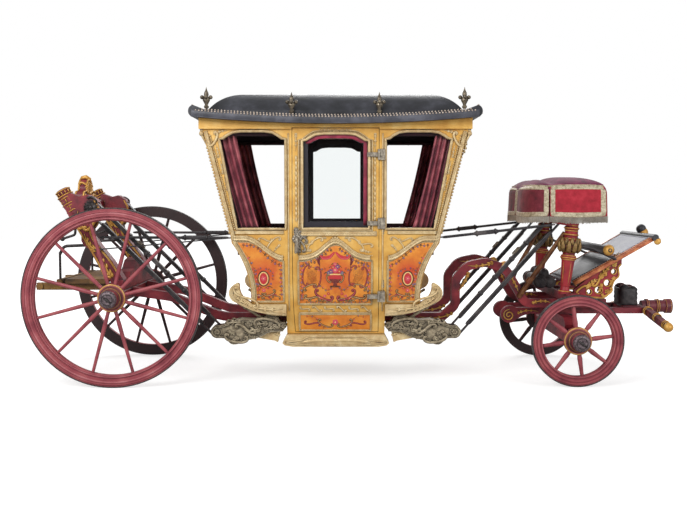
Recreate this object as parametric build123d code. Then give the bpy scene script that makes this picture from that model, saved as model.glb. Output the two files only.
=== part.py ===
from build123d import *
"""A gilded baroque travelling coach: cabin slung on leather straps between two axles.

Millimetres. +X points forward, +Z up, the origin is on the ground at the middle of the coach.
Each sub-part is built by its own function and written to parts/ under its own name.
"""
import os
from math import atan2, cos, degrees, hypot, sin, sqrt

# Wheels and axles
REAR_X = -2370.0
FRONT_X = 2030.0
REAR_R = 850.0
FRONT_R = 437.0
REAR_RIM_Y = 900.0
FRONT_RIM_Y = 860.0
REAR_SPOKES = 12
FRONT_SPOKES = 8
RIM_WIDTH = 72.0
RIM_STEP = 10.0
REAR_SPOKE_R = 17.0
FRONT_SPOKE_R = 20.0
TYRE_T = 12.0
REAR_FELLOE = 108.0
FRONT_FELLOE = 90.0
REAR_FIRST_SPOKE = 15.0
FRONT_FIRST_SPOKE = 37.0
NAVE_IN = 50.0
NAVE_OUT = 160.0
NAVE_R = 95.0
FLANGE_R = 132.0
CAP_L = 30.0
REAR_ARM_R = 35.0
FRONT_ARM_R = 32.0
ARM_GAP = 0.4
NAVE_GAP = 2.0
ARM_SHORT = 32.0
BED_CHAMFER = 14.0

# Perches
PERCH_Y = 330.0
PERCH_W = 80.0
PERCH_H = 85.0
PERCH_LOW_Z = 600.0
BED_Z = 740.0
CRANE_TOP_Z = 1150.0
PERCH_END_X = 2440.0
CRANE_BACK_X = 932.0
CRANE_FRONT_X = 1560.0

# Cabin
CABIN_X = -265.0
WALL = 45.0
CABIN_Y = 760.0
TURN_UNDER_Z = 1360.0
TURN_UNDER_R = 2420.0
BELT_Z = 1430.0
TOP_Z = 2440.0
TOP_HALF = 1258.0
BELT_HALF = 1000.0
FOOT_HALF = 815.0
FOOT_ARC_Z = 900.0
FLOOR_Z = 770.0
FLOOR_T = 30.0
WELL_Y = 620.0
WELL_IN_Y = 425.0
STEP_IN_Y = 430.0
STEP_OUT_Y = 660.0
STEP_T = 117.0
SILL_Z = 465.0
WALL_BELOW = 65.0
WALL_ABOVE = 200.0

# Doors
DOOR_HALF = 410.0
DOOR_BOTTOM_Z = 490.0
DOOR_TOP_Z = 2448.0
PILLAR_HALF = 475.0
DOOR_GAP = 5.0
HINGE_Y = 778.0
HINGE_R = 12.0
HINGE_PIN_R = 6.0
HINGE_ZS = (850.0, 1550.0, 2200.0)
KNUCKLE_H = 40.0
PIN_GAP = 0.4
LEAF_L = 110.0
EAR_H = 30.0
LEAF_DEEP = 130.0
HANDLE_IN = 42.0
HANDLE_Z = 1400.0

# Windows: half width or ends along the coach, sill and head heights
DOOR_WINDOW_HALF = 310.0
WINDOW_SILL_Z = 1505.0
WINDOW_SHOULDER_Z = 2345.0
SASH_W = 48.0
SASH_SILL_H = 60.0
SASH_T = 28.0
SASH_DEEP = 12.0
PILLAR_FACE = 8.0
POST_SILL_W = 88.0
POST_HEAD_W = 142.0
ARCH_RISE = 65.0
ARCH_CUSP = 38.0
GLASS_T = 5.0
SCROLL_T = 85.0
SCROLL_H = 100.0

# Inside
BENCH_D = 350.0
BENCH_Y = 600.0
BENCH_Z = 1120.0
PAD_T = 100.0
CURTAIN_TOP_W = 135.0
CURTAIN_LOW_W = 240.0
CURTAIN_T = 30.0

# Cornice and roof
CORNICE_OUT = 32.0
CORNICE_W = 75.0
EAVE_OUT = 87.0
EAVE_HALF = TOP_HALF + EAVE_OUT
EAVE_Y = 880.0
EAVE_MID_Z = 2487.0
EAVE_RISE = 62.0
EAVE_T = 75.0
TIP_RISE = 30.0
DOME_INSET = 150.0
DOME_Z = 2815.0
DOME_SHOULDER = 25.0
DOME_RUN = 300.0
ROOF_WALL = 40.0
FINIAL_H = 215.0
FINIAL_IN = 140.0
FINIAL_END = EAVE_HALF - FINIAL_IN
FINIAL_MID = DOOR_HALF
FINIAL_Y = EAVE_Y - 40
FINIAL_SINK = 60.0

# Suspension
STRAP_Y = 580.0
STRAP_W = 60.0
STRAP_T = 12.0
STRAP_SLOT = 76.0
CHEEK_W = 130.0
ROLLER_R = 52.0
SEAT_GAP = 0.3
STRAP_CLEAR = 10.0
CHECK_W = 40.0
CHECK_T = 12.0
EYE_OUT = 339.0
EYE_X = FOOT_HALF + EYE_OUT
EYE_Z = 492.0
EYE_R = 62.0
REAR_ROLLER_X = -2620.0
REAR_ROLLER_Z = 1700.0
FRONT_ROLLER_X = 1885.0
FRONT_ROLLER_Z = 1610.0

# Rear carriage
REAR_BED_W = 120.0
REAR_BED_LOW_Z = 785.0
REAR_BED_TOP_Z = 905.0
AXLE_BED_Y = 842.0
BOLSTER_Y = 700.0
BOLSTER_TOP_Z = 1000.0
CREST_TOP_Z = 1180.0
PLATFORM_Y = 450.0
PLATFORM_W = 60.0
PLATFORM_END_X = -3220.0
PLATFORM_T = 70.0
BOARD_T = 45.0
COLUMN_R = 62.0
COLUMN_FOOT = 50.0
COLUMN_HEAD = 292.0
COLUMN_RISE = 158.0
COLUMN_D = 100.0
CAP_H = 270.0
CREST_RAIL = 70.0
ROD_R = 12.0
CREST_Y = 190.0
CREST_H = 212.0
STANDARD_SOFT = 14.0
RAIL_X = -2960.0
RAIL_W = 44.0
RAIL_Y = 600.0
BOARD_Y = 560.0
PLATFORM_SINK = 20.0

# Front carriage
TRANSOM_Y = 660.0
TRANSOM_W = 130.0
TRANSOM_TOP_Z = 860.0
POST_X = 1965.0
POST_LEAN = 5.5
POST_TOP_Z = 1545.0
HEAD_X = 2028.0
HEAD_TOP_Z = 1690.0
SEAT_Z = 1730.0
SEAT_T = 30.0
SEAT_BACK_X = 1600.0
SEAT_FRONT_X = 2330.0
SKIRT_Y = 665.0
SKIRT_T = 13.0
SKIRT_LOW_Z = 1575.0
CUSHION_TOP_Z = 1972.0
KING_R = 20.0
KING_FLOOR = 30.0
FOOTBOARD_Y = 500.0
FOOTBOARD_T = 35.0
TOE_R = 32.0
FOOT_BRACKET_Y = 415.0
FOOT_BRACKET_T = 50.0
FOOT_BRACKET_L = 470.0
FOOT_LOW = (2080.0, 925.0)
FOOT_HIGH = (2880.0, 1385.0)
FOOT_ROLLER = (2400.0, 1282.0)
FOOT_ROLLER_R = 45.0
FOOT_IRON_R = 13.0

# Fore carriage
FORE_BED_LOW_Z = 380.0
FORE_BED_TOP_Z = 492.0
FORE_BED_W = 110.0
FORE_BED_Y = 802.0
FORE_BOLSTER_TOP_Z = 620.0
FUTCHELL_Y = 215.0
FUTCHELL_W = 65.0
FUTCHELL_TOP_Z = 680.0
FORE_BOLSTER_Y = 600.0
TAIL_OUT = 620.0
TAIL_X = FRONT_X - TAIL_OUT
TAIL_R = 76.0
CLAMP_L = 180.0
CLAMP_H = 175.0
CLAMP_Y = 105.0
DISC_R = 330.0
DISC_GAP = 1.0
SPLINTER_OUT = 383.0
SPLINTER_X = FRONT_X + FRONT_R + SPLINTER_OUT
SPLINTER_T = 60.0
SPLINTER_Y = 850.0
SPLINTER_Z = 652.0
SPLINTER_DROP = 82.0
SOCKET_L = 310.0
SOCKET_R = 75.0
SOCKET_BORE_R = 40.0
SOCKET_BORE_L = 250.0
SOCKET_Z = 668.0


# Helpers

def plate_y(outline, y_near, y_far):
    """A plate whose outline is drawn in X and Z, from y_near to y_far."""
    face = Plane.XZ * make_face(outline)
    return Pos(0, y_far, 0) * extrude(face, amount=y_far - y_near, dir=(0, -1, 0))


def plate_x(outline, x_back, x_front):
    """A plate whose outline is drawn in Y and Z, from x_back to x_front."""
    face = Plane.YZ * make_face(outline)
    return Pos(x_back, 0, 0) * extrude(face, amount=x_front - x_back, dir=(1, 0, 0))


def block(x0, x1, y0, y1, z0, z1):
    """A box given by its two corners."""
    return Pos((x0 + x1) / 2, (y0 + y1) / 2, (z0 + z1) / 2) * Box(x1 - x0, y1 - y0, z1 - z0)


def polygon(*points):
    return Polyline(*points, close=True)


def soft_polygon(radius, *points):
    """A closed outline with every corner rounded to the same radius."""
    return FilletPolyline(*points, radius=radius, close=True)


def rod_y(x, z, radius, y0, y1):
    """A round bar along Y."""
    bar = Cylinder(radius, y1 - y0, align=(Align.CENTER, Align.CENTER, Align.MIN))
    return Pos(x, y0, z) * Rot(-90, 0, 0) * bar


def rod(start, end, r_start, r_end):
    """A round bar between two points, tapered from one radius to the other."""
    line = Vector(*end) - Vector(*start)
    plane = Plane(origin=start, z_dir=line)
    if abs(r_start - r_end) < 1e-6:
        return plane * Cylinder(r_start, line.length, align=(Align.CENTER, Align.CENTER, Align.MIN))
    return plane * Cone(r_start, r_end, line.length, align=(Align.CENTER, Align.CENTER, Align.MIN))


def bent_rod(y, radius, bend, *points):
    """A round bar bent through points in X and Z at one distance from the middle."""
    path = Pos(0, y, 0) * FilletPolyline(*[(x, 0, z) for x, z in points], radius=bend)
    section = Plane(origin=path @ 0, z_dir=path % 0) * Circle(radius)
    return sweep(section, path=path)


def between(start, end):
    """Places along a line: a share of its length, and a distance to its right."""
    dx, dz = end[0] - start[0], end[1] - start[1]
    run = hypot(dx, dz)

    def place(share, off):
        return (start[0] + share * dx + off * dz / run, start[1] + share * dz - off * dx / run)
    return place


def turned(origin, lean, profile):
    """A turned piece from radius and height pairs, leaning about Y from its foot."""
    return Pos(*origin) * Rot(0, lean, 0) * revolve(Plane.XZ * make_face(polygon(*profile)), axis=Axis.Z)


def both_sides(shape):
    """The shape and its mirror image on the coach's other side."""
    return Compound(children=[*solids_of(shape), *solids_of(mirror(shape, about=Plane.XZ))])


def about_cabin(shape):
    """The shape mirrored fore and aft about the middle of the cabin."""
    return mirror(shape, about=Plane.YZ.offset(CABIN_X))


def solids_of(shape):
    """The separate solids of a shape or of a list of shapes."""
    if isinstance(shape, (list, tuple)):
        return [solid for one in shape for solid in solids_of(one)]
    return list(shape.solids())


def group(*shapes):
    return Compound(children=solids_of(list(shapes)))


def largest(shape):
    """The largest solid of what a cut leaves."""
    return shape.solids().sort_by(SortBy.VOLUME)[-1]


def save(name, shape):
    export_step(group(shape), "parts/" + name + ".step")


# Wheels

def spoke(inner_r, outer_r, inner_y, outer_y, thick):
    """One spoke standing up from the nave: a slim turned taper, a little fuller near its foot."""
    run = hypot(outer_r - inner_r, outer_y - inner_y)
    profile = ((0, 0), (1.15 * thick, 0), (thick, 0.06 * run), (1.2 * thick, 0.22 * run),
               (thick, 0.55 * run), (0.85 * thick, run), (0, run))
    lean = degrees(atan2(outer_y - inner_y, outer_r - inner_r))
    stem = revolve(Plane.XZ * make_face(polygon(*profile)), axis=Axis.Z)
    return Pos(0, inner_y, inner_r) * Rot(-lean, 0, 0) * stem


def wheel(radius, rim_y, spokes, first_spoke, felloe, spoke_r, arm_r, seat_y):
    """Wood and irons of one left-hand wheel, centred on its axle at X and Z zero."""
    wood_r = radius - TYRE_T
    inner_r = wood_r - felloe
    back = rim_y - RIM_WIDTH / 2
    face = rim_y + RIM_WIDTH / 2
    low = face - RIM_STEP
    rim = polygon(
        (back, inner_r), (low - RIM_STEP, inner_r), (low, inner_r + 0.10 * felloe),
        (low, inner_r + 0.30 * felloe), (face, inner_r + 0.38 * felloe),
        (face, inner_r + 0.56 * felloe), (low + 3, inner_r + 0.62 * felloe),
        (low + 3, inner_r + 0.68 * felloe), (face, inner_r + 0.74 * felloe),
        (face, inner_r + 0.86 * felloe), (low, inner_r + 0.92 * felloe), (low, wood_r), (back, wood_r),
    )
    nave_start = seat_y - NAVE_IN
    nave_end = seat_y + NAVE_OUT
    bore_r = arm_r + ARM_GAP
    hub_end = nave_end - CAP_L
    nave = polygon(
        (nave_start, bore_r), (nave_start, 0.8 * NAVE_R), (seat_y - 28, NAVE_R),
        (seat_y - 24, FLANGE_R), (seat_y + 20, FLANGE_R), (seat_y + 28, FLANGE_R - 8),
        (seat_y + 32, NAVE_R + 6), (seat_y + 44, NAVE_R), (seat_y + 60, 0.86 * NAVE_R),
        (seat_y + 66, 0.90 * NAVE_R), (seat_y + 78, 0.90 * NAVE_R), (seat_y + 84, 0.82 * NAVE_R),
        (hub_end, 0.74 * NAVE_R), (hub_end, bore_r),
    )
    wood = revolve(Plane.YZ * make_face(nave), axis=Axis.Y)
    wood += revolve(Plane.YZ * make_face(rim), axis=Axis.Y)
    one = spoke(FLANGE_R - 8, inner_r + 6, seat_y, rim_y - 4, spoke_r)
    for index in range(spokes):
        wood += Rot(0, first_spoke + index * 360.0 / spokes, 0) * one
    tyre = polygon(
        (back + 6, wood_r + SEAT_GAP), (low, wood_r + SEAT_GAP), (low, radius), (back + 6, radius),
    )
    cap = polygon(
        (hub_end + SEAT_GAP, 0), (hub_end + SEAT_GAP, 0.8 * NAVE_R), (nave_end - 8, 0.8 * NAVE_R),
        (nave_end - 4, 0.42 * NAVE_R), (nave_end + 14, 0.36 * NAVE_R), (nave_end + 14, 0),
    )
    irons = group(
        revolve(Plane.YZ * make_face(tyre), axis=Axis.Y),
        revolve(Plane.YZ * make_face(cap), axis=Axis.Y),
    )
    return wood, irons


def build_wheels():
    table = (
        # name, axle X, radius, rim Y, spokes, first spoke, felloe, spoke radius, arm radius, bed end
        ("rear", REAR_X, REAR_R, REAR_RIM_Y, REAR_SPOKES, REAR_FIRST_SPOKE, REAR_FELLOE,
         REAR_SPOKE_R, REAR_ARM_R, AXLE_BED_Y),
        ("front", FRONT_X, FRONT_R, FRONT_RIM_Y, FRONT_SPOKES, FRONT_FIRST_SPOKE, FRONT_FELLOE,
         FRONT_SPOKE_R, FRONT_ARM_R, FORE_BED_Y),
    )
    for name, x, radius, rim_y, spokes, first, felloe, spoke_r, arm_r, bed_end in table:
        seat_y = bed_end + NAVE_IN + NAVE_GAP
        wood, irons = wheel(radius, rim_y, spokes, first, felloe, spoke_r, arm_r, seat_y)
        wood = Pos(x, 0, radius) * wood
        irons = Pos(x, 0, radius) * irons
        save("wheel_" + name + "_left_wood", wood)
        save("wheel_" + name + "_left_irons", irons)
        save("wheel_" + name + "_right_wood", mirror(wood, about=Plane.XZ))
        save("wheel_" + name + "_right_irons", mirror(irons, about=Plane.XZ))


# Running gear

def axle(x, z_low, z_top, bed_w, bed_y, arm_r, arm_z):
    """A squared axle bed with a round arm at each end for its wheels."""
    bed = block(x - bed_w / 2, x + bed_w / 2, -bed_y, bed_y, z_low, z_top)
    bed = chamfer(bed.edges().filter_by(Axis.Y), BED_CHAMFER)
    arm_end = bed_y + NAVE_IN + NAVE_OUT - ARM_SHORT
    return bed + rod_y(x, arm_z, arm_r, -arm_end, arm_end)


def perch_path():
    """The perch from its seat in the rear bed, under the cabin, over the crane neck and forward."""
    back = CRANE_BACK_X
    front = CRANE_FRONT_X
    return FilletPolyline(
        (REAR_X + REAR_BED_W / 2, 0, 860), (-1900, 0, 800), (-1400, 0, PERCH_LOW_Z),
        (back - 130, 0, PERCH_LOW_Z), (back, 0, PERCH_LOW_Z + 120), (back, 0, CRANE_TOP_Z - 180),
        (back + 110, 0, CRANE_TOP_Z - 40), (back + 290, 0, CRANE_TOP_Z),
        (front - 130, 0, CRANE_TOP_Z - 60), (front - 20, 0, BED_Z + 160), (front + 70, 0, BED_Z),
        (PERCH_END_X, 0, BED_Z),
        radius=[500, 500, 120, 90, 110, 150, 150, 160, 150, 90],
    )


def perches():
    path = perch_path()
    start = path @ 0
    heading = path % 0
    section = Plane(origin=start, x_dir=(0, 1, 0), z_dir=heading) * Rectangle(PERCH_W, PERCH_H)
    beam = sweep(section, path=path)
    behind = block(REAR_X - 200, REAR_X + REAR_BED_W / 2, -100, 100, 600, 1100)
    return both_sides(Pos(0, PERCH_Y, 0) * (beam - behind))


def rear_bolster():
    crest = Polyline(
        (-BOLSTER_Y, REAR_BED_TOP_Z), (BOLSTER_Y, REAR_BED_TOP_Z), (BOLSTER_Y, BOLSTER_TOP_Z),
        (0.67 * BOLSTER_Y, BOLSTER_TOP_Z), (0.57 * BOLSTER_Y, BOLSTER_TOP_Z + 60),
        (0.37 * BOLSTER_Y, BOLSTER_TOP_Z + 80), (0.21 * BOLSTER_Y, CREST_TOP_Z - 20),
        (0, CREST_TOP_Z), (-0.21 * BOLSTER_Y, CREST_TOP_Z - 20),
        (-0.37 * BOLSTER_Y, BOLSTER_TOP_Z + 80), (-0.57 * BOLSTER_Y, BOLSTER_TOP_Z + 60),
        (-0.67 * BOLSTER_Y, BOLSTER_TOP_Z),
        (-BOLSTER_Y, BOLSTER_TOP_Z), close=True,
    )
    return plate_x(crest, REAR_X - REAR_BED_W / 2, REAR_X + REAR_BED_W / 2)


def strap_slot(x0, z0, x1, z1, radius):
    """The room that a strap needs on its way round two rollers."""
    run = hypot(x1 - x0, z1 - z0)
    angle = degrees(atan2(z1 - z0, x1 - x0))
    slot = SlotCenterToCenter(run, 2 * radius)
    flat = extrude(Plane.XZ * Rot(0, 0, angle) * slot, amount=STRAP_SLOT / 2, both=True)
    return Pos((x0 + x1) / 2, STRAP_Y, (z0 + z1) / 2) * flat


def strap_loop(x0, z0, x1, z1):
    """A leather strap sewn into a loop round two rollers."""
    run = hypot(x1 - x0, z1 - z0)
    angle = degrees(atan2(z1 - z0, x1 - x0))
    inner = ROLLER_R + SEAT_GAP
    band = SlotCenterToCenter(run, 2 * (inner + STRAP_T)) - SlotCenterToCenter(run, 2 * inner)
    flat = extrude(Plane.XZ * Rot(0, 0, angle) * band, amount=STRAP_W / 2, both=True)
    return Pos((x0 + x1) / 2, STRAP_Y, (z0 + z1) / 2) * flat


def rear_run():
    return CABIN_X - EYE_X, EYE_Z, REAR_ROLLER_X, REAR_ROLLER_Z


def front_run():
    return CABIN_X + EYE_X, EYE_Z, FRONT_ROLLER_X, FRONT_ROLLER_Z


def rear_column():
    """Foot and head of the raked columns, in X and Z."""
    return ((REAR_X - COLUMN_FOOT, BOLSTER_TOP_Z),
            (REAR_ROLLER_X - COLUMN_HEAD, REAR_ROLLER_Z + COLUMN_RISE))


def rear_standards():
    """Two raked, fluted columns whose forked cheeks hold the strap rollers."""
    y0, y1 = STRAP_Y - CHEEK_W / 2, STRAP_Y + CHEEK_W / 2
    foot, head = rear_column()
    place = between(foot, head)
    table = (
        # share of the way up, distance forward of the column's line as a share of its depth
        (-0.10, 0.88), (0.16, 0.84), (0.34, 0.58), (0.46, 0.46), (0.56, 0.84), (0.60, 1.70),
        (0.66, 2.40), (0.76, 2.50), (0.84, 2.05), (0.86, 1.30), (0.94, 0.62), (0.94, -0.46),
        (0.74, -0.58), (0.52, -0.50), (0.48, -0.74), (0.42, -0.74), (0.38, -0.50), (0.18, -0.54),
        (-0.10, -0.86),
    )
    outline = soft_polygon(STANDARD_SOFT, *[place(share, forward * COLUMN_D) for share, forward in table])
    plate = plate_y(outline, y0, y1)
    reach = 4 * COLUMN_D
    plate = plate - block(foot[0] - reach, foot[0] + reach, y0 - 1, y1 + 1, foot[1] - reach, foot[1])
    plate -= strap_slot(*rear_run(), ROLLER_R + STRAP_T + STRAP_CLEAR)
    plate += rod_y(REAR_ROLLER_X, REAR_ROLLER_Z, ROLLER_R, y0, y1)
    r = COLUMN_R
    lean = degrees(atan2(head[0] - foot[0], head[1] - foot[1]))
    start = place(0.74, 0)
    rings = (
        # radius as a share of the column's, height as a share of the cap's
        (0.0, 0.0), (0.87, 0.0), (1.10, 0.04), (1.10, 0.13), (0.94, 0.16), (1.03, 0.34),
        (1.16, 0.36), (1.16, 0.43), (1.0, 0.45), (1.10, 0.66), (1.22, 0.69), (1.22, 0.76),
        (1.0, 0.81), (1.13, 0.95), (0.90, 1.0), (0.0, 1.0),
    )
    cap = turned((start[0], STRAP_Y, start[1]), lean,
                 [(share * r, height * CAP_H) for share, height in rings])
    cap -= strap_slot(*rear_run(), ROLLER_R + STRAP_T + STRAP_CLEAR)
    return both_sides(plate + cap)


def rear_crest(standards):
    """The rail between the columns with its carved crest."""
    foot, head = rear_column()
    x, z = between(foot, head)(0.86, 0)
    half = CREST_RAIL / 2
    reach = STRAP_Y - CHEEK_W / 2
    rail = block(x - half, x + half, -reach, reach, z - half, z + half)
    rail = chamfer(rail.edges().filter_by(Axis.Y), BED_CHAMFER)
    top = z + half
    outline = [
        Line((-CREST_Y, top - 12), (CREST_Y, top - 12)),
        ThreePointArc((CREST_Y, top - 12), (CREST_Y + 24, top + 52), (CREST_Y - 34, top + 84)),
        ThreePointArc((CREST_Y - 34, top + 84), (CREST_Y - 84, top + 96), (CREST_Y - 102, top + 150)),
        ThreePointArc((CREST_Y - 102, top + 150), (0, top + CREST_H), (-CREST_Y + 102, top + 150)),
        ThreePointArc((-CREST_Y + 102, top + 150), (-CREST_Y + 84, top + 96), (-CREST_Y + 34, top + 84)),
        ThreePointArc((-CREST_Y + 34, top + 84), (-CREST_Y - 24, top + 52), (-CREST_Y, top - 12)),
    ]
    return largest(rail + plate_x(outline, x - half - 22, x + half - 10) - standards)


def rear_platform():
    """Two beams behind the axle with a board and a cross rail laid on them."""
    low = REAR_BED_TOP_Z - PLATFORM_SINK
    top = low + PLATFORM_T
    back = REAR_X - REAR_BED_W / 2
    beam = block(PLATFORM_END_X, back, PLATFORM_Y - PLATFORM_W / 2, PLATFORM_Y + PLATFORM_W / 2,
                 low, top)
    tip_r = PLATFORM_T / 2
    tip_y = PLATFORM_W / 2 + 15
    tip = rod_y(PLATFORM_END_X + tip_r, low + tip_r, tip_r, PLATFORM_Y - tip_y, PLATFORM_Y + tip_y)
    board = block(RAIL_X + 50, back - 90, -BOARD_Y, BOARD_Y, top, top + BOARD_T)
    rail = block(RAIL_X - RAIL_W / 2, RAIL_X + RAIL_W / 2, -RAIL_Y, RAIL_Y, top, top + RAIL_W)
    return group(both_sides(beam + tip), board, rail)


def rear_irons(standards):
    """Upright rods on the rail, the arms that tie them to the columns, and the hooks above."""
    foot_z = REAR_BED_TOP_Z - PLATFORM_SINK + PLATFORM_T + RAIL_W
    foot, head = rear_column()
    place = between(foot, head)
    y = STRAP_Y - 30
    tie_x, tie_z = place(0.40, -20)
    hook_x, hook_z = place(0.62, -20)
    iron = rod((RAIL_X, y, foot_z), (RAIL_X, y, tie_z - 70), ROD_R, ROD_R)
    iron += bent_rod(y, ROD_R + 3, 60, (RAIL_X, tie_z - 90), (RAIL_X + 40, tie_z - 12), (tie_x, tie_z))
    hook = bent_rod(y, ROD_R, 30, (hook_x, hook_z), (hook_x - 60, hook_z - 20),
                    (hook_x - 66, hook_z - 90), (hook_x - 190, hook_z - 130))
    hook += Pos(hook_x - 190, y, hook_z - 130) * Sphere(2 * ROD_R)
    parts = [largest(piece - standards) for piece in (iron, hook)]
    return both_sides(group(*parts))


def front_transom():
    half = TRANSOM_W / 2
    low = BED_Z + PERCH_H / 2
    beam = block(FRONT_X - half, FRONT_X + half, -TRANSOM_Y, TRANSOM_Y, low, TRANSOM_TOP_Z)
    pin_low = FORE_BED_LOW_Z + 40
    pin = Pos(FRONT_X, 0, (pin_low + low + 10) / 2) * Cylinder(KING_R, low + 10 - pin_low)
    nut = Pos(FRONT_X, 0, TRANSOM_TOP_Z + 12) * Cylinder(34, 24)
    return beam + pin + nut


def front_standards():
    """Leaning turned posts with forked heads for the strap rollers."""
    rise = POST_TOP_Z - TRANSOM_TOP_Z
    profile = [
        (0, -30), (60, -30), (60, 20), (46, 34), (40, 0.10 * rise), (44, 0.11 * rise),
        (64, 0.49 * rise), (74, 0.50 * rise), (74, 0.54 * rise), (60, 0.55 * rise),
        (60, 0.58 * rise), (86, 0.62 * rise), (92, 0.68 * rise), (84, 0.76 * rise),
        (62, 0.79 * rise), (62, 0.82 * rise), (68, 0.83 * rise), (68, 0.86 * rise),
        (60, 0.87 * rise), (60, 0.91 * rise), (68, 0.92 * rise), (68, 0.95 * rise),
        (60, 0.96 * rise), (60, rise + 10), (0, rise + 10),
    ]
    post = turned((POST_X, STRAP_Y, TRANSOM_TOP_Z), POST_LEAN, profile)
    post -= block(POST_X - 200, POST_X + 200, 0, 2 * STRAP_Y, 0, TRANSOM_TOP_Z)
    y0, y1 = STRAP_Y - CHEEK_W / 2, STRAP_Y + CHEEK_W / 2
    back = FRONT_ROLLER_X
    head = plate_y(
        soft_polygon(
            15, (HEAD_X + 55, POST_TOP_Z - 20), (HEAD_X + 55, HEAD_TOP_Z), (back - 30, HEAD_TOP_Z),
            (back - 75, HEAD_TOP_Z - 50), (back - 60, FRONT_ROLLER_Z - 60),
            (HEAD_X - 60, POST_TOP_Z - 20),
        ), y0, y1,
    )
    head -= strap_slot(*front_run(), ROLLER_R + STRAP_T + STRAP_CLEAR)
    head += rod_y(FRONT_ROLLER_X, FRONT_ROLLER_Z, ROLLER_R, y0, y1)
    return both_sides(post + head)


def front_stays(standards, beams):
    """Raked stays from the posts down to the perches."""
    start = (HEAD_X - 60, STRAP_Y - 30, POST_TOP_Z - 90)
    end = (CRANE_FRONT_X, PERCH_Y + PERCH_W / 2 - 8, BED_Z + 60)
    stay = rod(start, end, 22, 26)
    knob = (end[0] + 90, end[1] + 42, end[2] + 155)
    stay += rod(knob, (knob[0] + 24, knob[1] + 11, knob[2] + 40), 36, 30)
    return both_sides(largest(stay - standards - beams))


def driver_seat():
    """The seat board on a rail and two cheeks that stand on the posts' heads."""
    plan = make_face(seat_plan(SKIRT_T + SEAT_GAP))
    board = Pos(0, 0, SEAT_Z - SEAT_T) * extrude(plan, amount=SEAT_T)
    reach = STRAP_Y - CHEEK_W / 2
    x0, x1 = HEAD_X - 50, HEAD_X + 50
    rail = block(x0, x1, -reach, reach, HEAD_TOP_Z - 60, SEAT_Z - SEAT_T)
    cheeks = both_sides(block(x0, x1, reach, STRAP_Y + CHEEK_W / 2, HEAD_TOP_Z, SEAT_Z - SEAT_T))
    return board + rail + cheeks


def seat_plan(inset):
    """The padded seat from above: square in front, with two soft lobes behind."""
    x0, x1, y = SEAT_BACK_X + inset, SEAT_FRONT_X - inset, SKIRT_Y - inset
    return [
        Line((x1, -y), (x1, y)), Line((x1, y), (x0 + 190, y)),
        ThreePointArc((x0 + 190, y), (x0 + 45, 0.84 * y), (x0, 0.45 * y)),
        ThreePointArc((x0, 0.45 * y), (x0 + 14, 0), (x0, -0.45 * y)),
        ThreePointArc((x0, -0.45 * y), (x0 + 45, -0.84 * y), (x0 + 190, -y)),
        Line((x0 + 190, -y), (x1, -y)),
    ]


def hammercloth():
    """The padded seat with the skirt that hangs round it, as one closed soft form."""
    height = CUSHION_TOP_Z - SKIRT_LOW_Z
    body = Pos(0, 0, SKIRT_LOW_Z) * extrude(make_face(seat_plan(0)), amount=height)
    inside = Pos(0, 0, SKIRT_LOW_Z) * extrude(make_face(seat_plan(SKIRT_T)),
                                              amount=SEAT_Z + SEAT_GAP - SKIRT_LOW_Z)
    x0, x1, top = SEAT_BACK_X, SEAT_FRONT_X, CUSHION_TOP_Z
    low = SKIRT_LOW_Z
    mid = x0 + 0.40 * (x1 - x0)
    side_view = plate_y([
        Line((x0 - 20, low), (x1 + 20, low)), Line((x1 + 20, low), (x1 + 5, top - 110)),
        ThreePointArc((x1 + 5, top - 110), (x1 - 90, top - 30), (x1 - 230, top)),
        ThreePointArc((x1 - 230, top), (mid + 90, top - 12), (mid, top - 40)),
        ThreePointArc((mid, top - 40), (x0 + 130, top - 26), (x0 - 5, top - 130)),
        Line((x0 - 5, top - 130), (x0 - 20, low)),
    ], -SKIRT_Y - 20, SKIRT_Y + 20)
    y = SKIRT_Y
    end_view = plate_x([
        Line((-y - 10, low), (y + 10, low)), Line((y + 10, low), (y, top - 100)),
        ThreePointArc((y, top - 100), (y - 60, top - 22), (y - 200, top)),
        Line((y - 200, top), (-y + 200, top)),
        ThreePointArc((-y + 200, top), (-y + 60, top - 22), (-y, top - 100)),
        Line((-y, top - 100), (-y - 10, low)),
    ], x0 - 40, x1 + 40)
    return (body & side_view & end_view) - inside


def footboard():
    """The raked board with a roll along its upper edge and a ball in the middle of it."""
    place = between(FOOT_LOW, FOOT_HIGH)
    outline = polygon(place(0, 0), place(1, 0), place(1, -FOOTBOARD_T), place(0, -FOOTBOARD_T))
    board = plate_y(outline, -FOOTBOARD_Y, FOOTBOARD_Y)
    x, z = place(1.0, -0.6 * FOOTBOARD_T)
    roll = rod_y(x, z, TOE_R, -FOOTBOARD_Y - 15, FOOTBOARD_Y + 15)
    ball = Pos(x + 28, 0, z + TOE_R + 36) * Sphere(50)
    return board + roll + ball


def footboard_brackets(board, beams):
    """Pierced carved brackets in front of the transom, under the footboard."""
    front = FRONT_X + TRANSOM_W / 2
    low = TRANSOM_TOP_Z - 60
    reach = FOOT_BRACKET_L
    edge = (
        # forward and up, as shares of the bracket's reach
        (0.0, 0.0), (0.64, -0.01), (0.77, 0.13), (0.85, 0.36), (0.96, 0.47), (0.94, 0.64),
        (1.0, 0.70), (1.0, 1.02), (0.0, 0.17),
    )
    outline = soft_polygon(FOOT_BRACKET_T / 4,
                           *[(front + u * reach, low + v * reach) for u, v in edge])
    y0, y1 = FOOT_BRACKET_Y - FOOT_BRACKET_T / 2, FOOT_BRACKET_Y + FOOT_BRACKET_T / 2
    bracket = plate_y(outline, y0, y1)
    holes = (
        # forward, up and radius, as shares of the bracket's reach
        (0.32, 0.13, 0.05), (0.52, 0.17, 0.07), (0.70, 0.32, 0.064), (0.83, 0.56, 0.05),
    )
    for forward, up, radius in holes:
        bracket -= rod_y(front + forward * reach, low + up * reach, radius * reach, y0 - 10, y1 + 10)
    return both_sides(largest(bracket - board - beams))


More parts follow.
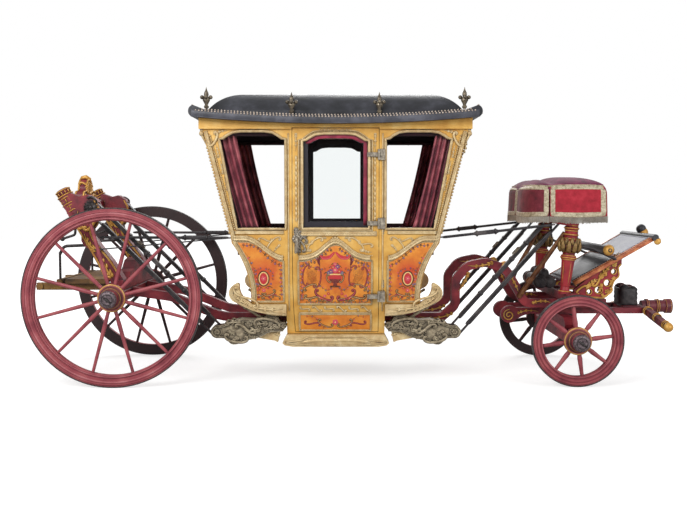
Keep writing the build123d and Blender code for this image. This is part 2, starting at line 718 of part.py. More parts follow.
def foot_rails(board, standards):
    """A turned foot roller above the board and the bent irons that carry it."""
    x, z = FOOT_ROLLER
    r = FOOT_ROLLER_R
    reach = FOOTBOARD_Y + 20
    roller = rod_y(x, z, r, -reach, reach)
    ball = Pos(x, reach + 30, z) * Sphere(r + 8)
    place = between(FOOT_LOW, FOOT_HIGH)
    end = place(0.5125, -FOOTBOARD_T - 4)
    iron = bent_rod(STRAP_Y - 45, FOOT_IRON_R, 60, (HEAD_X + 60, POST_TOP_Z - 10),
                    (HEAD_X + 62, z + 50), (x - 150, z + 12), end)
    iron += rod((end[0], STRAP_Y - 45, end[1]), (end[0], FOOTBOARD_Y - 20, end[1]),
                FOOT_IRON_R, FOOT_IRON_R)
    frame = roller + both_sides(ball + iron)
    return largest(frame - board - standards)


# Fore carriage

def king_bore(z0, z1):
    return Pos(FRONT_X, 0, (z0 + z1) / 2) * Cylinder(KING_R + PIN_GAP, z1 - z0)


def fore_axle():
    shape = axle(FRONT_X, FORE_BED_LOW_Z, FORE_BED_TOP_Z, FORE_BED_W, FORE_BED_Y, FRONT_ARM_R, FRONT_R)
    return shape - king_bore(FORE_BED_LOW_Z + KING_FLOOR, FORE_BED_TOP_Z)


def fore_bolster():
    half = FORE_BED_W / 2
    wide = FORE_BOLSTER_Y
    swell = (FORE_BED_TOP_Z + FORE_BOLSTER_TOP_Z) / 2
    outline = Polyline(
        (-0.93 * wide, FORE_BED_TOP_Z), (0.93 * wide, FORE_BED_TOP_Z), (wide, swell),
        (0.87 * wide, FORE_BOLSTER_TOP_Z), (-0.87 * wide, FORE_BOLSTER_TOP_Z), (-wide, swell),
        close=True,
    )
    beam = plate_x(outline, FRONT_X - half, FRONT_X + half)
    boss_y = FUTCHELL_Y - FUTCHELL_W / 2
    boss = block(FRONT_X - half, FRONT_X + half, -boss_y, boss_y, FORE_BOLSTER_TOP_Z, FUTCHELL_TOP_Z)
    plate_top = BED_Z - PERCH_H / 2 - DISC_GAP
    disc = Pos(FRONT_X, 0, (FUTCHELL_TOP_Z + plate_top) / 2) * Cylinder(DISC_R, plate_top - FUTCHELL_TOP_Z)
    return beam + boss + disc - king_bore(FORE_BED_TOP_Z, plate_top)


def futchells():
    """Two bars from the scrolled tails to the splinter bar, and the clamp between them."""
    low = FORE_BOLSTER_TOP_Z
    top = FUTCHELL_TOP_Z
    tail = TAIL_X
    r = TAIL_R
    outline = [
        Line((SPLINTER_X, low), (SPLINTER_X, top)), Line((SPLINTER_X, top), (tail + 2 * r, top)),
        ThreePointArc((tail + 2 * r, top), (tail + 0.27 * r, top - 0.2 * r), (tail, top - r)),
        ThreePointArc((tail, top - r), (tail + 0.8 * r, top - 2 * r), (tail + 2 * r, top - 1.6 * r)),
        ThreePointArc((tail + 2 * r, top - 1.6 * r), (tail + 2.9 * r, top - 1.1 * r), (tail + 4 * r, low)),
        Line((tail + 4 * r, low), (SPLINTER_X, low)),
    ]
    inner = FUTCHELL_Y - FUTCHELL_W / 2
    bar = plate_y(outline, inner, FUTCHELL_Y + FUTCHELL_W / 2)
    back = SPLINTER_X - CLAMP_L
    clamp = block(back, SPLINTER_X, -inner, inner, low, top + 10)
    head = block(back, SPLINTER_X - 20, -CLAMP_Y, CLAMP_Y, top, top + CLAMP_H)
    head = chamfer(head.edges().filter_by(Axis.X), 20)
    return bar + mirror(bar, about=Plane.XZ) + clamp + head


def splinter_bar():
    """The bar the traces hook to, drawn down towards its ball ends."""
    z0 = SPLINTER_Z
    end = z0 - SPLINTER_DROP
    h = SPLINTER_T / 2
    half = [(0, z0 - h), (280, z0 - h), (450, z0 - h - 30), (SPLINTER_Y, end - h),
            (SPLINTER_Y, end + h), (450, z0 + h - 20), (280, z0 + h), (0, z0 + h)]
    bar = plate_x(polygon(*half), SPLINTER_X, SPLINTER_X + SPLINTER_T)
    ball = Pos(SPLINTER_X + h, SPLINTER_Y + 20, end) * Sphere(44)
    return bar + ball + mirror(bar + ball, about=Plane.XZ)


def pole_socket():
    """The ringed barrel that takes the draught pole."""
    length = SOCKET_L
    r = SOCKET_R
    profile = polygon(
        (0, 0), (r - 15, 0), (r - 13, 40), (r, 44), (r, 70), (r - 12, 76), (r - 12, 0.45 * length),
        (r - 4, 0.48 * length), (r - 4, 0.56 * length), (r - 12, 0.59 * length),
        (r - 12, length - 70), (r, length - 62), (r, length),
        (SOCKET_BORE_R, length), (SOCKET_BORE_R, length - SOCKET_BORE_L), (0, length - SOCKET_BORE_L),
    )
    barrel = revolve(Plane.XZ * make_face(profile), axis=Axis.Z)
    return Pos(SPLINTER_X + SPLINTER_T, 0, SOCKET_Z) * Rot(0, 90, 0) * barrel


# Cabin

def section_side(inset):
    """The side of the cabin in Y and Z, inset from its outer face, closed at the middle."""
    low = SILL_Z - WALL_BELOW
    high = TOP_Z + WALL_ABOVE
    drop = TURN_UNDER_Z - low
    y_low = CABIN_Y - (TURN_UNDER_R - sqrt(TURN_UNDER_R ** 2 - drop ** 2))
    half = drop / 2
    y_mid = CABIN_Y - (TURN_UNDER_R - sqrt(TURN_UNDER_R ** 2 - half ** 2))
    return [
        Line((0, low), (y_low - inset, low)),
        ThreePointArc((y_low - inset, low), (y_mid - inset, TURN_UNDER_Z - half),
                      (CABIN_Y - inset, TURN_UNDER_Z)),
        Line((CABIN_Y - inset, TURN_UNDER_Z), (CABIN_Y - inset, high)),
        Line((CABIN_Y - inset, high), (0, high)),
        Line((0, high), (0, low)),
    ]


def side_core(inset):
    """The room inside the left half of the cabin, out to its wall less an inset."""
    reach = TOP_HALF + WALL_ABOVE
    return plate_x(section_side(inset), CABIN_X - reach, CABIN_X + reach)


def end_x(z):
    """Half length of the cabin at a height above its belt."""
    return BELT_HALF + (TOP_HALF - BELT_HALF) * (z - BELT_Z) / (TOP_Z - BELT_Z)


def cabin_outline(inset, z_top):
    """The cabin seen from its side, inset from its ends."""
    top = end_x(z_top) - inset
    belt = BELT_HALF - inset
    foot = FOOT_HALF - inset
    x = CABIN_X
    bulge = (belt - 10 - foot) * 0.68
    z_mid = (TURN_UNDER_Z + FOOT_ARC_Z) / 2
    z_low = FLOOR_Z
    right = [
        Line((x + top, z_top), (x + belt, BELT_Z)),
        Line((x + belt, BELT_Z), (x + belt - 10, TURN_UNDER_Z)),
        ThreePointArc((x + belt - 10, TURN_UNDER_Z), (x + foot + bulge * 0.42, z_mid),
                      (x + foot, FOOT_ARC_Z)),
        Line((x + foot, FOOT_ARC_Z), (x + foot, z_low)),
    ]
    left = [
        Line((x - foot, z_low), (x - foot, FOOT_ARC_Z)),
        ThreePointArc((x - foot, FOOT_ARC_Z), (x - foot - bulge * 0.42, z_mid),
                      (x - belt + 10, TURN_UNDER_Z)),
        Line((x - belt + 10, TURN_UNDER_Z), (x - belt, BELT_Z)),
        Line((x - belt, BELT_Z), (x - top, z_top)),
    ]
    return [*right, Line((x + foot, z_low), (x - foot, z_low)), *left,
            Line((x - top, z_top), (x + top, z_top))]


def door_reach(extra):
    """A cylinder about the hinge: the door's free edge, or its opening with a little more."""
    return Pos(hinge_x(), HINGE_Y, TOP_Z / 2) * Cylinder(2 * DOOR_HALF + extra, 1.5 * TOP_Z)


def arched(x0, x1, z0, shoulder, rise, x0_head=None, x1_head=None):
    """A window whose flat head springs from a small cusp at each shoulder."""
    h0 = x0 if x0_head is None else x0_head
    h1 = x1 if x1_head is None else x1_head
    a, b = h0 + ARCH_CUSP, h1 - ARCH_CUSP
    mid = (a + b) / 2
    foot = shoulder + 0.12 * rise
    return [
        Line((x0, z0), (x1, z0)), Line((x1, z0), (h1, shoulder)), Line((h1, shoulder), (b, foot)),
        ThreePointArc((b, foot), (mid + 0.34 * (b - a), shoulder + 0.86 * rise),
                      (mid + 0.20 * (b - a), shoulder + rise)),
        Line((mid + 0.20 * (b - a), shoulder + rise), (mid - 0.20 * (b - a), shoulder + rise)),
        ThreePointArc((mid - 0.20 * (b - a), shoulder + rise),
                      (mid - 0.34 * (b - a), shoulder + 0.86 * rise), (a, foot)),
        Line((a, foot), (h0, shoulder)), Line((h0, shoulder), (x0, z0)),
    ]


def quarter_window():
    """The front quarter's window, wider at its head because the end wall rakes."""
    x = CABIN_X
    inner = x + PILLAR_HALF + PILLAR_FACE
    return arched(inner, x + end_x(WINDOW_SILL_Z) - POST_SILL_W, WINDOW_SILL_Z,
                  WINDOW_SHOULDER_Z, ARCH_RISE, x1_head=x + end_x(WINDOW_SHOULDER_Z) - POST_HEAD_W)


def cabin_side():
    """The left side: both quarters and the door pillars."""
    band = side_core(0) - side_core(WALL)
    reach = CABIN_Y + WALL_ABOVE
    quarters = plate_y(cabin_outline(0, TOP_Z), 0, reach)
    x = CABIN_X
    legs = block(x - PILLAR_HALF, x + PILLAR_HALF, 0, reach, SILL_Z, FLOOR_Z + 1)
    side = band & (quarters + legs)
    opening = block(x - PILLAR_HALF, hinge_x() + DOOR_GAP, 0, reach, SILL_Z - WALL_BELOW,
                    TOP_Z + WALL_ABOVE)
    side -= opening & door_reach(DOOR_GAP)
    window = plate_y(quarter_window(), 0, reach)
    return side - window - about_cabin(window)


def end_wall():
    """The closed front wall, raked above the belt and drawn in below it."""
    reach = CABIN_Y + WALL_ABOVE
    shell = plate_y(cabin_outline(0, TOP_Z), -reach, reach)
    shell -= plate_y(cabin_outline(WALL, TOP_Z), -reach, reach)
    core = side_core(WALL)
    inside = core + mirror(core, about=Plane.XZ)
    behind = block(CABIN_X - 2 * TOP_HALF, CABIN_X + PILLAR_HALF, -reach, reach, 0, 2 * TOP_Z)
    return largest((shell & inside) - behind)


def cabin_floor():
    """The floor between the end walls, cut back where the doors' feet come in."""
    core = side_core(WALL)
    inside = core + mirror(core, about=Plane.XZ)
    half = FOOT_HALF - WALL
    slab = block(CABIN_X - half, CABIN_X + half, -CABIN_Y, CABIN_Y, FLOOR_Z, FLOOR_Z + FLOOR_T)
    slab = slab & inside
    recess = block(CABIN_X - PILLAR_HALF, CABIN_X + PILLAR_HALF, WELL_Y, CABIN_Y + WALL,
                   FLOOR_Z - WALL, FLOOR_Z + 3 * WALL)
    return slab - recess - mirror(recess, about=Plane.XZ)


def door_window(inset):
    """The door's window outline, or the glass's with the sash's width as inset."""
    x = CABIN_X
    half = DOOR_WINDOW_HALF - inset
    sill = WINDOW_SILL_Z + (SASH_SILL_H if inset else 0)
    return arched(x - half, x + half, sill, WINDOW_SHOULDER_Z - 15 - inset / 2, ARCH_RISE - inset / 3)


def door():
    """The left door: one panel from the step to the cornice, with its window cut."""
    band = side_core(0) - side_core(WALL)
    x = CABIN_X
    reach = CABIN_Y + WALL_ABOVE
    blank = block(x - PILLAR_HALF, hinge_x(), 0, reach, DOOR_BOTTOM_Z, DOOR_TOP_Z)
    panel = band & blank & door_reach(0)
    return panel - plate_y(door_window(0), 0, reach)


def sash():
    y1 = CABIN_Y - SASH_DEEP
    y0 = y1 - SASH_T
    return plate_y(door_window(0), y0, y1) - plate_y(door_window(SASH_W), y0 - 1, y1 + 1)


def glass():
    y = CABIN_Y - SASH_DEEP - SASH_T / 2
    return plate_y(door_window(SASH_W), y - GLASS_T / 2, y + GLASS_T / 2)


def hinge_x():
    return CABIN_X + DOOR_HALF


def door_fittings():
    """Hinge knuckles on their leaves, and the handle on its plate."""
    x = hinge_x()
    core = side_core(0)
    knuckles = []
    for z in HINGE_ZS:
        leaf = block(x - LEAF_L, x - HINGE_R / 2, CABIN_Y - LEAF_DEEP, HINGE_Y + 4,
                     z - KNUCKLE_H / 2, z + KNUCKLE_H / 2)
        knuckle = Pos(x, HINGE_Y, z) * Cylinder(HINGE_R, KNUCKLE_H)
        bore = Pos(x, HINGE_Y, z) * Cylinder(HINGE_PIN_R + PIN_GAP, KNUCKLE_H + 2)
        knuckles.append(((leaf - core) + knuckle) - bore)
    hx = CABIN_X - DOOR_HALF + HANDLE_IN
    z = HANDLE_Z
    plate = block(hx - 22, hx + 22, CABIN_Y, CABIN_Y + 8, z - 130, z + 100) - core
    stem = rod_y(hx, z, 12, CABIN_Y + 8, CABIN_Y + 42)
    rose = rod_y(hx, z, 30, CABIN_Y + 4, CABIN_Y + 16)
    grip = rod((hx, CABIN_Y + 44, z + 20), (hx, CABIN_Y + 50, z - 110), 16, 10)
    return group(*knuckles, plate + stem + rose + grip)


def hinge_pins():
    """Fixed knuckles and pins on the front door pillar."""
    x = hinge_x()
    core = side_core(0)
    parts = []
    for z in HINGE_ZS:
        low = z - KNUCKLE_H / 2
        high = z + KNUCKLE_H / 2
        hinge = Pos(x, HINGE_Y, z) * Cylinder(HINGE_PIN_R, KNUCKLE_H + 2 * EAR_H)
        for z0, z1 in ((low - EAR_H - 1, low - 1), (high + 1, high + EAR_H + 1)):
            hinge += Pos(x, HINGE_Y, (z0 + z1) / 2) * Cylinder(HINGE_R, z1 - z0)
        web = block(x + HINGE_R / 2, x + 5 * HINGE_R, CABIN_Y - LEAF_DEEP - 10, HINGE_Y + 4,
                    low - EAR_H - 1, high + EAR_H + 1)
        notch = Pos(x, HINGE_Y, z) * Cylinder(HINGE_R + 3, KNUCKLE_H + 2)
        parts.append(hinge + (web - notch - core))
    return group(*parts)


def eave_view(top):
    """The space under the roof's curved eave, or under a parallel curve a little above."""
    x = CABIN_X
    end = EAVE_MID_Z + EAVE_RISE
    return [
        Line((x - EAVE_HALF, 0), (x + EAVE_HALF, 0)),
        Line((x + EAVE_HALF, 0), (x + EAVE_HALF, end + top)),
        ThreePointArc((x + EAVE_HALF, end + top), (x, EAVE_MID_Z + top), (x - EAVE_HALF, end + top)),
        Line((x - EAVE_HALF, end + top), (x - EAVE_HALF, 0)),
    ]


def cornice():
    """The frieze under the eave, with a notch over each door."""
    x = CABIN_X
    outer_x = TOP_HALF + CORNICE_OUT
    outer_y = CABIN_Y + CORNICE_OUT
    high = EAVE_MID_Z + 2 * EAVE_RISE
    ring = block(x - outer_x, x + outer_x, -outer_y, outer_y, TOP_Z, high)
    inner_x = outer_x - CORNICE_W
    inner_y = outer_y - CORNICE_W
    ring -= block(x - inner_x, x + inner_x, -inner_y, inner_y, TOP_Z - 1, high + 1)
    ring = ring & plate_y(eave_view(0), -EAVE_Y, EAVE_Y)
    gate = block(x - PILLAR_HALF, hinge_x() + DOOR_GAP, 0, EAVE_Y, TOP_Z - 1, DOOR_TOP_Z + DOOR_GAP)
    gate = gate & door_reach(DOOR_GAP)
    return ring - gate - mirror(gate, about=Plane.XZ)


def eave_band():
    """The rolled leather edge that follows the eave and turns up at both ends."""
    x = CABIN_X
    half = EAVE_HALF
    end = EAVE_MID_Z + EAVE_RISE
    top = EAVE_T
    outline = [
        ThreePointArc((x + half, end), (x, EAVE_MID_Z), (x - half, end)),
        ThreePointArc((x - half, end), (x - half - 26, end + 0.6 * top),
                      (x - half + 14, end + top + TIP_RISE)),
        ThreePointArc((x - half + 14, end + top + TIP_RISE), (x - half + 60, end + top + 14),
                      (x - half + 130, end + top - 14)),
        ThreePointArc((x - half + 130, end + top - 14), (x, EAVE_MID_Z + top),
                      (x + half - 130, end + top - 14)),
        ThreePointArc((x + half - 130, end + top - 14), (x + half - 60, end + top + 14),
                      (x + half - 14, end + top + TIP_RISE)),
        ThreePointArc((x + half - 14, end + top + TIP_RISE), (x + half + 26, end + 0.6 * top),
                      (x + half, end)),
    ]
    return plate_y(outline, -EAVE_Y, EAVE_Y)


def dome(drop, shrink):
    """The leather dome behind the band, or its hollow when lowered and drawn in."""
    x = CABIN_X
    top = DOME_Z - drop
    base = EAVE_MID_Z
    views = []
    for half in (EAVE_HALF - DOME_INSET - shrink, EAVE_Y - 0.45 * DOME_INSET - shrink):
        rim = top - 0.62 * (top - EAVE_MID_Z)
        side = half - 0.62 * DOME_RUN
        shoulder = half - DOME_RUN
        views.append([
            Line((-half, base), (half, base)), Line((half, base), (half, rim)),
            ThreePointArc((half, rim), (side, top - DOME_SHOULDER - 0.14 * (top - rim)),
                          (shoulder, top - DOME_SHOULDER)),
            ThreePointArc((shoulder, top - DOME_SHOULDER), (0, top), (-shoulder, top - DOME_SHOULDER)),
            ThreePointArc((-shoulder, top - DOME_SHOULDER),
                          (-side, top - DOME_SHOULDER - 0.14 * (top - rim)), (-half, rim)),
            Line((-half, rim), (-half, base)),
        ])
    long_view = Pos(x, 0, 0) * plate_y(views[0], -EAVE_Y, EAVE_Y)
    return long_view & plate_x(views[1], x - EAVE_HALF, x + EAVE_HALF)


def roof():
    """Leather over a board shell: the rolled edge, the dome and the hollow under it."""
    x = CABIN_X
    room_x = TOP_HALF + CORNICE_OUT - CORNICE_W
    room_y = CABIN_Y + CORNICE_OUT - CORNICE_W
    solid = eave_band() + dome(0, 0)
    solid -= plate_y(eave_view(0), -EAVE_Y - 1, EAVE_Y + 1)
    hollow = dome(ROOF_WALL, DOME_INSET) + plate_y(eave_view(0.3 * EAVE_T), -EAVE_Y, EAVE_Y)
    room = block(x - room_x, x + room_x, -room_y, room_y, 0, 2 * DOME_Z)
    return solid - (hollow & room)


def finials(cover):
    """Fleur finials on the roof's corners and over the door pillars."""
    bud = revolve(Plane.XZ * make_face(polygon(
        (0, -FINIAL_SINK), (10, -FINIAL_SINK), (10, 12), (20, 18), (24, 34), (14, 48), (20, 62),
        (34, 88), (30, 112), (16, 124), (22, 140), (20, 160), (8, 186), (0, FINIAL_H),
    )), axis=Axis.Z)
    petal = Pos(40, 0, 118) * Sphere(19) + rod((12, 0, 92), (36, 0, 108), 9, 9)
    one = bud + petal + mirror(petal, about=Plane.YZ) + Rot(0, 0, 90) * petal + Rot(0, 0, -90) * petal
    solids = []
    for x_off in (-FINIAL_END, -FINIAL_MID, FINIAL_MID, FINIAL_END):
        share = x_off / EAVE_HALF
        z = EAVE_MID_Z + EAVE_T + EAVE_RISE * share * share - 2
        solids.append(largest((Pos(CABIN_X + x_off, FINIAL_Y, z) * one) - cover))
    return both_sides(group(*solids))


def sill_scroll(walls):
    """The broad gilded scroll under the front quarter on the left side."""
    x = CABIN_X
    foot = x + FOOT_HALF
    low = FLOOR_Z
    top = low - SEAT_GAP
    h = SCROLL_H
    outline = [
        Line((x + PILLAR_HALF, top), (x + PILLAR_HALF, low - 1.1 * h)),
        ThreePointArc((x + PILLAR_HALF, low - 1.1 * h), (foot - 0.8 * h, low - 0.78 * h),
                      (foot + 1.45 * h, low + 0.18 * h)),
        ThreePointArc((foot + 1.45 * h, low + 0.18 * h), (foot + 2.1 * h, low + h),
                      (foot + 1.5 * h, low + 1.95 * h)),
        ThreePointArc((foot + 1.5 * h, low + 1.95 * h), (foot + 1.28 * h, low + 2.04 * h),
                      (foot + 1.1 * h, low + 1.8 * h)),
        ThreePointArc((foot + 1.1 * h, low + 1.8 * h), (foot + 0.88 * h, low + 0.9 * h),
                      (foot + 0.2 * h, low + 0.3 * h)),
        Line((foot + 0.2 * h, low + 0.3 * h), (foot - 0.15 * h, top)),
        Line((foot - 0.15 * h, top), (x + PILLAR_HALF, top)),
    ]
    inner = STRAP_Y + CHEEK_W / 2 + 5
    return largest(plate_y(outline, inner, inner + SCROLL_T) - walls)


def step_box(side):
    """The well behind the foot of the left door, where the folding step is stowed."""
    x = CABIN_X
    half = PILLAR_HALF
    outer = block(x - half, x + half, WELL_IN_Y, CABIN_Y, SILL_Z, FLOOR_Z)
    room = block(x - half + 60, x + half - 60, WELL_IN_Y + 20, CABIN_Y + 40, SILL_Z + 20, FLOOR_Z + 1)
    swing = side_core(0) - side_core(WALL + DOOR_GAP + 3)
    swing = swing & block(x - half + 20, x + half - 20, 0, CABIN_Y + 40, SILL_Z + 20, FLOOR_Z + 1)
    return largest((outer & side_core(0)) - room - swing - side)


def door_step():
    """The plinth under each door, with low pointed ends."""
    x = CABIN_X
    half = PILLAR_HALF
    outline = polygon(
        (x - half, SILL_Z), (x - half - 44, SILL_Z - 82), (x - half - 20, SILL_Z - 104),
        (x - half + 60, SILL_Z - STEP_T), (x + half - 60, SILL_Z - STEP_T),
        (x + half + 20, SILL_Z - 104), (x + half + 44, SILL_Z - 82), (x + half, SILL_Z),
    )
    return both_sides(plate_y(outline, STEP_IN_Y, STEP_OUT_Y))


def benches():
    """Bench boxes across both ends of the cabin."""
    foot = CABIN_X + FOOT_HALF - WALL - BENCH_D
    box = block(foot, foot + BENCH_D - 50, -BENCH_Y, BENCH_Y, FLOOR_Z + FLOOR_T, BENCH_Z)
    return group(box, about_cabin(box))


def bench_cushions():
    foot = CABIN_X + FOOT_HALF - WALL - BENCH_D
    low = BENCH_Z + SEAT_GAP
    pad = block(foot - 10, foot + BENCH_D - 30, -BENCH_Y, BENCH_Y, low, low + PAD_T)
    return group(pad, about_cabin(pad))


def curtains():
    """Drawn curtains behind the outer ends of the quarter windows."""
    x = CABIN_X
    y = CABIN_Y - WALL - SEAT_GAP
    low = WINDOW_SILL_Z - 50
    high = TOP_Z - 10
    wall = WALL + 15
    outline = polygon(
        (x + end_x(low) - wall - CURTAIN_LOW_W, low), (x + end_x(low) - wall, low),
        (x + end_x(high) - wall, high), (x + end_x(high) - wall - CURTAIN_TOP_W, high),
    )
    one = plate_y(outline, y - CURTAIN_T, y)
    return both_sides(group(one, about_cabin(one)))


# Suspension ironwork

def strap_bracket():
    """The carved iron under the front corner of the cabin, with its forked eye."""
    x0 = CABIN_X + PILLAR_HALF
    eye = CABIN_X + EYE_X
    run = eye - x0
    table = (
        # share of the way from pillar to eye, height above the eye
        (0.0, 52), (0.03, 88), (0.10, 96), (0.15, 150), (0.16, 210), (0.27, 210), (0.30, 146),
        (0.40, 120), (0.52, 116), (0.66, 122), (0.80, 96), (0.90, 66), (0.98, 58), (1.0, -58),
        (0.86, -62), (0.79, -118), (0.70, -116), (0.60, -84), (0.48, -66), (0.38, -48), (0.24, 2),
        (0.06, 8),
    )
    outline = soft_polygon(8, *[(x0 + share * run, EYE_Z + up) for share, up in table])
    y0, y1 = STRAP_Y - CHEEK_W / 2, STRAP_Y + CHEEK_W / 2
    iron = plate_y(outline, y0, y1)
    iron += rod_y(eye, EYE_Z, EYE_R, y0, y1)
    iron += block(x0 + 0.15 * run, x0 + 0.28 * run, y0, y1, EYE_Z + 150, FLOOR_Z)
    iron -= strap_slot(*front_run(), ROLLER_R + STRAP_T + STRAP_CLEAR)
    iron += rod_y(eye, EYE_Z, ROLLER_R, y0, y1)
    brace = rod((x0 + 0.34 * run, STRAP_Y, EYE_Z + 118), (x0 + 0.74 * run, STRAP_Y, FLOOR_Z + 16), 15, 15)
    brace += Pos(x0 + 0.60 * run, STRAP_Y, FLOOR_Z - 42) * Sphere(26)
    return iron + brace


def bracket_wedge(bracket):
    """The small gilded block that fills the crook under each bracket."""
    x0 = CABIN_X + PILLAR_HALF
    run = EYE_X - PILLAR_HALF
    outline = polygon(
        (x0 + 0.09 * run, EYE_Z + 30), (x0 + 0.13 * run, EYE_Z - 104), (x0 + 0.18 * run, EYE_Z - 88),
        (x0 + 0.40 * run, EYE_Z - 62), (x0 + 0.42 * run, EYE_Z - 30), (x0 + 0.24 * run, EYE_Z + 30),
    )
    return largest(plate_y(outline, STRAP_Y - 50, STRAP_Y + 50) - bracket)


def check_strap(x0, z0, x1, z1, y0, y1):
    """A flat strap that keeps the cabin from swinging."""
    dx, dz = x1 - x0, z1 - z0
    run = hypot(dx, dz)
    nx, nz = -dz / run * CHECK_T / 2, dx / run * CHECK_T / 2
    outline = polygon((x0 + nx, z0 + nz), (x1 + nx, z1 + nz), (x1 - nx, z1 - nz), (x0 - nx, z0 - nz))
    return plate_y(outline, y0, y1)


def check_straps(walls):
    """Straps from the cabin's belt to the standards, nailed along their outer cheeks."""
    near = STRAP_Y + CHEEK_W / 2 + SEAT_GAP
    belt_x = BELT_HALF - WALL / 2
    rear_x, rear_z = between(*rear_column())(0.34, 0)
    ends = (
        (CABIN_X - belt_x, rear_x, rear_z),
        (CABIN_X + belt_x, FRONT_ROLLER_X - 43, FRONT_ROLLER_Z - 75),
    )
    parts = []
    for x0, x1, z1 in ends:
        strap = check_strap(x0, BELT_Z - 20, x1, z1, near, near + CHECK_W)
        parts.append(largest(strap - walls))
    return both_sides(group(*parts))


def main():
    os.makedirs("parts", exist_ok=True)
    build_wheels()
    save("rear_axle", axle(REAR_X, REAR_BED_LOW_Z, REAR_BED_TOP_Z, REAR_BED_W, AXLE_BED_Y,
                           REAR_ARM_R, REAR_R))
    beams = perches()
    save("perches", beams)
    save("rear_bolster", rear_bolster())
    posts_rear = rear_standards()
    save("rear_standards", posts_rear)
    save("rear_crest", rear_crest(posts_rear))
    save("rear_platform", rear_platform())
    save("rear_irons", rear_irons(posts_rear))
    save("front_transom", front_transom())
    posts_front = front_standards()
    save("front_standards", posts_front)
    save("front_stays", front_stays(posts_front, beams))
    save("driver_seat", driver_seat())
    save("hammercloth", hammercloth())
    board = footboard()
    save("footboard", board)
    save("footboard_brackets", footboard_brackets(board, beams))
    save("foot_rails", foot_rails(board, posts_front))
    save("fore_axle", fore_axle())
    save("fore_bolster", fore_bolster())
    save("futchells", futchells())
    save("splinter_bar", splinter_bar())
    save("pole_socket", pole_socket())

    side = cabin_side()
    save("side_left", side)
    save("side_right", mirror(side, about=Plane.XZ))
    front_wall = end_wall()
    save("end_wall_front", front_wall)
    save("end_wall_rear", about_cabin(front_wall))
    floor = cabin_floor()
    save("cabin_floor", floor)
    save("cornice", cornice())
    cover = roof()
    save("roof", cover)
    save("finials", finials(cover))
    panel = door()
    fittings = door_fittings()
    for name, turn in (("left", False), ("right", True)):
        for node, shape in (("door", panel), ("sash", sash()), ("glass", glass()),
                            ("fittings", fittings)):
            placed = mirror(shape, about=Plane.XZ) if turn else shape
            save("door_" + name + "_" + node, placed)
    save("hinge_pins", both_sides(hinge_pins()))
    walls = group(side, front_wall, about_cabin(front_wall))
    scroll = sill_scroll(walls)
    save("sill_scrolls", both_sides(group(scroll, about_cabin(scroll))))
    save("step_boxes", both_sides(step_box(side)))
    save("door_steps", door_step())
    save("benches", benches())
    save("bench_cushions", bench_cushions())
    save("curtains", curtains())
    bracket = strap_bracket()
    save("strap_brackets", both_sides(group(bracket, about_cabin(bracket))))
    wedge = bracket_wedge(bracket)
    save("bracket_wedges", both_sides(group(wedge, about_cabin(wedge))))
    save("main_straps", both_sides(group(strap_loop(*rear_run()), strap_loop(*front_run()))))
    save("check_straps", check_straps(walls))


main()
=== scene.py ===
"""Finishes and soft goods of the gilded travelling coach, in metres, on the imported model."""
import random
from math import atan2, cos, hypot, pi, radians, sin, sqrt

import bmesh
import bpy
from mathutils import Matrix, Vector


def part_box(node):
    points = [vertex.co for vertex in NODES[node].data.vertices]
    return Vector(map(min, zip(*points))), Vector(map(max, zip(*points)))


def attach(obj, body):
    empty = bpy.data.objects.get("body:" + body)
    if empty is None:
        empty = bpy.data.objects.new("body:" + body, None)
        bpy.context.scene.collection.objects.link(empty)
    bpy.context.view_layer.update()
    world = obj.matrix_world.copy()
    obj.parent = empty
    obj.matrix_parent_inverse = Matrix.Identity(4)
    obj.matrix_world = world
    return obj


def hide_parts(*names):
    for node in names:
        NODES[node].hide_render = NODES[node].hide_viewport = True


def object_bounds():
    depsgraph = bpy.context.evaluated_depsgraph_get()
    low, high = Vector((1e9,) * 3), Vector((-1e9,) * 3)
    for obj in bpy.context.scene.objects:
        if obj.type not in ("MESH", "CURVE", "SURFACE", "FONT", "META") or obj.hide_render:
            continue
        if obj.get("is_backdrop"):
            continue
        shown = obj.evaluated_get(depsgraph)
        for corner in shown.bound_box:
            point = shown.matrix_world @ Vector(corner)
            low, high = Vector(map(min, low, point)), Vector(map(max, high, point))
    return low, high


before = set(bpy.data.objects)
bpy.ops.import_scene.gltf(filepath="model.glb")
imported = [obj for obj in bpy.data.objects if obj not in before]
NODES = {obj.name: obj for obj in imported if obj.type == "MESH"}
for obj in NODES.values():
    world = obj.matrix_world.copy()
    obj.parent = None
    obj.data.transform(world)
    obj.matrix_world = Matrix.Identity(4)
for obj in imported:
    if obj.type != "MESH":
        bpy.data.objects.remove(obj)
cad_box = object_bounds()

# The photograph's width in pixels, and the camera that was worked out from its wheels
PHOTO_W = 687
FOCAL_PX = 882.0
SENSOR_MM = 36.0
CAMERA_AT = (-0.19, -9.15, 1.77)
CAMERA_DIP = 3.66

# The cabin's driving sizes: from its nodes' boxes, and the turn-under, belt and pillars as in the solids
SIDE_LOW, SIDE_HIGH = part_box("side_right")
CABIN_X = (SIDE_LOW.x + SIDE_HIGH.x) / 2
CABIN_Y = -SIDE_LOW.y
CABIN_TOP = SIDE_HIGH.z
TURN_UNDER_Z = 1.36
TURN_UNDER_R = 2.42
BELT_Z = 1.43
BELT_HALF = 1.00
FOOT_HALF = 0.815
FOOT_ARC_Z = 0.90
TOP_HALF = (SIDE_HIGH.x - SIDE_LOW.x) / 2
DOOR_HALF = 0.41
PILLAR_HALF = 0.475
MEDALLION_X = 0.69
MOTIF_Z = 1.06


# Colours and materials

def paint(code):
    """An sRGB hex colour as linear red, green, blue and alpha."""
    parts = [int(code[i:i + 2], 16) / 255 for i in (1, 3, 5)]
    return (*[c / 12.92 if c <= 0.04045 else ((c + 0.055) / 1.055) ** 2.4 for c in parts], 1.0)


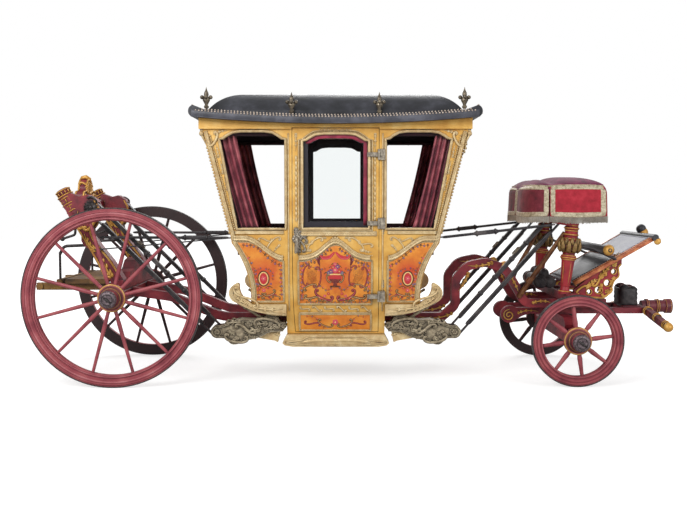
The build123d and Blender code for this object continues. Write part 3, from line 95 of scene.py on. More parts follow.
def add(tree, kind, inputs=None, stops=(), **settings):
    """Add a node, set its properties and a ramp's (position, colour code) stops, and fill its
    inputs or link them. A node given as an input stands for its first output."""
    node = tree.nodes.new(kind)
    for key, value in settings.items():
        setattr(node, key, value)
    while stops and len(node.color_ramp.elements) < len(stops):
        node.color_ramp.elements.new(0.5)
    for number, (position, code) in enumerate(stops):
        node.color_ramp.elements[number].position = position
        node.color_ramp.elements[number].color = paint(code)
    for key, value in (inputs or {}).items():
        if isinstance(value, bpy.types.Node):
            value = value.outputs[0]
        if isinstance(value, bpy.types.NodeSocket):
            tree.links.new(value, node.inputs[key])
        else:
            node.inputs[key].default_value = value
    return node


def new_material(name):
    """An empty material, its tree, and Object coordinates, which lie on the piece in metres."""
    material = bpy.data.materials.new(name)
    material.use_nodes = True
    tree = material.node_tree
    tree.nodes.clear()
    return material, tree, add(tree, "ShaderNodeTexCoord").outputs["Object"]


def surface(tree, colour, rough, metal=0.0, relief=None, depth_mm=1.0, strength=1.0, **extra):
    """The shader and the output, with a relief depth_mm deep under the light."""
    inputs = {"Base Color": colour, "Roughness": rough, "Metallic": metal}
    if relief is not None:
        inputs["Normal"] = add(tree, "ShaderNodeBump", {
            "Height": relief, "Distance": depth_mm / 1000.0, "Strength": strength})
    inputs.update(extra)
    shader = add(tree, "ShaderNodeBsdfPrincipled", inputs)
    add(tree, "ShaderNodeOutputMaterial", {"Surface": shader})


def stain(tree, colour, code, cover, edges):
    """Another colour over the first where cover passes from edges[0] to edges[1], with the
    shares from edges[2] to edges[3]."""
    share = add(tree, "ShaderNodeMapRange", {0: cover, 1: edges[0], 2: edges[1],
                                             3: edges[2], 4: edges[3]})
    return add(tree, "ShaderNodeMix", {0: share, 6: colour, 7: paint(code)}, data_type="RGBA").outputs[2]


def seen_direct(tree):
    """1 for what the camera sees itself or through glass, 0 for light that bounces."""
    rays = add(tree, "ShaderNodeLightPath").outputs
    return add(tree, "ShaderNodeMath", {0: rays["Is Camera Ray"], 1: rays["Is Transmission Ray"]},
               operation="MAXIMUM")


def lacquered_oak(name, dark, mid, light, worn, inner_shade=0.0):
    """Lacquer brushed on carriage timber: streaks in the grain, chalky worn patches, and painted shade in its
    hollows.
    Its last argument paints shade, nearly black, on the faces of a wheel that look at the carriage."""
    material, tree, place = new_material(name)
    patches = add(tree, "ShaderNodeTexNoise", {"Vector": place, "Scale": 1000 / 160, "Detail": 5.0,
                                               "Roughness": 0.55})
    streaks = add(tree, "ShaderNodeTexNoise", {"Vector": place, "Scale": 1000 / 22, "Detail": 6.0,
                                               "Roughness": 0.65})
    hollow = add(tree, "ShaderNodeAmbientOcclusion", {"Distance": 0.04}, samples=6).outputs["AO"]
    colour = add(tree, "ShaderNodeValToRGB", {0: patches}, ((0.26, dark), (0.48, mid), (0.72, light)))
    colour = stain(tree, colour, worn, streaks, (0.62, 0.78, 0.0, 0.7))
    # painted shade: the dark colour laid in hollows, found by ambient occlusion
    colour = stain(tree, colour, dark, hollow, (0.9, 0.45, 0.0, 1.0))
    if inner_shade:
        facing = add(tree, "ShaderNodeNewGeometry").outputs["Normal"]
        facing = add(tree, "ShaderNodeSeparateXYZ", {0: facing}).outputs["Y"]
        beside = add(tree, "ShaderNodeSeparateXYZ", {0: place}).outputs["Y"]
        away = add(tree, "ShaderNodeMath", {0: facing, 1: beside}, operation="MULTIPLY")
        # painted shade: nearly black on the faces that look towards the carriage
        colour = stain(tree, colour, "#120A0C", away, (-0.15, -0.55, 0.0, inner_shade))
    rough = add(tree, "ShaderNodeMapRange", {0: streaks, 1: 0.3, 2: 0.7, 3: 0.38, 4: 0.62})
    surface(tree, colour, rough, 0.0, streaks, 0.8)
    return material


def aged_gilding(name, deep, mid, light, metal=0.35, hollow_shade="#3A2A1C", hollow_shade_reach=0.012, patch_mm=60,
                 hollow_shade_from=0.85, lined_in_shade=False):
    """Gold leaf on carved limewood, in lighter and darker patches, with painted shade in its hollows.
    Lined wood is covered in velvet where it looks into the cabin, its near-black tone painted shade."""
    material, tree, place = new_material(name)
    patches = add(tree, "ShaderNodeTexNoise", {"Vector": place, "Scale": 1000 / patch_mm, "Detail": 5.0,
                                               "Roughness": 0.6})
    grit = add(tree, "ShaderNodeTexNoise", {"Vector": place, "Scale": 1000 / 7, "Detail": 4.0,
                                            "Roughness": 0.55})
    hollow = add(tree, "ShaderNodeAmbientOcclusion", {"Distance": hollow_shade_reach}, samples=6).outputs["AO"]
    colour = add(tree, "ShaderNodeValToRGB", {0: patches}, ((0.28, deep), (0.50, mid), (0.74, light)))
    # painted shade: a dark colour laid in the carving's hollows, found by ambient occlusion
    colour = stain(tree, colour, hollow_shade, hollow, (hollow_shade_from, hollow_shade_from - 0.6, 0.0, 1.0))
    if lined_in_shade:
        parts = add(tree, "ShaderNodeSeparateXYZ", {0: place}).outputs
        across = add(tree, "ShaderNodeMath", {0: parts["Y"]}, operation="ABSOLUTE")
        ahead = add(tree, "ShaderNodeMath", {0: parts["X"], 1: CABIN_X}, operation="SUBTRACT")
        ahead = add(tree, "ShaderNodeMath", {0: ahead}, operation="ABSOLUTE")
        within = 1.0
        for reach, edge, full in ((across, CABIN_Y - 0.014, CABIN_Y - 0.017),
                                  (ahead, TOP_HALF - 0.030, TOP_HALF - 0.035),
                                  (parts["Z"], BELT_Z, BELT_Z + 0.01)):
            share = add(tree, "ShaderNodeMapRange", {0: reach, 1: edge, 2: full})
            within = add(tree, "ShaderNodeMath", {0: within, 1: share}, operation="MULTIPLY")
        # painted shade: the inside of the cabin, where the walls are lined, is laid near black
        colour = stain(tree, colour, "#23101A", within, (0.0, 1.0, 0.0, 1.0))
    rough = add(tree, "ShaderNodeMapRange", {0: grit, 1: 0.3, 2: 0.7, 3: 0.32, 4: 0.55})
    surface(tree, colour, rough, metal, grit, 0.5)
    return material


def oil_painted(name, deep, mid, light, glow):
    """Varnished oil colour: soft clouds with fine dark specks, glowing red behind each motif."""
    material, tree, place = new_material(name)
    clouds = add(tree, "ShaderNodeTexNoise", {"Vector": place, "Scale": 1000 / 130, "Detail": 5.0,
                                              "Roughness": 0.6})
    fine = add(tree, "ShaderNodeTexNoise", {"Vector": place, "Scale": 1000 / 9, "Detail": 5.0,
                                            "Roughness": 0.6})
    colour = add(tree, "ShaderNodeValToRGB", {0: clouds}, ((0.30, deep), (0.5, mid), (0.70, light)))
    colour = stain(tree, colour, deep, fine, (0.55, 0.75, 0.0, 0.35))
    # distance from the middle of the door's motif or of a quarter's medallion
    parts = add(tree, "ShaderNodeSeparateXYZ", {0: place}).outputs
    along_x = add(tree, "ShaderNodeMath", {0: parts["X"], 1: CABIN_X}, operation="SUBTRACT")
    along_x = add(tree, "ShaderNodeMath", {0: along_x}, operation="ABSOLUTE")
    quarter = add(tree, "ShaderNodeMath", {0: along_x, 1: MEDALLION_X}, operation="SUBTRACT")
    quarter = add(tree, "ShaderNodeMath", {0: quarter}, operation="ABSOLUTE")
    nearest = add(tree, "ShaderNodeMath", {0: along_x, 1: quarter}, operation="MINIMUM")
    up = add(tree, "ShaderNodeMath", {0: parts["Z"], 1: MOTIF_Z}, operation="SUBTRACT")
    flat = add(tree, "ShaderNodeCombineXYZ", {"X": nearest, "Z": up})
    reach = add(tree, "ShaderNodeVectorMath", {0: flat}, operation="LENGTH").outputs["Value"]
    colour = stain(tree, colour, glow, reach, (0.030, 0.185, 0.9, 0.0))
    surface(tree, colour, 0.42, 0.0, fine, 0.3, **{"Coat Weight": 0.25, "Coat Roughness": 0.3})
    return material


def brushed_stroke(name, code, rough=0.5):
    """A brush stroke of oil colour, thinner in places so that the ground warms it."""
    material, tree, place = new_material(name)
    fine = add(tree, "ShaderNodeTexNoise", {"Vector": place, "Scale": 1000 / 12, "Detail": 4.0,
                                            "Roughness": 0.55})
    surface(tree, stain(tree, paint(code), "#B5652A", fine, (0.4, 0.7, 0.0, 0.45)), rough)
    return material


def waxed_leather(name, dark, mid, light, grain_mm=3.0):
    """Waxed harness leather: a pebbled grain, greyer in worn patches."""
    material, tree, place = new_material(name)
    clouds = add(tree, "ShaderNodeTexNoise", {"Vector": place, "Scale": 1000 / 220, "Detail": 6.0,
                                              "Roughness": 0.65})
    cells = add(tree, "ShaderNodeTexVoronoi", {"Vector": place, "Scale": 1000 / grain_mm},
                feature="DISTANCE_TO_EDGE")
    colour = add(tree, "ShaderNodeValToRGB", {0: clouds}, ((0.34, dark), (0.52, mid), (0.72, light)))
    rough = add(tree, "ShaderNodeMapRange", {0: clouds, 1: 0.3, 2: 0.7, 3: 0.34, 4: 0.54})
    surface(tree, colour, rough, 0.0, cells, 0.5, 0.5)
    return material


def velvet(name, deep, mid, light):
    """Silk velvet: a short pile, crushed in soft patches, with a sheen at its edges."""
    material, tree, place = new_material(name)
    crush = add(tree, "ShaderNodeTexNoise", {"Vector": place, "Scale": 1000 / 70, "Detail": 5.0,
                                             "Roughness": 0.6})
    pile = add(tree, "ShaderNodeTexNoise", {"Vector": place, "Scale": 1000 / 2.2, "Detail": 2.0,
                                            "Roughness": 0.55})
    colour = add(tree, "ShaderNodeValToRGB", {0: crush}, ((0.32, deep), (0.5, mid), (0.70, light)))
    surface(tree, colour, 0.85, 0.0, pile, 0.6, 0.6, **{"Sheen Weight": 0.12, "Sheen Roughness": 0.4})
    return material


def silk_damask(name, deep, mid, light):
    """Curtain silk: fine vertical ribs, a satin gloss, and painted shade in its folds."""
    material, tree, place = new_material(name)
    clouds = add(tree, "ShaderNodeTexNoise", {"Vector": place, "Scale": 1000 / 110, "Detail": 4.0,
                                              "Roughness": 0.55})
    ribs = add(tree, "ShaderNodeTexWave", {"Vector": place, "Scale": 60.0, "Distortion": 2.5,
                                           "Detail": 2.0}, bands_direction="X").outputs["Fac"]
    hollow = add(tree, "ShaderNodeAmbientOcclusion", {"Distance": 0.045}, samples=6).outputs["AO"]
    colour = add(tree, "ShaderNodeValToRGB", {0: clouds}, ((0.30, deep), (0.5, mid), (0.72, light)))
    # painted shade: a dark colour laid in the folds, found by ambient occlusion
    colour = stain(tree, colour, "#240C14", hollow, (0.92, 0.45, 0.0, 0.9))
    surface(tree, colour, 0.5, 0.0, ribs, 0.4, 0.4, **{"Sheen Weight": 0.25, "Sheen Roughness": 0.35})
    return material


def silver_braid(name):
    """Woven galloon of silver thread and cream silk: a small uneven weave, tarnished grey."""
    material, tree, place = new_material(name)
    weave = add(tree, "ShaderNodeTexVoronoi", {"Vector": place, "Scale": 140.0})
    clouds = add(tree, "ShaderNodeTexNoise", {"Vector": place, "Scale": 1000 / 26, "Detail": 4.0,
                                              "Roughness": 0.55})
    colour = add(tree, "ShaderNodeValToRGB", {0: clouds}, (
        (0.30, "#8F8168"), (0.5, "#CBBE9F"), (0.68, "#E4DAC0")))
    colour = stain(tree, colour, "#6E6250", weave, (0.25, 0.6, 0.0, 0.45))
    surface(tree, colour, 0.5, 0.15, weave)
    return material


def forged_iron(name, dark, light):
    """Wrought iron with a smith's hammered skin, lighter on its rubbed facets."""
    material, tree, place = new_material(name)
    dents = add(tree, "ShaderNodeTexNoise", {"Vector": place, "Scale": 1000 / 14, "Detail": 4.0,
                                             "Roughness": 0.55})
    colour = add(tree, "ShaderNodeValToRGB", {0: dents}, ((0.35, dark), (0.7, light)))
    rough = add(tree, "ShaderNodeMapRange", {0: dents, 1: 0.3, 2: 0.7, 3: 0.4, 4: 0.6})
    surface(tree, colour, rough, 0.6, dents)
    return material


def window_pane(name):
    """Thin blown glass: nearly clear, with a slight ripple."""
    material, tree, place = new_material(name)
    ripple = add(tree, "ShaderNodeTexNoise", {"Vector": place, "Scale": 1000 / 180, "Detail": 1.0,
                                              "Roughness": 0.55})
    wavy = add(tree, "ShaderNodeBump", {"Height": ripple, "Distance": 0.0006, "Strength": 0.2})
    shader = add(tree, "ShaderNodeBsdfPrincipled", {
        "Base Color": (1, 1, 1, 1), "Roughness": 0.02, "Transmission Weight": 1.0, "IOR": 1.02,
        "Normal": wavy})
    clear = add(tree, "ShaderNodeBsdfTransparent", {"Color": (0.97, 0.98, 0.98, 1)})
    mixed = add(tree, "ShaderNodeMixShader", {0: 0.12, 1: clear, 2: shader})
    add(tree, "ShaderNodeOutputMaterial", {"Surface": mixed})
    return material


# the wheels' lacquer, with painted shade on their inner faces
RED = lacquered_oak("red_lacquered_oak", "#6E2632", "#96424A", "#AA585A", "#C08880", 0.94)
# a lighter copy of the wheels' lacquer: painted highlight lines on the rims' mouldings
RIM_HIGHLIGHT_LACQUER = lacquered_oak("rose_highlight_lacquer_moulding", "#863640", "#A4545A", "#B87074", "#CC9890")
UMBER_RED = lacquered_oak("brown_lacquered_nave", "#3A1C1E", "#6A3A3A", "#84504C", "#9C7468")
DARK_RED = lacquered_oak("dark_red_lacquer", "#38101A", "#741E2A", "#9C3038", "#AC5A58")
BRIGHT_RED = lacquered_oak("bright_red_lacquer", "#5A121C", "#941C28", "#AE2C30", "#C46050")
OCHRE = lacquered_oak("ochre_lacquered_board", "#2E1E12", "#765224", "#A47C38", "#C4A060")
BODY_GOLD = aged_gilding("yellow_gilt_body", "#CC9440", "#E0AE56", "#EEC87C", 0.12, "#7A5020", 0.016, 170)
# the body's gilding, with painted shade on its faces inside the cabin
GOLD_LINED_IN_SHADE = aged_gilding("gilt_body_lined_in_shade", "#CC9440", "#E0AE56", "#EEC87C", 0.12, "#7A5020", 0.016,
                          170, lined_in_shade=True)
GOLD = aged_gilding("aged_gold_leaf", "#A8742E", "#CC9642", "#E2B868", 0.25, "#5A3818", 0.012)
PALE_GOLD = aged_gilding("pale_gold_leaf", "#BC9C6E", "#D4B988", "#E8D4A8", 0.18, "#5A4028", 0.014)
HUB_GOLD = aged_gilding("wheel_gold_leaf", "#A07038", "#C4924E", "#DDB270", 0.3, "#4A2A1C", 0.01)
# the brackets' gilding, with the deepest painted shade in its carving
GREY_GOLD = aged_gilding("grey_worn_gilding", "#766A56", "#9C8E76", "#CCBE9E", 0.25, "#16120E", 0.030, 34,
                         0.97)
SILVER_GILT = aged_gilding("tarnished_silver_gilt", "#6A6258", "#9A9082", "#CCC2AC", 0.5, "#1E1A16", 0.018,
                           24, 0.95)
DARK_GILT = aged_gilding("dark_bronze_gilding", "#4E3A22", "#86683A", "#B8945A", 0.4, "#1C120C", 0.020, 30,
                         0.95)
HINGE = aged_gilding("rust_brown_gilding", "#4A2818", "#74482C", "#A07448", 0.3, "#241410")
COPPER = aged_gilding("copper_red_gilding", "#8E3E2C", "#BE7046", "#D69C5E", 0.25, "#3A1A14")
BRONZE = aged_gilding("cast_bronze", "#4A4238", "#6E6456", "#968A74", 0.6, "#241E18")
ORANGE = oil_painted("orange_oil_panel", "#C46420", "#DE8428", "#EA9E3C", "#C8341F")
WINE_STROKE = brushed_stroke("wine_brush_stroke", "#5E1626")
RED_STROKE = brushed_stroke("red_brush_stroke", "#C22638")
GREEN_STROKE = brushed_stroke("olive_brush_stroke", "#4A4622")
PALE_STROKE = brushed_stroke("pale_brush_stroke", "#F0CC86")
ROOF_LEATHER = waxed_leather("black_roof_leather", "#1B1C20", "#2B2C32", "#45464E", 5.0)
EDGE_LEATHER = waxed_leather("grey_edge_leather", "#34353C", "#4A4B54", "#676872", 4.0)
STRAP_LEATHER = waxed_leather("harness_leather", "#171416", "#2C272A", "#57504F", 3.0)
GREY_HIDE = waxed_leather("blue_grey_hide", "#4A4B5C", "#5E5F72", "#7C7D8E", 4.0)
# pale thread: stitching that also paints the highlights along the straps' edges
STITCH_AND_HIGHLIGHT = waxed_leather("linen_thread_and_highlight", "#8A7C6A", "#AA9C86", "#C8BCA4", 1.0)
VELVET = velvet("crimson_velvet", "#8E1424", "#A41C2E", "#B42A3A")
BACK_VELVET = velvet("deep_crimson_velvet", "#4E1420", "#6A1C2A", "#7E2A38")
DARK_VELVET = velvet("plum_velvet", "#4E1030", "#6A1640", "#7E244E")
# velvet lining, its near-black tone painted shade inside the cabin
LINING_IN_SHADE = velvet("lining_velvet_in_shade", "#1E0E14", "#2E141C", "#401E28")
PELMET = silk_damask("crimson_pelmet_silk", "#6A1228", "#8E1D3A", "#AE3450")
FRINGE_SILK = silk_damask("grey_fringe_silk", "#8A8274", "#B0A89A", "#D2CCBE")
SILK = silk_damask("wine_curtain_silk", "#6A2434", "#98424E", "#BE6A70")
BRAID = silver_braid("silver_braid")
IRON = forged_iron("forged_iron", "#2A2627", "#5A5454")
CAP_IRON = forged_iron("rubbed_cap_iron", "#46393E", "#8A7C80")
NAIL = forged_iron("tinned_nail_heads", "#A8988C", "#DACCBE")
PANE = window_pane("window_glass")
SASH = lacquered_oak("dark_sash_wood", "#141016", "#1E1A24", "#2A2530", "#3A3440")
MAROON = lacquered_oak("maroon_carving", "#2E0F16", "#5C1C28", "#7C2C34", "#965648")

NODE_FINISH = {
    RED: ["wheel_rear_left_wood", "wheel_rear_right_wood", "wheel_front_left_wood",
          "wheel_front_right_wood"],
    DARK_RED: ["perches", "rear_axle", "fore_axle", "fore_bolster", "futchells", "front_transom",
               "driver_seat", "rear_bolster", "benches", "rear_standards", "rear_crest"],
    BRIGHT_RED: ["front_standards", "footboard_brackets"],
    BODY_GOLD: ["end_wall_front", "end_wall_rear", "step_boxes"],
    GOLD_LINED_IN_SHADE: ["side_left", "side_right", "door_left_door", "door_right_door", "cornice"],
    PALE_GOLD: ["sill_scrolls", "door_steps", "bracket_wedges"],
    OCHRE: ["rear_platform"],
    HINGE: ["front_stays"],
    SILVER_GILT: ["door_left_fittings", "door_right_fittings", "hinge_pins"],
    GREY_GOLD: ["strap_brackets"],
    BRONZE: ["finials"],
    ROOF_LEATHER: ["roof", "footboard"],
    STRAP_LEATHER: ["main_straps", "check_straps", "foot_rails"],
    IRON: ["wheel_rear_left_irons", "wheel_rear_right_irons", "wheel_front_left_irons",
           "wheel_front_right_irons", "rear_irons"],
    MAROON: ["splinter_bar", "pole_socket"],
    DARK_VELVET: ["cabin_floor"],
    PANE: ["door_left_glass", "door_right_glass"],
    SASH: ["door_left_sash", "door_right_sash"],
}


def dress_nodes():
    for material, names in NODE_FINISH.items():
        for name in names:
            node = NODES[name]
            node.data.materials.clear()
            node.data.materials.append(material)


# Shapes

class Form:
    """Points and faces gathered from several simple shapes into one piece."""

    def __init__(self):
        self.points = []
        self.faces = []

    def join(self, points, faces):
        start = len(self.points)
        self.points.extend(tuple(p) for p in points)
        self.faces.extend(tuple(start + i for i in face) for face in faces)

    def tube(self, path, radii, sides=8, flat=1.0, closed=False):
        """A round or flattened bar along a path of points."""
        path = [Vector(p) for p in path]
        count = len(path)
        radii = [radii] * count if isinstance(radii, (int, float)) else list(radii)
        up = Vector((0, 1, 0))
        rings = []
        for i, point in enumerate(path):
            after = path[(i + 1) % count] if closed else path[min(i + 1, count - 1)]
            before = path[i - 1] if closed else path[max(i - 1, 0)]
            along = (after - before).normalized()
            across = along.cross(up)
            if across.length < 1e-4:
                across = along.cross(Vector((1, 0, 0)))
            across.normalize()
            out = across.cross(along).normalized()
            ring = []
            for k in range(sides):
                turn = 2 * pi * k / sides
                ring.append(point + radii[i] * (cos(turn) * across + flat * sin(turn) * out))
            rings.append(ring)
        points = [p for ring in rings for p in ring]
        faces = []
        last = count if closed else count - 1
        for i in range(last):
            a, b = i * sides, ((i + 1) % count) * sides
            for k in range(sides):
                n = (k + 1) % sides
                faces.append((a + k, a + n, b + n, b + k))
        if not closed:
            faces.append(tuple(range(sides - 1, -1, -1)))
            faces.append(tuple((count - 1) * sides + k for k in range(sides)))
        self.join(points, faces)

    def grid(self, rows, closed_rows=False):
        """A surface through rows of points."""
        wide = len(rows[0])
        points = [p for row in rows for p in row]
        faces = []
        for i in range(len(rows) - 1):
            for k in range(wide if closed_rows else wide - 1):
                n = (k + 1) % wide
                faces.append((i * wide + k, i * wide + n, (i + 1) * wide + n, (i + 1) * wide + k))
        self.join(points, faces)

    def piece(self, name, body, material, slot, smooth=True):
        """The gathered shapes as one object that rides on a body."""
        mesh = bpy.data.meshes.new(name)
        mesh.from_pydata(self.points, [], self.faces)
        shape = bmesh.new()
        shape.from_mesh(mesh)
        bmesh.ops.remove_doubles(shape, verts=shape.verts, dist=1e-6)
        bmesh.ops.recalc_face_normals(shape, faces=shape.faces)
        shape.to_mesh(mesh)
        shape.free()
        for polygon in mesh.polygons:
            polygon.use_smooth = smooth
        return seat(bpy.data.objects.new(name, mesh), body, material, slot)


def seat(piece, body, material, slot):
    """Link a piece, give it its finish and let it ride on its body."""
    if piece.name not in bpy.context.scene.collection.objects:
        bpy.context.scene.collection.objects.link(piece)
    piece.data.materials.clear()
    piece.data.materials.append(material)
    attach(piece, body)
    return piece


def plain_mesh(piece):
    """Apply every modifier of a piece to its mesh."""
    bpy.context.view_layer.update()
    depsgraph = bpy.context.evaluated_depsgraph_get()
    mesh = bpy.data.meshes.new_from_object(piece.evaluated_get(depsgraph))
    piece.modifiers.clear()
    old = piece.data
    piece.data = mesh
    if isinstance(old, bpy.types.Mesh):
        bpy.data.meshes.remove(old)
    return piece


def bell(offset, width):
    """1 at no offset, falling off smoothly on both sides."""
    return 2.718 ** (-(offset / width) ** 2)


def side_y(z):
    """How far the cabin's side stands out at a height."""
    if z >= TURN_UNDER_Z:
        return CABIN_Y
    return CABIN_Y - (TURN_UNDER_R - sqrt(TURN_UNDER_R ** 2 - (TURN_UNDER_Z - z) ** 2))


def on_side(side, x, z, lift=0.0):
    """A point on the cabin's side: side is -1 for the right and 1 for the left."""
    return Vector((CABIN_X + x, side * (side_y(z) + lift), z))


# Drawing on a surface

def smooth(points, per=6, closed=False):
    """A Catmull-Rom curve through 2-D points."""
    count = len(points)
    out = []
    for i in range(count if closed else count - 1):
        if closed:
            p0, p1, p2, p3 = (points[(i + k) % count] for k in (-1, 0, 1, 2))
        else:
            p1, p2 = points[i], points[i + 1]
            p0 = points[i - 1] if i else (2 * p1[0] - p2[0], 2 * p1[1] - p2[1])
            p3 = points[i + 2] if i + 2 < count else (2 * p2[0] - p1[0], 2 * p2[1] - p1[1])
        for k in range(per):
            t = k / per
            out.append(tuple(
                0.5 * (2 * b + (c - a) * t + (2 * a - 5 * b + 4 * c - d) * t * t
                       + (3 * b - a - 3 * c + d) * t ** 3)
                for a, b, c, d in zip(p0, p1, p2, p3)))
    if not closed:
        out.append(tuple(points[-1]))
    return out


def scroll(a, b, middle=1.2, curl=62.0, power=3.0, kind="C", flip=False, count=44):
    """A carved scroll between two volute eyes: its curvature grows towards both ends."""
    steps = 480
    heading = 0.0
    x = z = 0.0
    raw = [(0.0, 0.0, 0.0)]
    metric = 0.0
    for i in range(steps):
        s = 2 * (i + 0.5) / steps - 1
        sign = -1.0 if kind == "S" and s > 0 else 1.0
        bend = sign * (middle + curl * abs(s) ** power) / steps
        heading += bend
        x += cos(heading) / steps
        z += sin(heading) / steps
        metric += 1.0 / steps + 0.12 * abs(bend)
        raw.append((x, z, metric))
    picked = []
    at = 0
    for k in range(count):
        goal = metric * k / (count - 1)
        while at < steps and raw[at][2] < goal:
            at += 1
        picked.append(raw[at][:2])
    if flip:
        picked = [(px, -pz) for px, pz in picked]
    ex, ez = picked[-1]
    span = ex * ex + ez * ez
    dx, dz = b[0] - a[0], b[1] - a[1]
    c = (dx * ex + dz * ez) / span
    s = (dz * ex - dx * ez) / span
    return [(a[0] + c * px - s * pz, a[1] + s * px + c * pz) for px, pz in picked]


PROFILE = ((-1.0, 0.0), (-0.72, 0.72), (0.0, 1.0), (0.72, 0.72), (1.0, 0.0))
CHANNEL = ((-1.0, 0.0), (-0.82, 0.95), (-0.45, 0.9), (0.0, 0.35), (0.45, 0.9), (0.82, 0.95), (1.0, 0.0))


def circle(centre, radius, count=20):
    """Points round a circle in the drawing's own two directions."""
    turns = [2 * pi * k / count for k in range(count)]
    return [(centre[0] + radius * cos(a), centre[1] + radius * sin(a)) for a in turns]


def stroke(form, points, widths, height, place, profile=PROFILE, closed=False):
    """A raised moulding along 2-D points: place(u, v, lift) puts it on its surface."""
    count = len(points)
    if isinstance(widths, (int, float)):
        widths = [widths] * count
    rows = []
    for i, (u, v) in enumerate(points):
        after = points[(i + 1) % count] if closed else points[min(i + 1, count - 1)]
        before = points[i - 1] if closed else points[max(i - 1, 0)]
        tu, tv = after[0] - before[0], after[1] - before[1]
        run = hypot(tu, tv) or 1.0
        nu, nv = tv / run, -tu / run
        half = widths[i] / 2
        high = height * min(1.0, 0.35 + 0.65 * widths[i] / max(widths))
        rows.append([place(u + nu * half * a, v + nv * half * a, high * b - (0.001 if b == 0 else 0))
                     for a, b in profile])
    if closed:
        rows.append(rows[0])
    wide = len(profile)
    start = [p for row in rows for p in row]
    faces = []
    for i in range(len(rows) - 1):
        for k in range(wide):
            n = (k + 1) % wide
            faces.append((i * wide + k, i * wide + n, (i + 1) * wide + n, (i + 1) * wide + k))
    if not closed:
        faces.append(tuple(range(wide - 1, -1, -1)))
        faces.append(tuple((len(rows) - 1) * wide + k for k in range(wide)))
    form.join(start, faces)


def taper(count, thick, ends=0.3, peak=0.5):
    """Widths that swell between thin ends."""
    out = []
    for i in range(count):
        t = i / (count - 1)
        t = t / peak * 0.5 if t < peak else 0.5 + (t - peak) / (1 - peak) * 0.5
        out.append(thick * (ends + (1 - ends) * sin(pi * t) ** 0.7))
    return out


def volute(form, a, b, thick, height, place, **shape):
    """A scroll stroke with a round button in each eye."""
    points = scroll(a, b, **shape)
    stroke(form, points, taper(len(points), thick, 0.28), height, place)
    for eye in (points[0], points[-1]):
        button(form, eye, 0.42 * thick, height * 1.1, place)


def button(form, centre, radius, height, place, sides=8):
    """A small dome on the surface."""
    rows = []
    for share, lift in ((1.0, -0.001), (0.92, 0.45), (0.6, 0.85)):
        high = height * lift if lift > 0 else lift
        rows.append([place(centre[0] + radius * share * cos(2 * pi * k / sides),
                           centre[1] + radius * share * sin(2 * pi * k / sides), high)
                     for k in range(sides)])
    points = [p for row in rows for p in row] + [place(centre[0], centre[1], height)]
    faces = [tuple(range(sides - 1, -1, -1))]
    for i in range(2):
        for k in range(sides):
            n = (k + 1) % sides
            faces.append((i * sides + k, i * sides + n, (i + 1) * sides + n, (i + 1) * sides + k))
    for k in range(sides):
        faces.append((2 * sides + k, 2 * sides + (k + 1) % sides, 3 * sides))
    form.join(points, faces)


def flower(form, centre, radius, height, place, petals=5, turn=0.0):
    """A rosette of small domed petals round a button."""
    for k in range(petals):
        a = turn + 2 * pi * k / petals
        at = (centre[0] + 0.62 * radius * cos(a), centre[1] + 0.62 * radius * sin(a))
        button(form, at, 0.46 * radius, 0.7 * height, place, 6)
    button(form, centre, 0.36 * radius, height, place, 6)


def leaf(form, a, b, width, height, place, bend=0.2, lobes=4):
    """An acanthus leaf from its root to its tip, with curled side lobes."""
    dx, dz = b[0] - a[0], b[1] - a[1]
    mid = ((a[0] + b[0]) / 2 - bend * dz, (a[1] + b[1]) / 2 + bend * dx)
    spine = []
    for i in range(9):
        t = i / 8
        spine.append(tuple((1 - t) ** 2 * p + 2 * t * (1 - t) * m + t * t * q
                           for p, m, q in zip(a, mid, b)))
    stroke(form, spine, [width * w for w in (0.20, 0.26, 0.28, 0.27, 0.25, 0.22, 0.18, 0.12, 0.05)],
           height, place)
    run = hypot(dx, dz)
    for lobe in range(lobes):
        t = 0.04 + 0.80 * lobe / lobes
        i = min(int(t * 8), 7)
        root = spine[i]
        tu, tv = spine[i + 1][0] - root[0], spine[i + 1][1] - root[1]
        heading = atan2(tv, tu)
        reach = width * (0.62 - 0.30 * abs(t - 0.35)) * (1 - 0.35 * t)
        for side in (-1, 1):
            turn = heading + side * radians(62)
            points = []
            x, z = root
            for _ in range(6):
                points.append((x, z))
                x += reach / 5 * cos(turn)
                z += reach / 5 * sin(turn)
                turn -= side * radians(15)
            wide = min(0.30 * width, 0.26 * run)
            stroke(form, points, [wide * w for w in (0.7, 1.0, 1.0, 0.85, 0.6, 0.25)],
                   height * 0.75, place)


def patch(form, columns, rows, shape, lift, rim=0.004):
    """A raised panel: shape(u, v, lift) gives its points, and its edge turns down."""
    us = [0.0, 0.0] + [i / columns for i in range(columns + 1)] + [1.0, 1.0]
    vs = [0.0, 0.0] + [i / rows for i in range(rows + 1)] + [1.0, 1.0]
    grid = []
    for j, v in enumerate(vs):
        row = []
        for i, u in enumerate(us):
            deep = min(i, j, len(us) - 1 - i, len(vs) - 1 - j)
            high = (-0.001, lift * 0.55, lift)[min(deep, 2)]
            inset = (0.0, 0.0, rim)[min(deep, 2)]
            row.append(shape(u, v, high, inset))
        grid.append(row)
    form.grid(grid)


def hoop(form, centre, axis, radius, thick, sides=6, steps=40, flat=1.0):
    """A ring of round section about an axis."""
    axis = Vector(axis).normalized()
    first = axis.cross(Vector((0, 0, 1)))
    if first.length < 1e-3:
        first = axis.cross(Vector((1, 0, 0)))
    first.normalize()
    second = axis.cross(first)
    rows = []
    for i in range(steps + 1):
        a = 2 * pi * (i % steps) / steps
        out = cos(a) * first + sin(a) * second
        rows.append([Vector(centre) + out * (radius + thick * cos(2 * pi * k / sides))
                     + axis * (flat * thick * sin(2 * pi * k / sides)) for k in range(sides)])
    form.grid(rows, closed_rows=True)


def flat_place(y, side):
    """Drawing on an upright face that looks outwards at one distance from the middle."""
    return lambda u, v, lift: Vector((u, side * (y + lift), v))


# Repeated shapes by Geometry Nodes

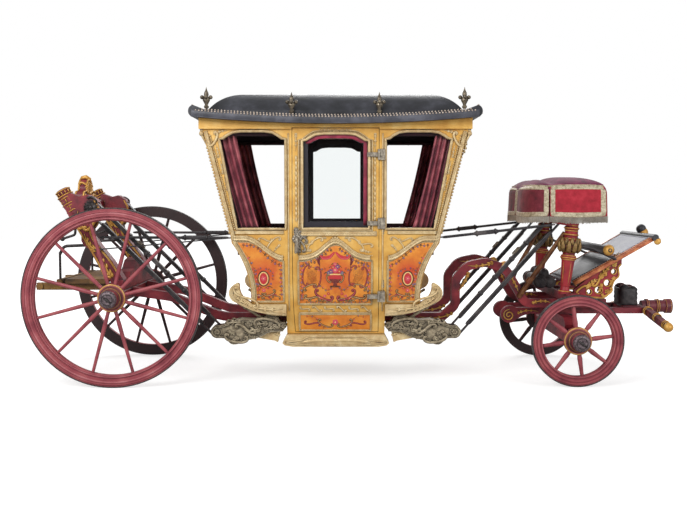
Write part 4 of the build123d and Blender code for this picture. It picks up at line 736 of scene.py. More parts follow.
def row_group(name, build_instance, inputs):
    """A node group that sets an instance along every line of its mesh."""
    group = bpy.data.node_groups.new(name, "GeometryNodeTree")
    face = group.interface
    face.new_socket("Lines", in_out="INPUT", socket_type="NodeSocketGeometry")
    for label, kind, value in inputs + (("Spacing", "NodeSocketFloat", 0.02), ("Seed", "NodeSocketInt", 1)):
        socket = face.new_socket(label, in_out="INPUT", socket_type=kind)
        socket.default_value = value
    face.new_socket("Finish", in_out="INPUT", socket_type="NodeSocketMaterial")
    face.new_socket("Pieces", in_out="OUTPUT", socket_type="NodeSocketGeometry")
    given = add(group, "NodeGroupInput").outputs
    curve = add(group, "GeometryNodeMeshToCurve", {"Mesh": given["Lines"]}).outputs["Curve"]
    spots = add(group, "GeometryNodeResampleCurve", {"Curve": curve, "Length": given["Spacing"]},
                mode="LENGTH").outputs["Curve"]
    scale = add(group, "FunctionNodeRandomValue", {"Seed": given["Seed"]}, data_type="FLOAT")
    scale.inputs[2].default_value = 0.88
    scale.inputs[3].default_value = 1.10
    rows = add(group, "GeometryNodeInstanceOnPoints", {
        "Points": spots, "Instance": build_instance(group, given), "Scale": scale.outputs[1],
    }).outputs["Instances"]
    plain = add(group, "GeometryNodeRealizeInstances", {"Geometry": rows}).outputs["Geometry"]
    done = add(group, "GeometryNodeSetMaterial", {"Geometry": plain, "Material": given["Finish"]})
    add(group, "NodeGroupOutput", {"Pieces": done.outputs["Geometry"]})
    return group


def bead_shape(group, given):
    ball = add(group, "GeometryNodeMeshUVSphere", {"Segments": given["Sides"], "Rings": given["Rings"],
                                                   "Radius": given["Radius"]})
    return add(group, "GeometryNodeSetShadeSmooth", {"Geometry": ball.outputs["Mesh"]}).outputs["Geometry"]


def strand_shape(group, given):
    end = add(group, "ShaderNodeCombineXYZ", {"Z": add(
        group, "ShaderNodeMath", {0: given["Drop"], 1: -1.0}, operation="MULTIPLY")})
    line = add(group, "GeometryNodeCurvePrimitiveLine", {"Start": (0, 0, 0), "End": end.outputs[0]})
    ring = add(group, "GeometryNodeCurvePrimitiveCircle", {"Resolution": 4, "Radius": given["Radius"]})
    return add(group, "GeometryNodeCurveToMesh", {
        "Curve": line.outputs["Curve"], "Profile Curve": ring.outputs["Curve"], "Fill Caps": True,
    }).outputs["Mesh"]


BEADS = row_group("bead_rows", bead_shape, (("Radius", "NodeSocketFloat", 0.006),
                                            ("Sides", "NodeSocketInt", 6), ("Rings", "NodeSocketInt", 4)))
FRINGE = row_group("fringe_rows", strand_shape, (("Radius", "NodeSocketFloat", 0.002),
                                                 ("Drop", "NodeSocketFloat", 0.05)))


def along(name, lines, group, body, material, slot, **values):
    """Run a node group along 3-D lines and keep the result as a plain mesh."""
    mesh = bpy.data.meshes.new(name)
    points = [tuple(p) for line in lines for p in line]
    edges = []
    start = 0
    for line in lines:
        edges.extend((start + i, start + i + 1) for i in range(len(line) - 1))
        start += len(line)
    mesh.from_pydata(points, edges, [])
    piece = bpy.data.objects.new(name, mesh)
    bpy.context.scene.collection.objects.link(piece)
    modifier = piece.modifiers.new("rows", "NODES")
    modifier.node_group = group
    sockets = {s.name: s.identifier for s in group.interface.items_tree if s.in_out == "INPUT"}
    for label, value in values.items():
        modifier[sockets[label]] = value
    modifier[sockets["Finish"]] = material
    plain_mesh(piece)
    return seat(piece, body, material, slot)


# The cabin's panels and carving

SIDES = ((-1, "right"), (1, "left"))
GILT = "carved_gilt"
PANEL_LIFT = 0.004
KNURL = {"Radius": 0.0058, "Spacing": 0.0135}


def cabin_half(z):
    """Half length of the cabin at a height."""
    if z >= BELT_Z:
        return BELT_HALF + (TOP_HALF - BELT_HALF) * (z - BELT_Z) / (CABIN_TOP - BELT_Z)
    if z >= TURN_UNDER_Z:
        return BELT_HALF - 0.01 * (BELT_Z - z) / (BELT_Z - TURN_UNDER_Z)
    t = max(0.0, (z - FOOT_ARC_Z) / (TURN_UNDER_Z - FOOT_ARC_Z))
    return FOOT_HALF + 0.025 * t + 0.15 * t * t


def side_place(side, base=0.0):
    return lambda u, v, lift: on_side(side, u, v, base + lift)


def end_place(end, base=0.0):
    """Places y, z and a lift on the outside of the cabin's front or rear wall."""
    return lambda u, v, lift: Vector((CABIN_X + end * (cabin_half(v) + base + lift), u, v))


def door_top(x):
    """The waved top of the door's painted panel."""
    return 1.182 + 0.160 * bell(x, 0.155)


def quarter_top(t):
    """The waved top of a quarter's painted panel, t from the pillar to the corner."""
    s = min(t / 0.78, 1.0)
    return 1.182 + 0.188 * s * s * (3 - 2 * s)


def door_field(side):
    def shape(u, v, lift, inset):
        x = -0.350 + 0.690 * u
        x += inset * (1 - 2 * u)
        low, high = 0.775 + inset, door_top(x) - inset
        return on_side(side, x, low + (high - low) * v, lift)
    return shape


def door_foot(side):
    def shape(u, v, lift, inset):
        x = -0.345 + 0.680 * u + inset * (1 - 2 * u)
        low, high = 0.508 + inset, 0.662 - inset
        return on_side(side, x, low + (high - low) * v, lift)
    return shape


def quarter_field(side, end):
    def shape(u, v, lift, inset):
        low = 0.800 + inset
        z = low + (quarter_top(u) - inset - low) * v
        inner, outer = PILLAR_HALF + 0.030 + inset, cabin_half(z) - 0.052 - inset
        return on_side(side, end * (inner + (outer - inner) * u), z, lift)
    return shape


def rim_of(shape, steps=18):
    """The outline of a field as 3-D points, once round."""
    ring = [shape(i / steps, 0.0, 0.0, 0.0) for i in range(steps)]
    ring += [shape(1.0, i / steps, 0.0, 0.0) for i in range(steps)]
    ring += [shape(1 - i / steps, 1.0, 0.0, 0.0) for i in range(steps)]
    ring += [shape(0.0, 1 - i / steps, 0.0, 0.0) for i in range(steps)]
    return ring


def flat_rim(shape, grow=0.0, steps=18):
    """The same outline in the side's own x and z, grown outwards from its middle."""
    ring = [(p.x - CABIN_X, p.z) for p in rim_of(shape, steps)]
    mx = sum(p[0] for p in ring) / len(ring)
    mz = sum(p[1] for p in ring) / len(ring)
    return [(x + grow * (1 if x > mx else -1), z + grow * (1 if z > mz else -1)) for x, z in ring]


def arch(x0, x1, z0, shoulder, rise, h0=None, h1=None, cusp=0.038):
    """The outline of an arched window, as in the solid."""
    h0 = x0 if h0 is None else h0
    h1 = x1 if h1 is None else h1
    a, b = h0 + cusp, h1 - cusp
    mid, run = (a + b) / 2, b - a
    foot = shoulder + 0.12 * rise
    ring = [(x0 + (x1 - x0) * i / 8, z0) for i in range(8)]
    ring += [(x1 + (h1 - x1) * i / 12, z0 + (shoulder - z0) * i / 12) for i in range(12)]
    ring += [(h1, shoulder), (b, foot), (mid + 0.44 * run, shoulder + 0.45 * rise),
             (mid + 0.34 * run, shoulder + 0.86 * rise)]
    ring += [(mid + run * (0.20 - 0.08 * i), shoulder + rise) for i in range(6)]
    ring += [(mid - 0.34 * run, shoulder + 0.86 * rise), (mid - 0.44 * run, shoulder + 0.45 * rise),
             (a, foot), (h0, shoulder)]
    ring += [(h0 + (x0 - h0) * i / 12, shoulder + (z0 - shoulder) * i / 12) for i in range(1, 12)]
    return ring


def quarter_arch(end, grow):
    """The quarter window's outline, grown by a margin."""
    head = cabin_half(2.345) - 0.142
    ring = arch(PILLAR_HALF + 0.008 - grow, cabin_half(1.505) - 0.088 + grow, 1.505 - grow,
                2.345, 0.065 + grow, PILLAR_HALF + 0.008 - grow, head + grow)
    return [(end * x, z) for x, z in ring]


def shell(form, centre, radius, height, place, spread=150, ribs=7, up=90):
    """A fan of ribs, as a carved shell."""
    for k in range(ribs):
        a = radians(up - spread / 2 + spread * k / (ribs - 1))
        reach = radius * (0.78 + 0.22 * sin(pi * k / (ribs - 1)))
        points = [(centre[0] + reach * t * cos(a), centre[1] + reach * t * sin(a))
                  for t in (0.12, 0.4, 0.7, 0.92, 1.0)]
        wide = 1.15 * radius * radians(spread) / ribs
        stroke(form, points, [wide * w for w in (0.25, 0.5, 0.85, 1.0, 0.5)], height, place)
    button(form, centre, 0.2 * radius, 1.2 * height, place)


def chain(form, points, size, height, place, kind="leaf"):
    """A run of overlapping husks or beads along 2-D points."""
    for i in range(len(points) - 1):
        a, b = points[i], points[i + 1]
        if kind == "leaf":
            stroke(form, [a, ((a[0] + b[0]) / 2, (a[1] + b[1]) / 2), (a[0] * -0.08 + b[0] * 1.08,
                                                                  a[1] * -0.08 + b[1] * 1.08)],
                   [size * 0.5, size, size * 0.25], height, place)
        else:
            button(form, a, size / 2, height, place, 6)


def waved_border(form, points, place):
    """A broad hollow moulding with a row of little leaves laid in it."""
    stroke(form, smooth(points, 2), 0.046, 0.020, place, CHANNEL)
    for i in range(len(points) - 1):
        a, b = points[i], points[i + 1]
        mid = ((a[0] + b[0]) / 2, (a[1] + b[1]) / 2)
        stroke(form, [a, mid, b], [0.010, 0.020, 0.006], 0.017, place)


def build_lining():
    """Velvet round the quarter windows' openings and on the walls below them, near black as painted shade."""
    form = Form()
    for side, _ in SIDES:
        for end in (-1, 1):
            ring = quarter_arch(end, -0.003)
            form.grid([[(CABIN_X + x, side * (CABIN_Y - deep), z) for x, z in ring]
                       for deep in (0.012, 0.030, 0.047)], closed_rows=True)
            y = CABIN_Y - 0.049
            rows = []
            for k in range(12):
                z = 1.245 + 0.255 * k / 11
                reach = cabin_half(max(z, TURN_UNDER_Z)) - 0.050
                rows.append([(CABIN_X + end * (0.435 + (reach - 0.435) * i / 8), side * y, z)
                             for i in range(9)])
            form.grid(rows)
    form.piece("quarter_lining", "coach", LINING_IN_SHADE, "cabin_lining")


def end_field(end, low, high, half, crown):
    """A field on an end wall, with a top that rises in the middle."""
    def shape(u, v, lift, inset):
        y = (half - inset) * (2 * u - 1)
        foot, top = low + inset, high + crown * bell(y, 0.22) - inset
        return end_place(end)(y, foot + (top - foot) * v, lift)
    return shape


def build_end_walls():
    """Painted fields on the front and rear walls, in carved frames like those of the sides."""
    fields = Form()
    form = Form()
    knurls = []
    for end in (-1, 1):
        place = end_place(end)
        for shape, rows in ((end_field(end, 0.850, 1.225, 0.550, 0.105), 16),
                            (end_field(end, 1.530, 2.250, 0.560, 0.090), 10)):
            patch(fields, 24, rows, shape, PANEL_LIFT)
            ring = [(p.y, p.z) for p in rim_of(shape)]
            middle = sum(z for _, z in ring) / len(ring)
            for grow, wide, high in ((0.008, 0.026, 0.014), (0.046, 0.012, 0.009)):
                rim = [(y + (grow if y > 0 else -grow), z + (grow if z > middle else -grow)) for y, z in ring]
                stroke(form, rim, wide, high, place, CHANNEL, closed=True)
            rim = [(y * 1.05, z + (0.028 if z > middle else -0.028)) for y, z in ring]
            knurls.append([place(y, z, 0.006) for y, z in rim + rim[:1]])
        for z, wide in ((1.462, 0.038), (0.792, 0.030), (2.420, 0.026)):
            reach = side_y(max(z, 0.79)) - 0.075
            stroke(form, [(reach * (k / 6 - 1), z) for k in range(13)], wide, 0.015, place, CHANNEL)
        shell(form, (0.0, 1.372), 0.050, 0.022, place)
        shell(form, (0.0, 2.362), 0.046, 0.018, place, 160)
        for flip in (1, -1):
            volute(form, (flip * 0.105, 1.405), (flip * 0.265, 1.325), 0.020, 0.011, place, flip=flip > 0)
            volute(form, (flip * 0.275, 1.395), (flip * 0.455, 1.330), 0.018, 0.011, place, kind="S",
                   flip=flip < 0)
            leaf(form, (flip * 0.455, 1.345), (flip * 0.580, 1.390), 0.044, 0.010, place, bend=0.15 * flip)
            leaf(form, (flip * 0.055, 2.388), (flip * 0.235, 2.372), 0.046, 0.011, place, bend=0.12 * flip)
            volute(form, (flip * 0.250, 2.385), (flip * 0.410, 2.345), 0.018, 0.011, place, flip=flip > 0)
            leaf(form, (flip * 0.430, 2.355), (flip * 0.590, 2.375), 0.044, 0.010, place, bend=-0.15 * flip)
            for k in range(6):
                z = 1.52 + 0.135 * k
                leaf(form, (flip * 0.655, z), (flip * 0.655, z + 0.115), 0.036, 0.009, place,
                     bend=0.05 * flip)
            for k in range(3):
                z = 0.90 + 0.12 * k
                y = side_y(z) - 0.068
                leaf(form, (flip * y, z), (flip * (side_y(z + 0.1) - 0.068), z + 0.10), 0.030, 0.009, place,
                     bend=0.05 * flip)
    fields.piece("end_fields", "coach", ORANGE, "gilt_panel")
    form.piece("end_carving", "coach", PALE_GOLD, GILT)
    along("end_knurls", knurls, BEADS, "coach", PALE_GOLD, GILT, Radius=0.0062, Spacing=0.0165, Seed=24)


def build_side_fields():
    """The painted panels on the doors, their feet and the quarters."""
    for side, name in SIDES:
        form = Form()
        patch(form, 26, 16, door_field(side), PANEL_LIFT)
        patch(form, 20, 6, door_foot(side), PANEL_LIFT)
        form.piece("door_fields_" + name, "door_" + name, ORANGE, "gilt_panel")
    form = Form()
    for side, _ in SIDES:
        for end in (-1, 1):
            patch(form, 18, 16, quarter_field(side, end), PANEL_LIFT)
    form.piece("quarter_fields", "coach", ORANGE, "gilt_panel")


def carve_door(side, name):
    """Mouldings round a door's fields and window, with scrolls, leaves and beads."""
    place = side_place(side)
    door = Form()
    door_knurls = []
    for field in (door_field(side), door_foot(side)):
        rim = flat_rim(field, 0.006)
        stroke(door, rim, 0.020, 0.011, place, CHANNEL, closed=True)
        door_knurls.append([place(x, z, 0.007) for x, z in rim + rim[:1]])
    # the waved border over the door's field, with a shell in the middle and scrolls above
    waved_border(door, [(-0.352 + 0.0235 * i, door_top(-0.352 + 0.0235 * i) + 0.038)
                        for i in range(30)], place)
    for flip in (1, -1):
        volute(door, (flip * 0.130, 1.392), (flip * 0.245, 1.290), 0.017, 0.008, place, flip=flip > 0)
        volute(door, (flip * 0.225, 1.375), (flip * 0.345, 1.330), 0.016, 0.008, place, kind="S",
               flip=flip < 0)
        leaf(door, (flip * 0.250, 1.300), (flip * 0.345, 1.275), 0.042, 0.007, place,
             bend=-0.15 * flip)
        leaf(door, (flip * 0.090, 1.408), (flip * 0.200, 1.412), 0.034, 0.007, place, bend=0.1 * flip)
    shell(door, (-0.005, 1.362), 0.062, 0.024, place)
    # the carved band under the door's field
    for k in range(6):
        x = -0.300 + 0.118 * k
        volute(door, (x - 0.040, 0.735), (x + 0.044, 0.705), 0.015, 0.011, place, kind="S",
               flip=k % 2 == 1)
    stroke(door, [(-0.355 + 0.07 * i, 0.763) for i in range(11)], 0.012, 0.010, place)
    stroke(door, [(-0.355 + 0.07 * i, 0.682) for i in range(11)], 0.012, 0.010, place)
    # the rail under the window
    stroke(door, [(-0.39 + 0.078 * i, 1.452) for i in range(11)], 0.046, 0.015, place, CHANNEL)
    for k in range(23):
        button(door, (-0.374 + 0.034 * k, 1.452), 0.011, 0.016, place, 6)
    # window frame
    frame_ring = arch(-0.318, 0.318, 1.497, 2.330, 0.070)
    stroke(door, frame_ring, 0.030, 0.017, place, closed=True)
    outer_ring = arch(-0.335, 0.335, 1.487, 2.334, 0.082)
    door_knurls.append([place(x, z, 0.006) for x, z in outer_ring + outer_ring[:1]])
    for edge in (-0.022, 0.022):
        xs = [-0.350 + 0.0233 * i for i in range(31)]
        door_knurls.append([place(x, door_top(x) + 0.038 + edge, 0.016) for x in xs])
    along("door_knurls_" + name, door_knurls, BEADS, "door_" + name, PALE_GOLD, GILT, Seed=21, **KNURL)
    stroke(door, arch(-0.350, 0.350, 1.480, 2.336, 0.094), 0.012, 0.010, place, closed=True)
    shell(door, (0.0, 2.402), 0.038, 0.014, place, 160)
    for flip in (1, -1):
        leaf(door, (flip * 0.045, 2.425), (flip * 0.185, 2.420), 0.042, 0.009, place, bend=0.12 * flip)
        leaf(door, (flip * 0.375, 2.400), (flip * 0.375, 2.230), 0.040, 0.009, place, bend=0.0)
        chain(door, [(flip * 0.374, 2.19 - 0.048 * i) for i in range(14)], 0.026, 0.008, place)
    door.piece("door_carving_" + name, "door_" + name, PALE_GOLD, GILT)


def carve_quarter(side, end, coach, hinges, knurls, beads, edge_beads):
    """The same on a quarter, with the corner's carving and lines for the rows of beads."""
    place = side_place(side)
    field = quarter_field(side, end)
    stroke(coach, flat_rim(field, 0.006), 0.020, 0.011, place, CHANNEL, closed=True)
    # the carved edge down the corner and round the foot
    edge = [(end * (cabin_half(z) - 0.026), z) for z in
            [0.79 + 0.05 * i for i in range(13)] + [1.41, 1.50, 1.75, 2.0, 2.25, 2.42]]
    stroke(coach, edge, 0.034, 0.016, place, CHANNEL)
    beads.append([place(x, z, 0.012) for x, z in
                  [(end * (cabin_half(z) - 0.058), z) for z in
                   [1.50 + 0.04 * i for i in range(23)]]])
    window = quarter_arch(end, 0.010)
    stroke(coach, window, 0.028, 0.016, place, closed=True)
    knurls.append([place(x, z, 0.014) for x, z in window + window[:1]])
    rim = flat_rim(field, 0.006)
    knurls.append([place(x, z, 0.007) for x, z in rim + rim[:1]])
    for edge in (-0.022, 0.022):
        knurls.append([place(end * (PILLAR_HALF + 0.030 + 0.0205 * k),
                             quarter_top(k / 22) + 0.038 + edge, 0.016) for k in range(23)])
    for off in (0.012, 0.040):
        knurls.append([place(end * (cabin_half(z) - off), z, 0.014) for z in
                       [0.80 + 0.05 * i for i in range(33)]])
    # a carved ear that stands out past the corner under the eave
    ear_place = flat_place(CABIN_Y - 0.024, side)
    corner = lambda x, z: (CABIN_X + end * (cabin_half(z) + x), z)
    stroke(coach, smooth([corner(-0.004, 2.250), corner(0.004, 2.310), corner(0.016, 2.365),
                          corner(0.022, 2.405), corner(0.008, 2.432)], 4),
           [0.014 + 0.0016 * k for k in range(17)], 0.036, ear_place)
    button(coach, corner(0.020, 2.398), 0.026, 0.044, ear_place, 12)
    leaf(coach, corner(0.000, 2.330), corner(0.002, 2.180), 0.050, 0.034, ear_place)
    # the waved border over the quarter's field, with scrolls between it and the window
    inner = PILLAR_HALF + 0.035
    span = BELT_HALF - 0.050 - inner
    waved_border(coach, [(end * (inner - 0.008 + (span + 0.03) * k / 22),
                          quarter_top(k / 22) + 0.038) for k in range(23)], place)
    volute(coach, (end * (inner + 0.02), 1.400), (end * (inner + 0.12), 1.290), 0.016, 0.008, place,
           flip=end > 0)
    volute(coach, (end * (inner + 0.10), 1.395), (end * (inner + 0.22), 1.392), 0.015, 0.008,
           place, kind="S", flip=end < 0)
    leaf(coach, (end * (inner + 0.02), 1.345), (end * (inner + 0.08), 1.270), 0.036, 0.007, place,
         bend=0.15 * end)
    rail = [(end * (inner - 0.015 + (cabin_half(1.462) - 0.03 - inner) * k / 12), 1.463)
            for k in range(13)]
    stroke(coach, rail, 0.034, 0.014, place, CHANNEL)
    # stepped edges of the carved ornaments that hide the hinges' plates
    if end > 0:
        for z in (2.17, 1.53, 0.92):
            for up in (-1, 1):
                leaf(hinges, (0.452, z + 0.012 * up), (0.452, z + 0.105 * up), 0.040, 0.007, place,
                     bend=0.0)
    # leaves climbing the post beside the window, and the scrolled ear at its head
    for k in range(5):
        z = 1.55 + 0.155 * k
        x = end * (cabin_half(z) - 0.082)
        x1 = end * (cabin_half(z + 0.13) - 0.088)
        leaf(coach, (x, z), (x1, z + 0.13), 0.036, 0.008, place, bend=0.05 * end)
    edge_beads.append([(CABIN_X + end * (cabin_half(z) + 0.004), side * (CABIN_Y - 0.030), z)
                       for z in [1.46 + 0.035 * i for i in range(24)]])
    ear = cabin_half(2.36) - 0.070
    volute(coach, (end * (ear + 0.028), 2.295), (end * (ear - 0.030), 2.405), 0.026, 0.018, place,
           flip=end > 0)
    leaf(coach, (end * (ear - 0.02), 2.39), (end * (ear - 0.145), 2.425), 0.045, 0.010, place,
         bend=-0.15 * end)
    # a bead down the pillar beside the door
    stroke(coach, [(end * 0.448, 0.70 + 0.10 * i) for i in range(18)], 0.014, 0.009, place)
    shell(coach, (end * (inner + 0.27), 2.415), 0.032, 0.012, place, 160)
    for flip in (1, -1):
        at = end * (inner + 0.27)
        leaf(coach, (at + flip * 0.035, 2.428), (at + flip * 0.17, 2.424), 0.036, 0.008, place,
             bend=0.1 * flip)


def build_side_frames():
    """Pale mouldings round the fields, and the waved carving over them."""
    knurls, beads, edge_beads = [], [], []
    coach = Form()
    hinges = Form()
    for side, name in SIDES:
        carve_door(side, name)
        for end in (-1, 1):
            carve_quarter(side, end, coach, hinges, knurls, beads, edge_beads)
    coach.piece("quarter_carving", "coach", PALE_GOLD, GILT)
    hinges.piece("hinge_carving", "coach", SILVER_GILT, GILT)
    along("quarter_knurls", knurls, BEADS, "coach", PALE_GOLD, GILT, Seed=22, **KNURL)
    along("corner_beads", edge_beads, BEADS, "coach", PALE_GOLD, GILT, Radius=0.013, Spacing=0.030, Seed=7,
          Sides=8, Rings=5)
    along("post_beads", beads, BEADS, "coach", PALE_GOLD, GILT, Radius=0.007, Spacing=0.019, Seed=3)


# Oil painting on the fields: an urn, scrolls, lattice shells and garlands

VIOLET_STROKE = brushed_stroke("violet_brush_stroke", "#6C4480")
BLUE_STROKE = brushed_stroke("blue_brush_stroke", "#4C5C86")
BROWN_STROKE = brushed_stroke("umber_brush_stroke", "#3A2016")
ROSE_STROKE = brushed_stroke("rose_brush_stroke", "#D8506A")


class Palette:
    """One form for each colour of brush stroke on one body."""

    COLOURS = {"wine": WINE_STROKE, "red": RED_STROKE, "green": GREEN_STROKE, "pale": PALE_STROKE,
               "violet": VIOLET_STROKE, "blue": BLUE_STROKE, "umber": BROWN_STROKE, "rose": ROSE_STROKE}

    def __init__(self, side, end=1):
        self.forms = {name: Form() for name in self.COLOURS}
        self.side = side
        self.end = end

    def place(self, layer):
        base = PANEL_LIFT + 0.0006 * layer
        return lambda u, v, lift: on_side(self.side, self.end * u, v, base + lift)

    def line(self, colour, points, wide, layer=1):
        stroke(self.forms[colour], points, taper(len(points), 1.2 * wide, 0.35), 0.0016, self.place(layer))

    def curl(self, colour, a, b, wide, light="pale", layer=1, **shape):
        """A painted scroll with a lighter stroke along its back."""
        points = scroll(a, b, count=30, **shape)
        stroke(self.forms[colour], points, taper(len(points), 1.3 * wide, 0.25), 0.0016, self.place(layer))
        stroke(self.forms[light], points[3:-3], taper(len(points) - 6, 0.3 * wide, 0.2), 0.0014,
               self.place(layer + 1.5))

    def bloom(self, colour, at, radius, layer=3, heart="pale"):
        flower(self.forms[colour], at, radius, 0.0022, self.place(layer), 5, at[0] * 40)
        button(self.forms[heart], at, 0.3 * radius, 0.0030, self.place(layer), 6)

    def sprig(self, points, size, colours=("violet", "red", "blue", "rose"), layer=2):
        """A wavy green stem with little flowers and leaves on both sides of it."""
        self.line("green", points, 0.22 * size, layer - 1)
        for i in range(1, len(points) - 1, 2):
            (ax, az), (bx, bz) = points[i - 1], points[i + 1]
            run = hypot(bx - ax, bz - az) or 1.0
            nx, nz = (bz - az) / run, -(bx - ax) / run
            flip = 1 if (i // 2) % 2 else -1
            at = (points[i][0] + flip * 0.55 * size * nx, points[i][1] + flip * 0.55 * size * nz)
            self.bloom(colours[(i // 2) % len(colours)], at, 0.62 * size, layer)
            far = (points[i][0] - flip * 0.9 * size * nx, points[i][1] - flip * 0.9 * size * nz)
            self.line("green", [points[i], ((points[i][0] + far[0]) / 2, far[1] + 0.1 * size), far],
                      0.4 * size, layer)

    def lattice(self, x, z, wide, tall, lean):
        """A leaf-shaped field of crossed lines inside a scrolled border."""
        for k in range(-3, 4):
            t = k / 3.5
            half = 0.5 * tall * sqrt(max(0.0, 1 - t * t))
            for slant in (-1, 1):
                self.line("umber", [(x + 0.5 * wide * t - slant * 0.35 * half, z - half + lean * t),
                                    (x + 0.5 * wide * t + slant * 0.35 * half, z + half + lean * t)],
                          0.0045, 1)
        self.curl("wine", (x - 0.55 * wide, z - 0.50 * tall), (x - 0.30 * wide, z + 0.60 * tall), 0.011,
                  "rose", 2, flip=True)
        self.curl("wine", (x + 0.50 * wide, z + 0.52 * tall), (x + 0.25 * wide, z - 0.62 * tall), 0.011,
                  "rose", 2, flip=True)

    def finish(self, name, body):
        for colour, form in self.forms.items():
            if form.points:
                form.piece(name + "_" + colour, body, self.COLOURS[colour], "gilt_panel")


class EndPalette(Palette):
    """The same brushes on the cabin's front or rear wall."""

    def place(self, layer):
        return end_place(self.end, PANEL_LIFT + 0.0006 * layer)


def wave(a, b, count, swing):
    """Points from a to b that swing from side to side."""
    dx, dz = b[0] - a[0], b[1] - a[1]
    run = hypot(dx, dz)
    out = []
    for i in range(count):
        t = i / (count - 1)
        off = swing * sin(pi * 0.5 * i)
        out.append((a[0] + dx * t + off * dz / run, a[1] + dz * t - off * dx / run))
    return out


def paint_urn(brush, x, z, size):
    """An urn of flowers on a little plinth."""
    table = (
        # height from, height to, half width from, half width to, colour
        (-0.50, -0.42, 0.26, 0.22, "umber"), (-0.42, -0.30, 0.10, 0.07, "wine"),
        (-0.30, -0.10, 0.12, 0.30, "wine"), (-0.10, 0.10, 0.30, 0.27, "red"),
        (0.10, 0.16, 0.33, 0.33, "pale"),
    )
    for low, high, w0, w1, colour in table:
        form = brush.forms[colour]
        rows = []
        place = brush.place(2)
        for v, half in ((low, w0), ((low + high) / 2, 0.52 * (w0 + w1)), (high, w1)):
            rows.append([place(x + size * half * u, z + size * v, 0.0015 * (1 - abs(u) ** 3))
                         for u in (-1.0, -0.6, 0.0, 0.6, 1.0)])
        form.grid(rows)
    for flip in (-1, 1):
        brush.curl("umber", (x + flip * 0.30 * size, z + 0.10 * size),
                   (x + flip * 0.22 * size, z - 0.22 * size), 0.06 * size, layer=3, flip=flip > 0, middle=2.2)
    blooms = ((0.0, 0.34, 0.15, "rose"), (-0.20, 0.27, 0.12, "violet"), (0.20, 0.27, 0.12, "red"),
              (-0.10, 0.48, 0.11, "red"), (0.12, 0.50, 0.11, "violet"), (-0.32, 0.20, 0.09, "blue"),
              (0.33, 0.20, 0.09, "blue"), (0.0, 0.62, 0.09, "rose"))
    for u, v, r, colour in blooms:
        at = (x + u * size, z + v * size)
        for turn in (-1, 1):
            brush.line("green", [at, (at[0] + turn * 0.12 * size, at[1] + 0.03 * size),
                                 (at[0] + turn * 0.20 * size, at[1] - 0.05 * size)], 0.05 * size, 1)
        brush.bloom(colour, at, r * size, 3)


def paint_door(side):
    """An urn under drapery, scrolls, lattices and flower borders on a door."""
    brush = Palette(side)
    # the urn with drapery above it
    paint_urn(brush, -0.005, 1.035, 0.20)
    for flip in (-1, 1):
        m = lambda x, z: (flip * x - 0.005, z)
        for colour, swag, wide, layer in (
                ("red", ((0.005, 1.275), (0.055, 1.228), (0.115, 1.222), (0.150, 1.250)), 0.030, 2),
                ("rose", ((0.010, 1.262), (0.058, 1.215), (0.112, 1.210), (0.140, 1.232)), 0.009, 4)):
            brush.line(colour, smooth([m(*p) for p in swag], 5), wide, layer)
        brush.line("wine", smooth([m(0.150, 1.250), m(0.160, 1.200), m(0.148, 1.150)], 5), 0.024, 2)
        brush.line("umber", [m(0.148, 1.150), m(0.148, 1.122)], 0.012, 3)
        brush.curl("umber", m(0.165, 1.225), m(0.300, 1.195), 0.016, flip=flip > 0)
        brush.curl("wine", m(0.030, 0.835), m(0.175, 0.905), 0.020, "rose", flip=flip < 0)
        brush.curl("umber", m(0.145, 0.815), m(0.285, 0.850), 0.019, flip=flip > 0, kind="S")
        brush.curl("umber", m(0.185, 0.945), m(0.285, 0.905), 0.014, flip=flip > 0)
        brush.lattice(flip * 0.222 - 0.005, 1.040, 0.085, 0.155, flip * 0.01)
        brush.sprig(wave(m(0.318, 0.805), m(0.318, 1.160), 19, 0.006), 0.018)
        brush.sprig(smooth([m(0.285, 1.165), m(0.210, 1.128), m(0.140, 1.105), m(0.085, 1.120)], 4), 0.013)
        brush.sprig(smooth([m(0.030, 0.935), m(0.075, 0.905), m(0.130, 0.940), m(0.165, 0.985)], 4), 0.013)
        brush.line("green", smooth([m(0.080, 0.820), m(0.120, 0.800), m(0.165, 0.800)], 4), 0.010, 1)
        for k in range(3):
            brush.bloom("rose" if k % 2 else "red", m(0.065 + 0.036 * k, 0.872 - 0.022 * k), 0.014)
        brush.sprig([m(0.030 + 0.013 * k, door_top(0.030 + 0.013 * k) - 0.026 - 0.004 * sin(pi * 0.5 * k))
                     for k in range(24)], 0.017, ("umber", "violet", "wine", "blue"))
        brush.sprig(wave(m(0.345, 0.790), m(0.292, 0.950), 9, 0.004), 0.012, ("umber", "blue"))
        for k in range(4):
            brush.curl("umber", m(0.030 + 0.075 * k, 0.800), m(0.088 + 0.075 * k, 0.812), 0.010,
                       flip=k % 2 == 0)
    brush.sprig(wave((-0.30, 0.787), (0.29, 0.787), 31, 0.003), 0.011, ("umber", "violet", "red", "blue"))
    # the foot panel
    for flip in (-1, 1):
        m = lambda x, z: (flip * x - 0.005, z)
        brush.curl("umber", m(0.030, 0.560), m(0.150, 0.610), 0.014, flip=flip < 0)
        brush.curl("wine", m(0.150, 0.555), m(0.290, 0.590), 0.014, "rose", flip=flip > 0, kind="S")
        brush.sprig(smooth([m(0.060, 0.545), m(0.130, 0.535), m(0.200, 0.640), m(0.300, 0.640)], 4), 0.011)
    brush.bloom("rose", (-0.005, 0.585), 0.030)
    return brush


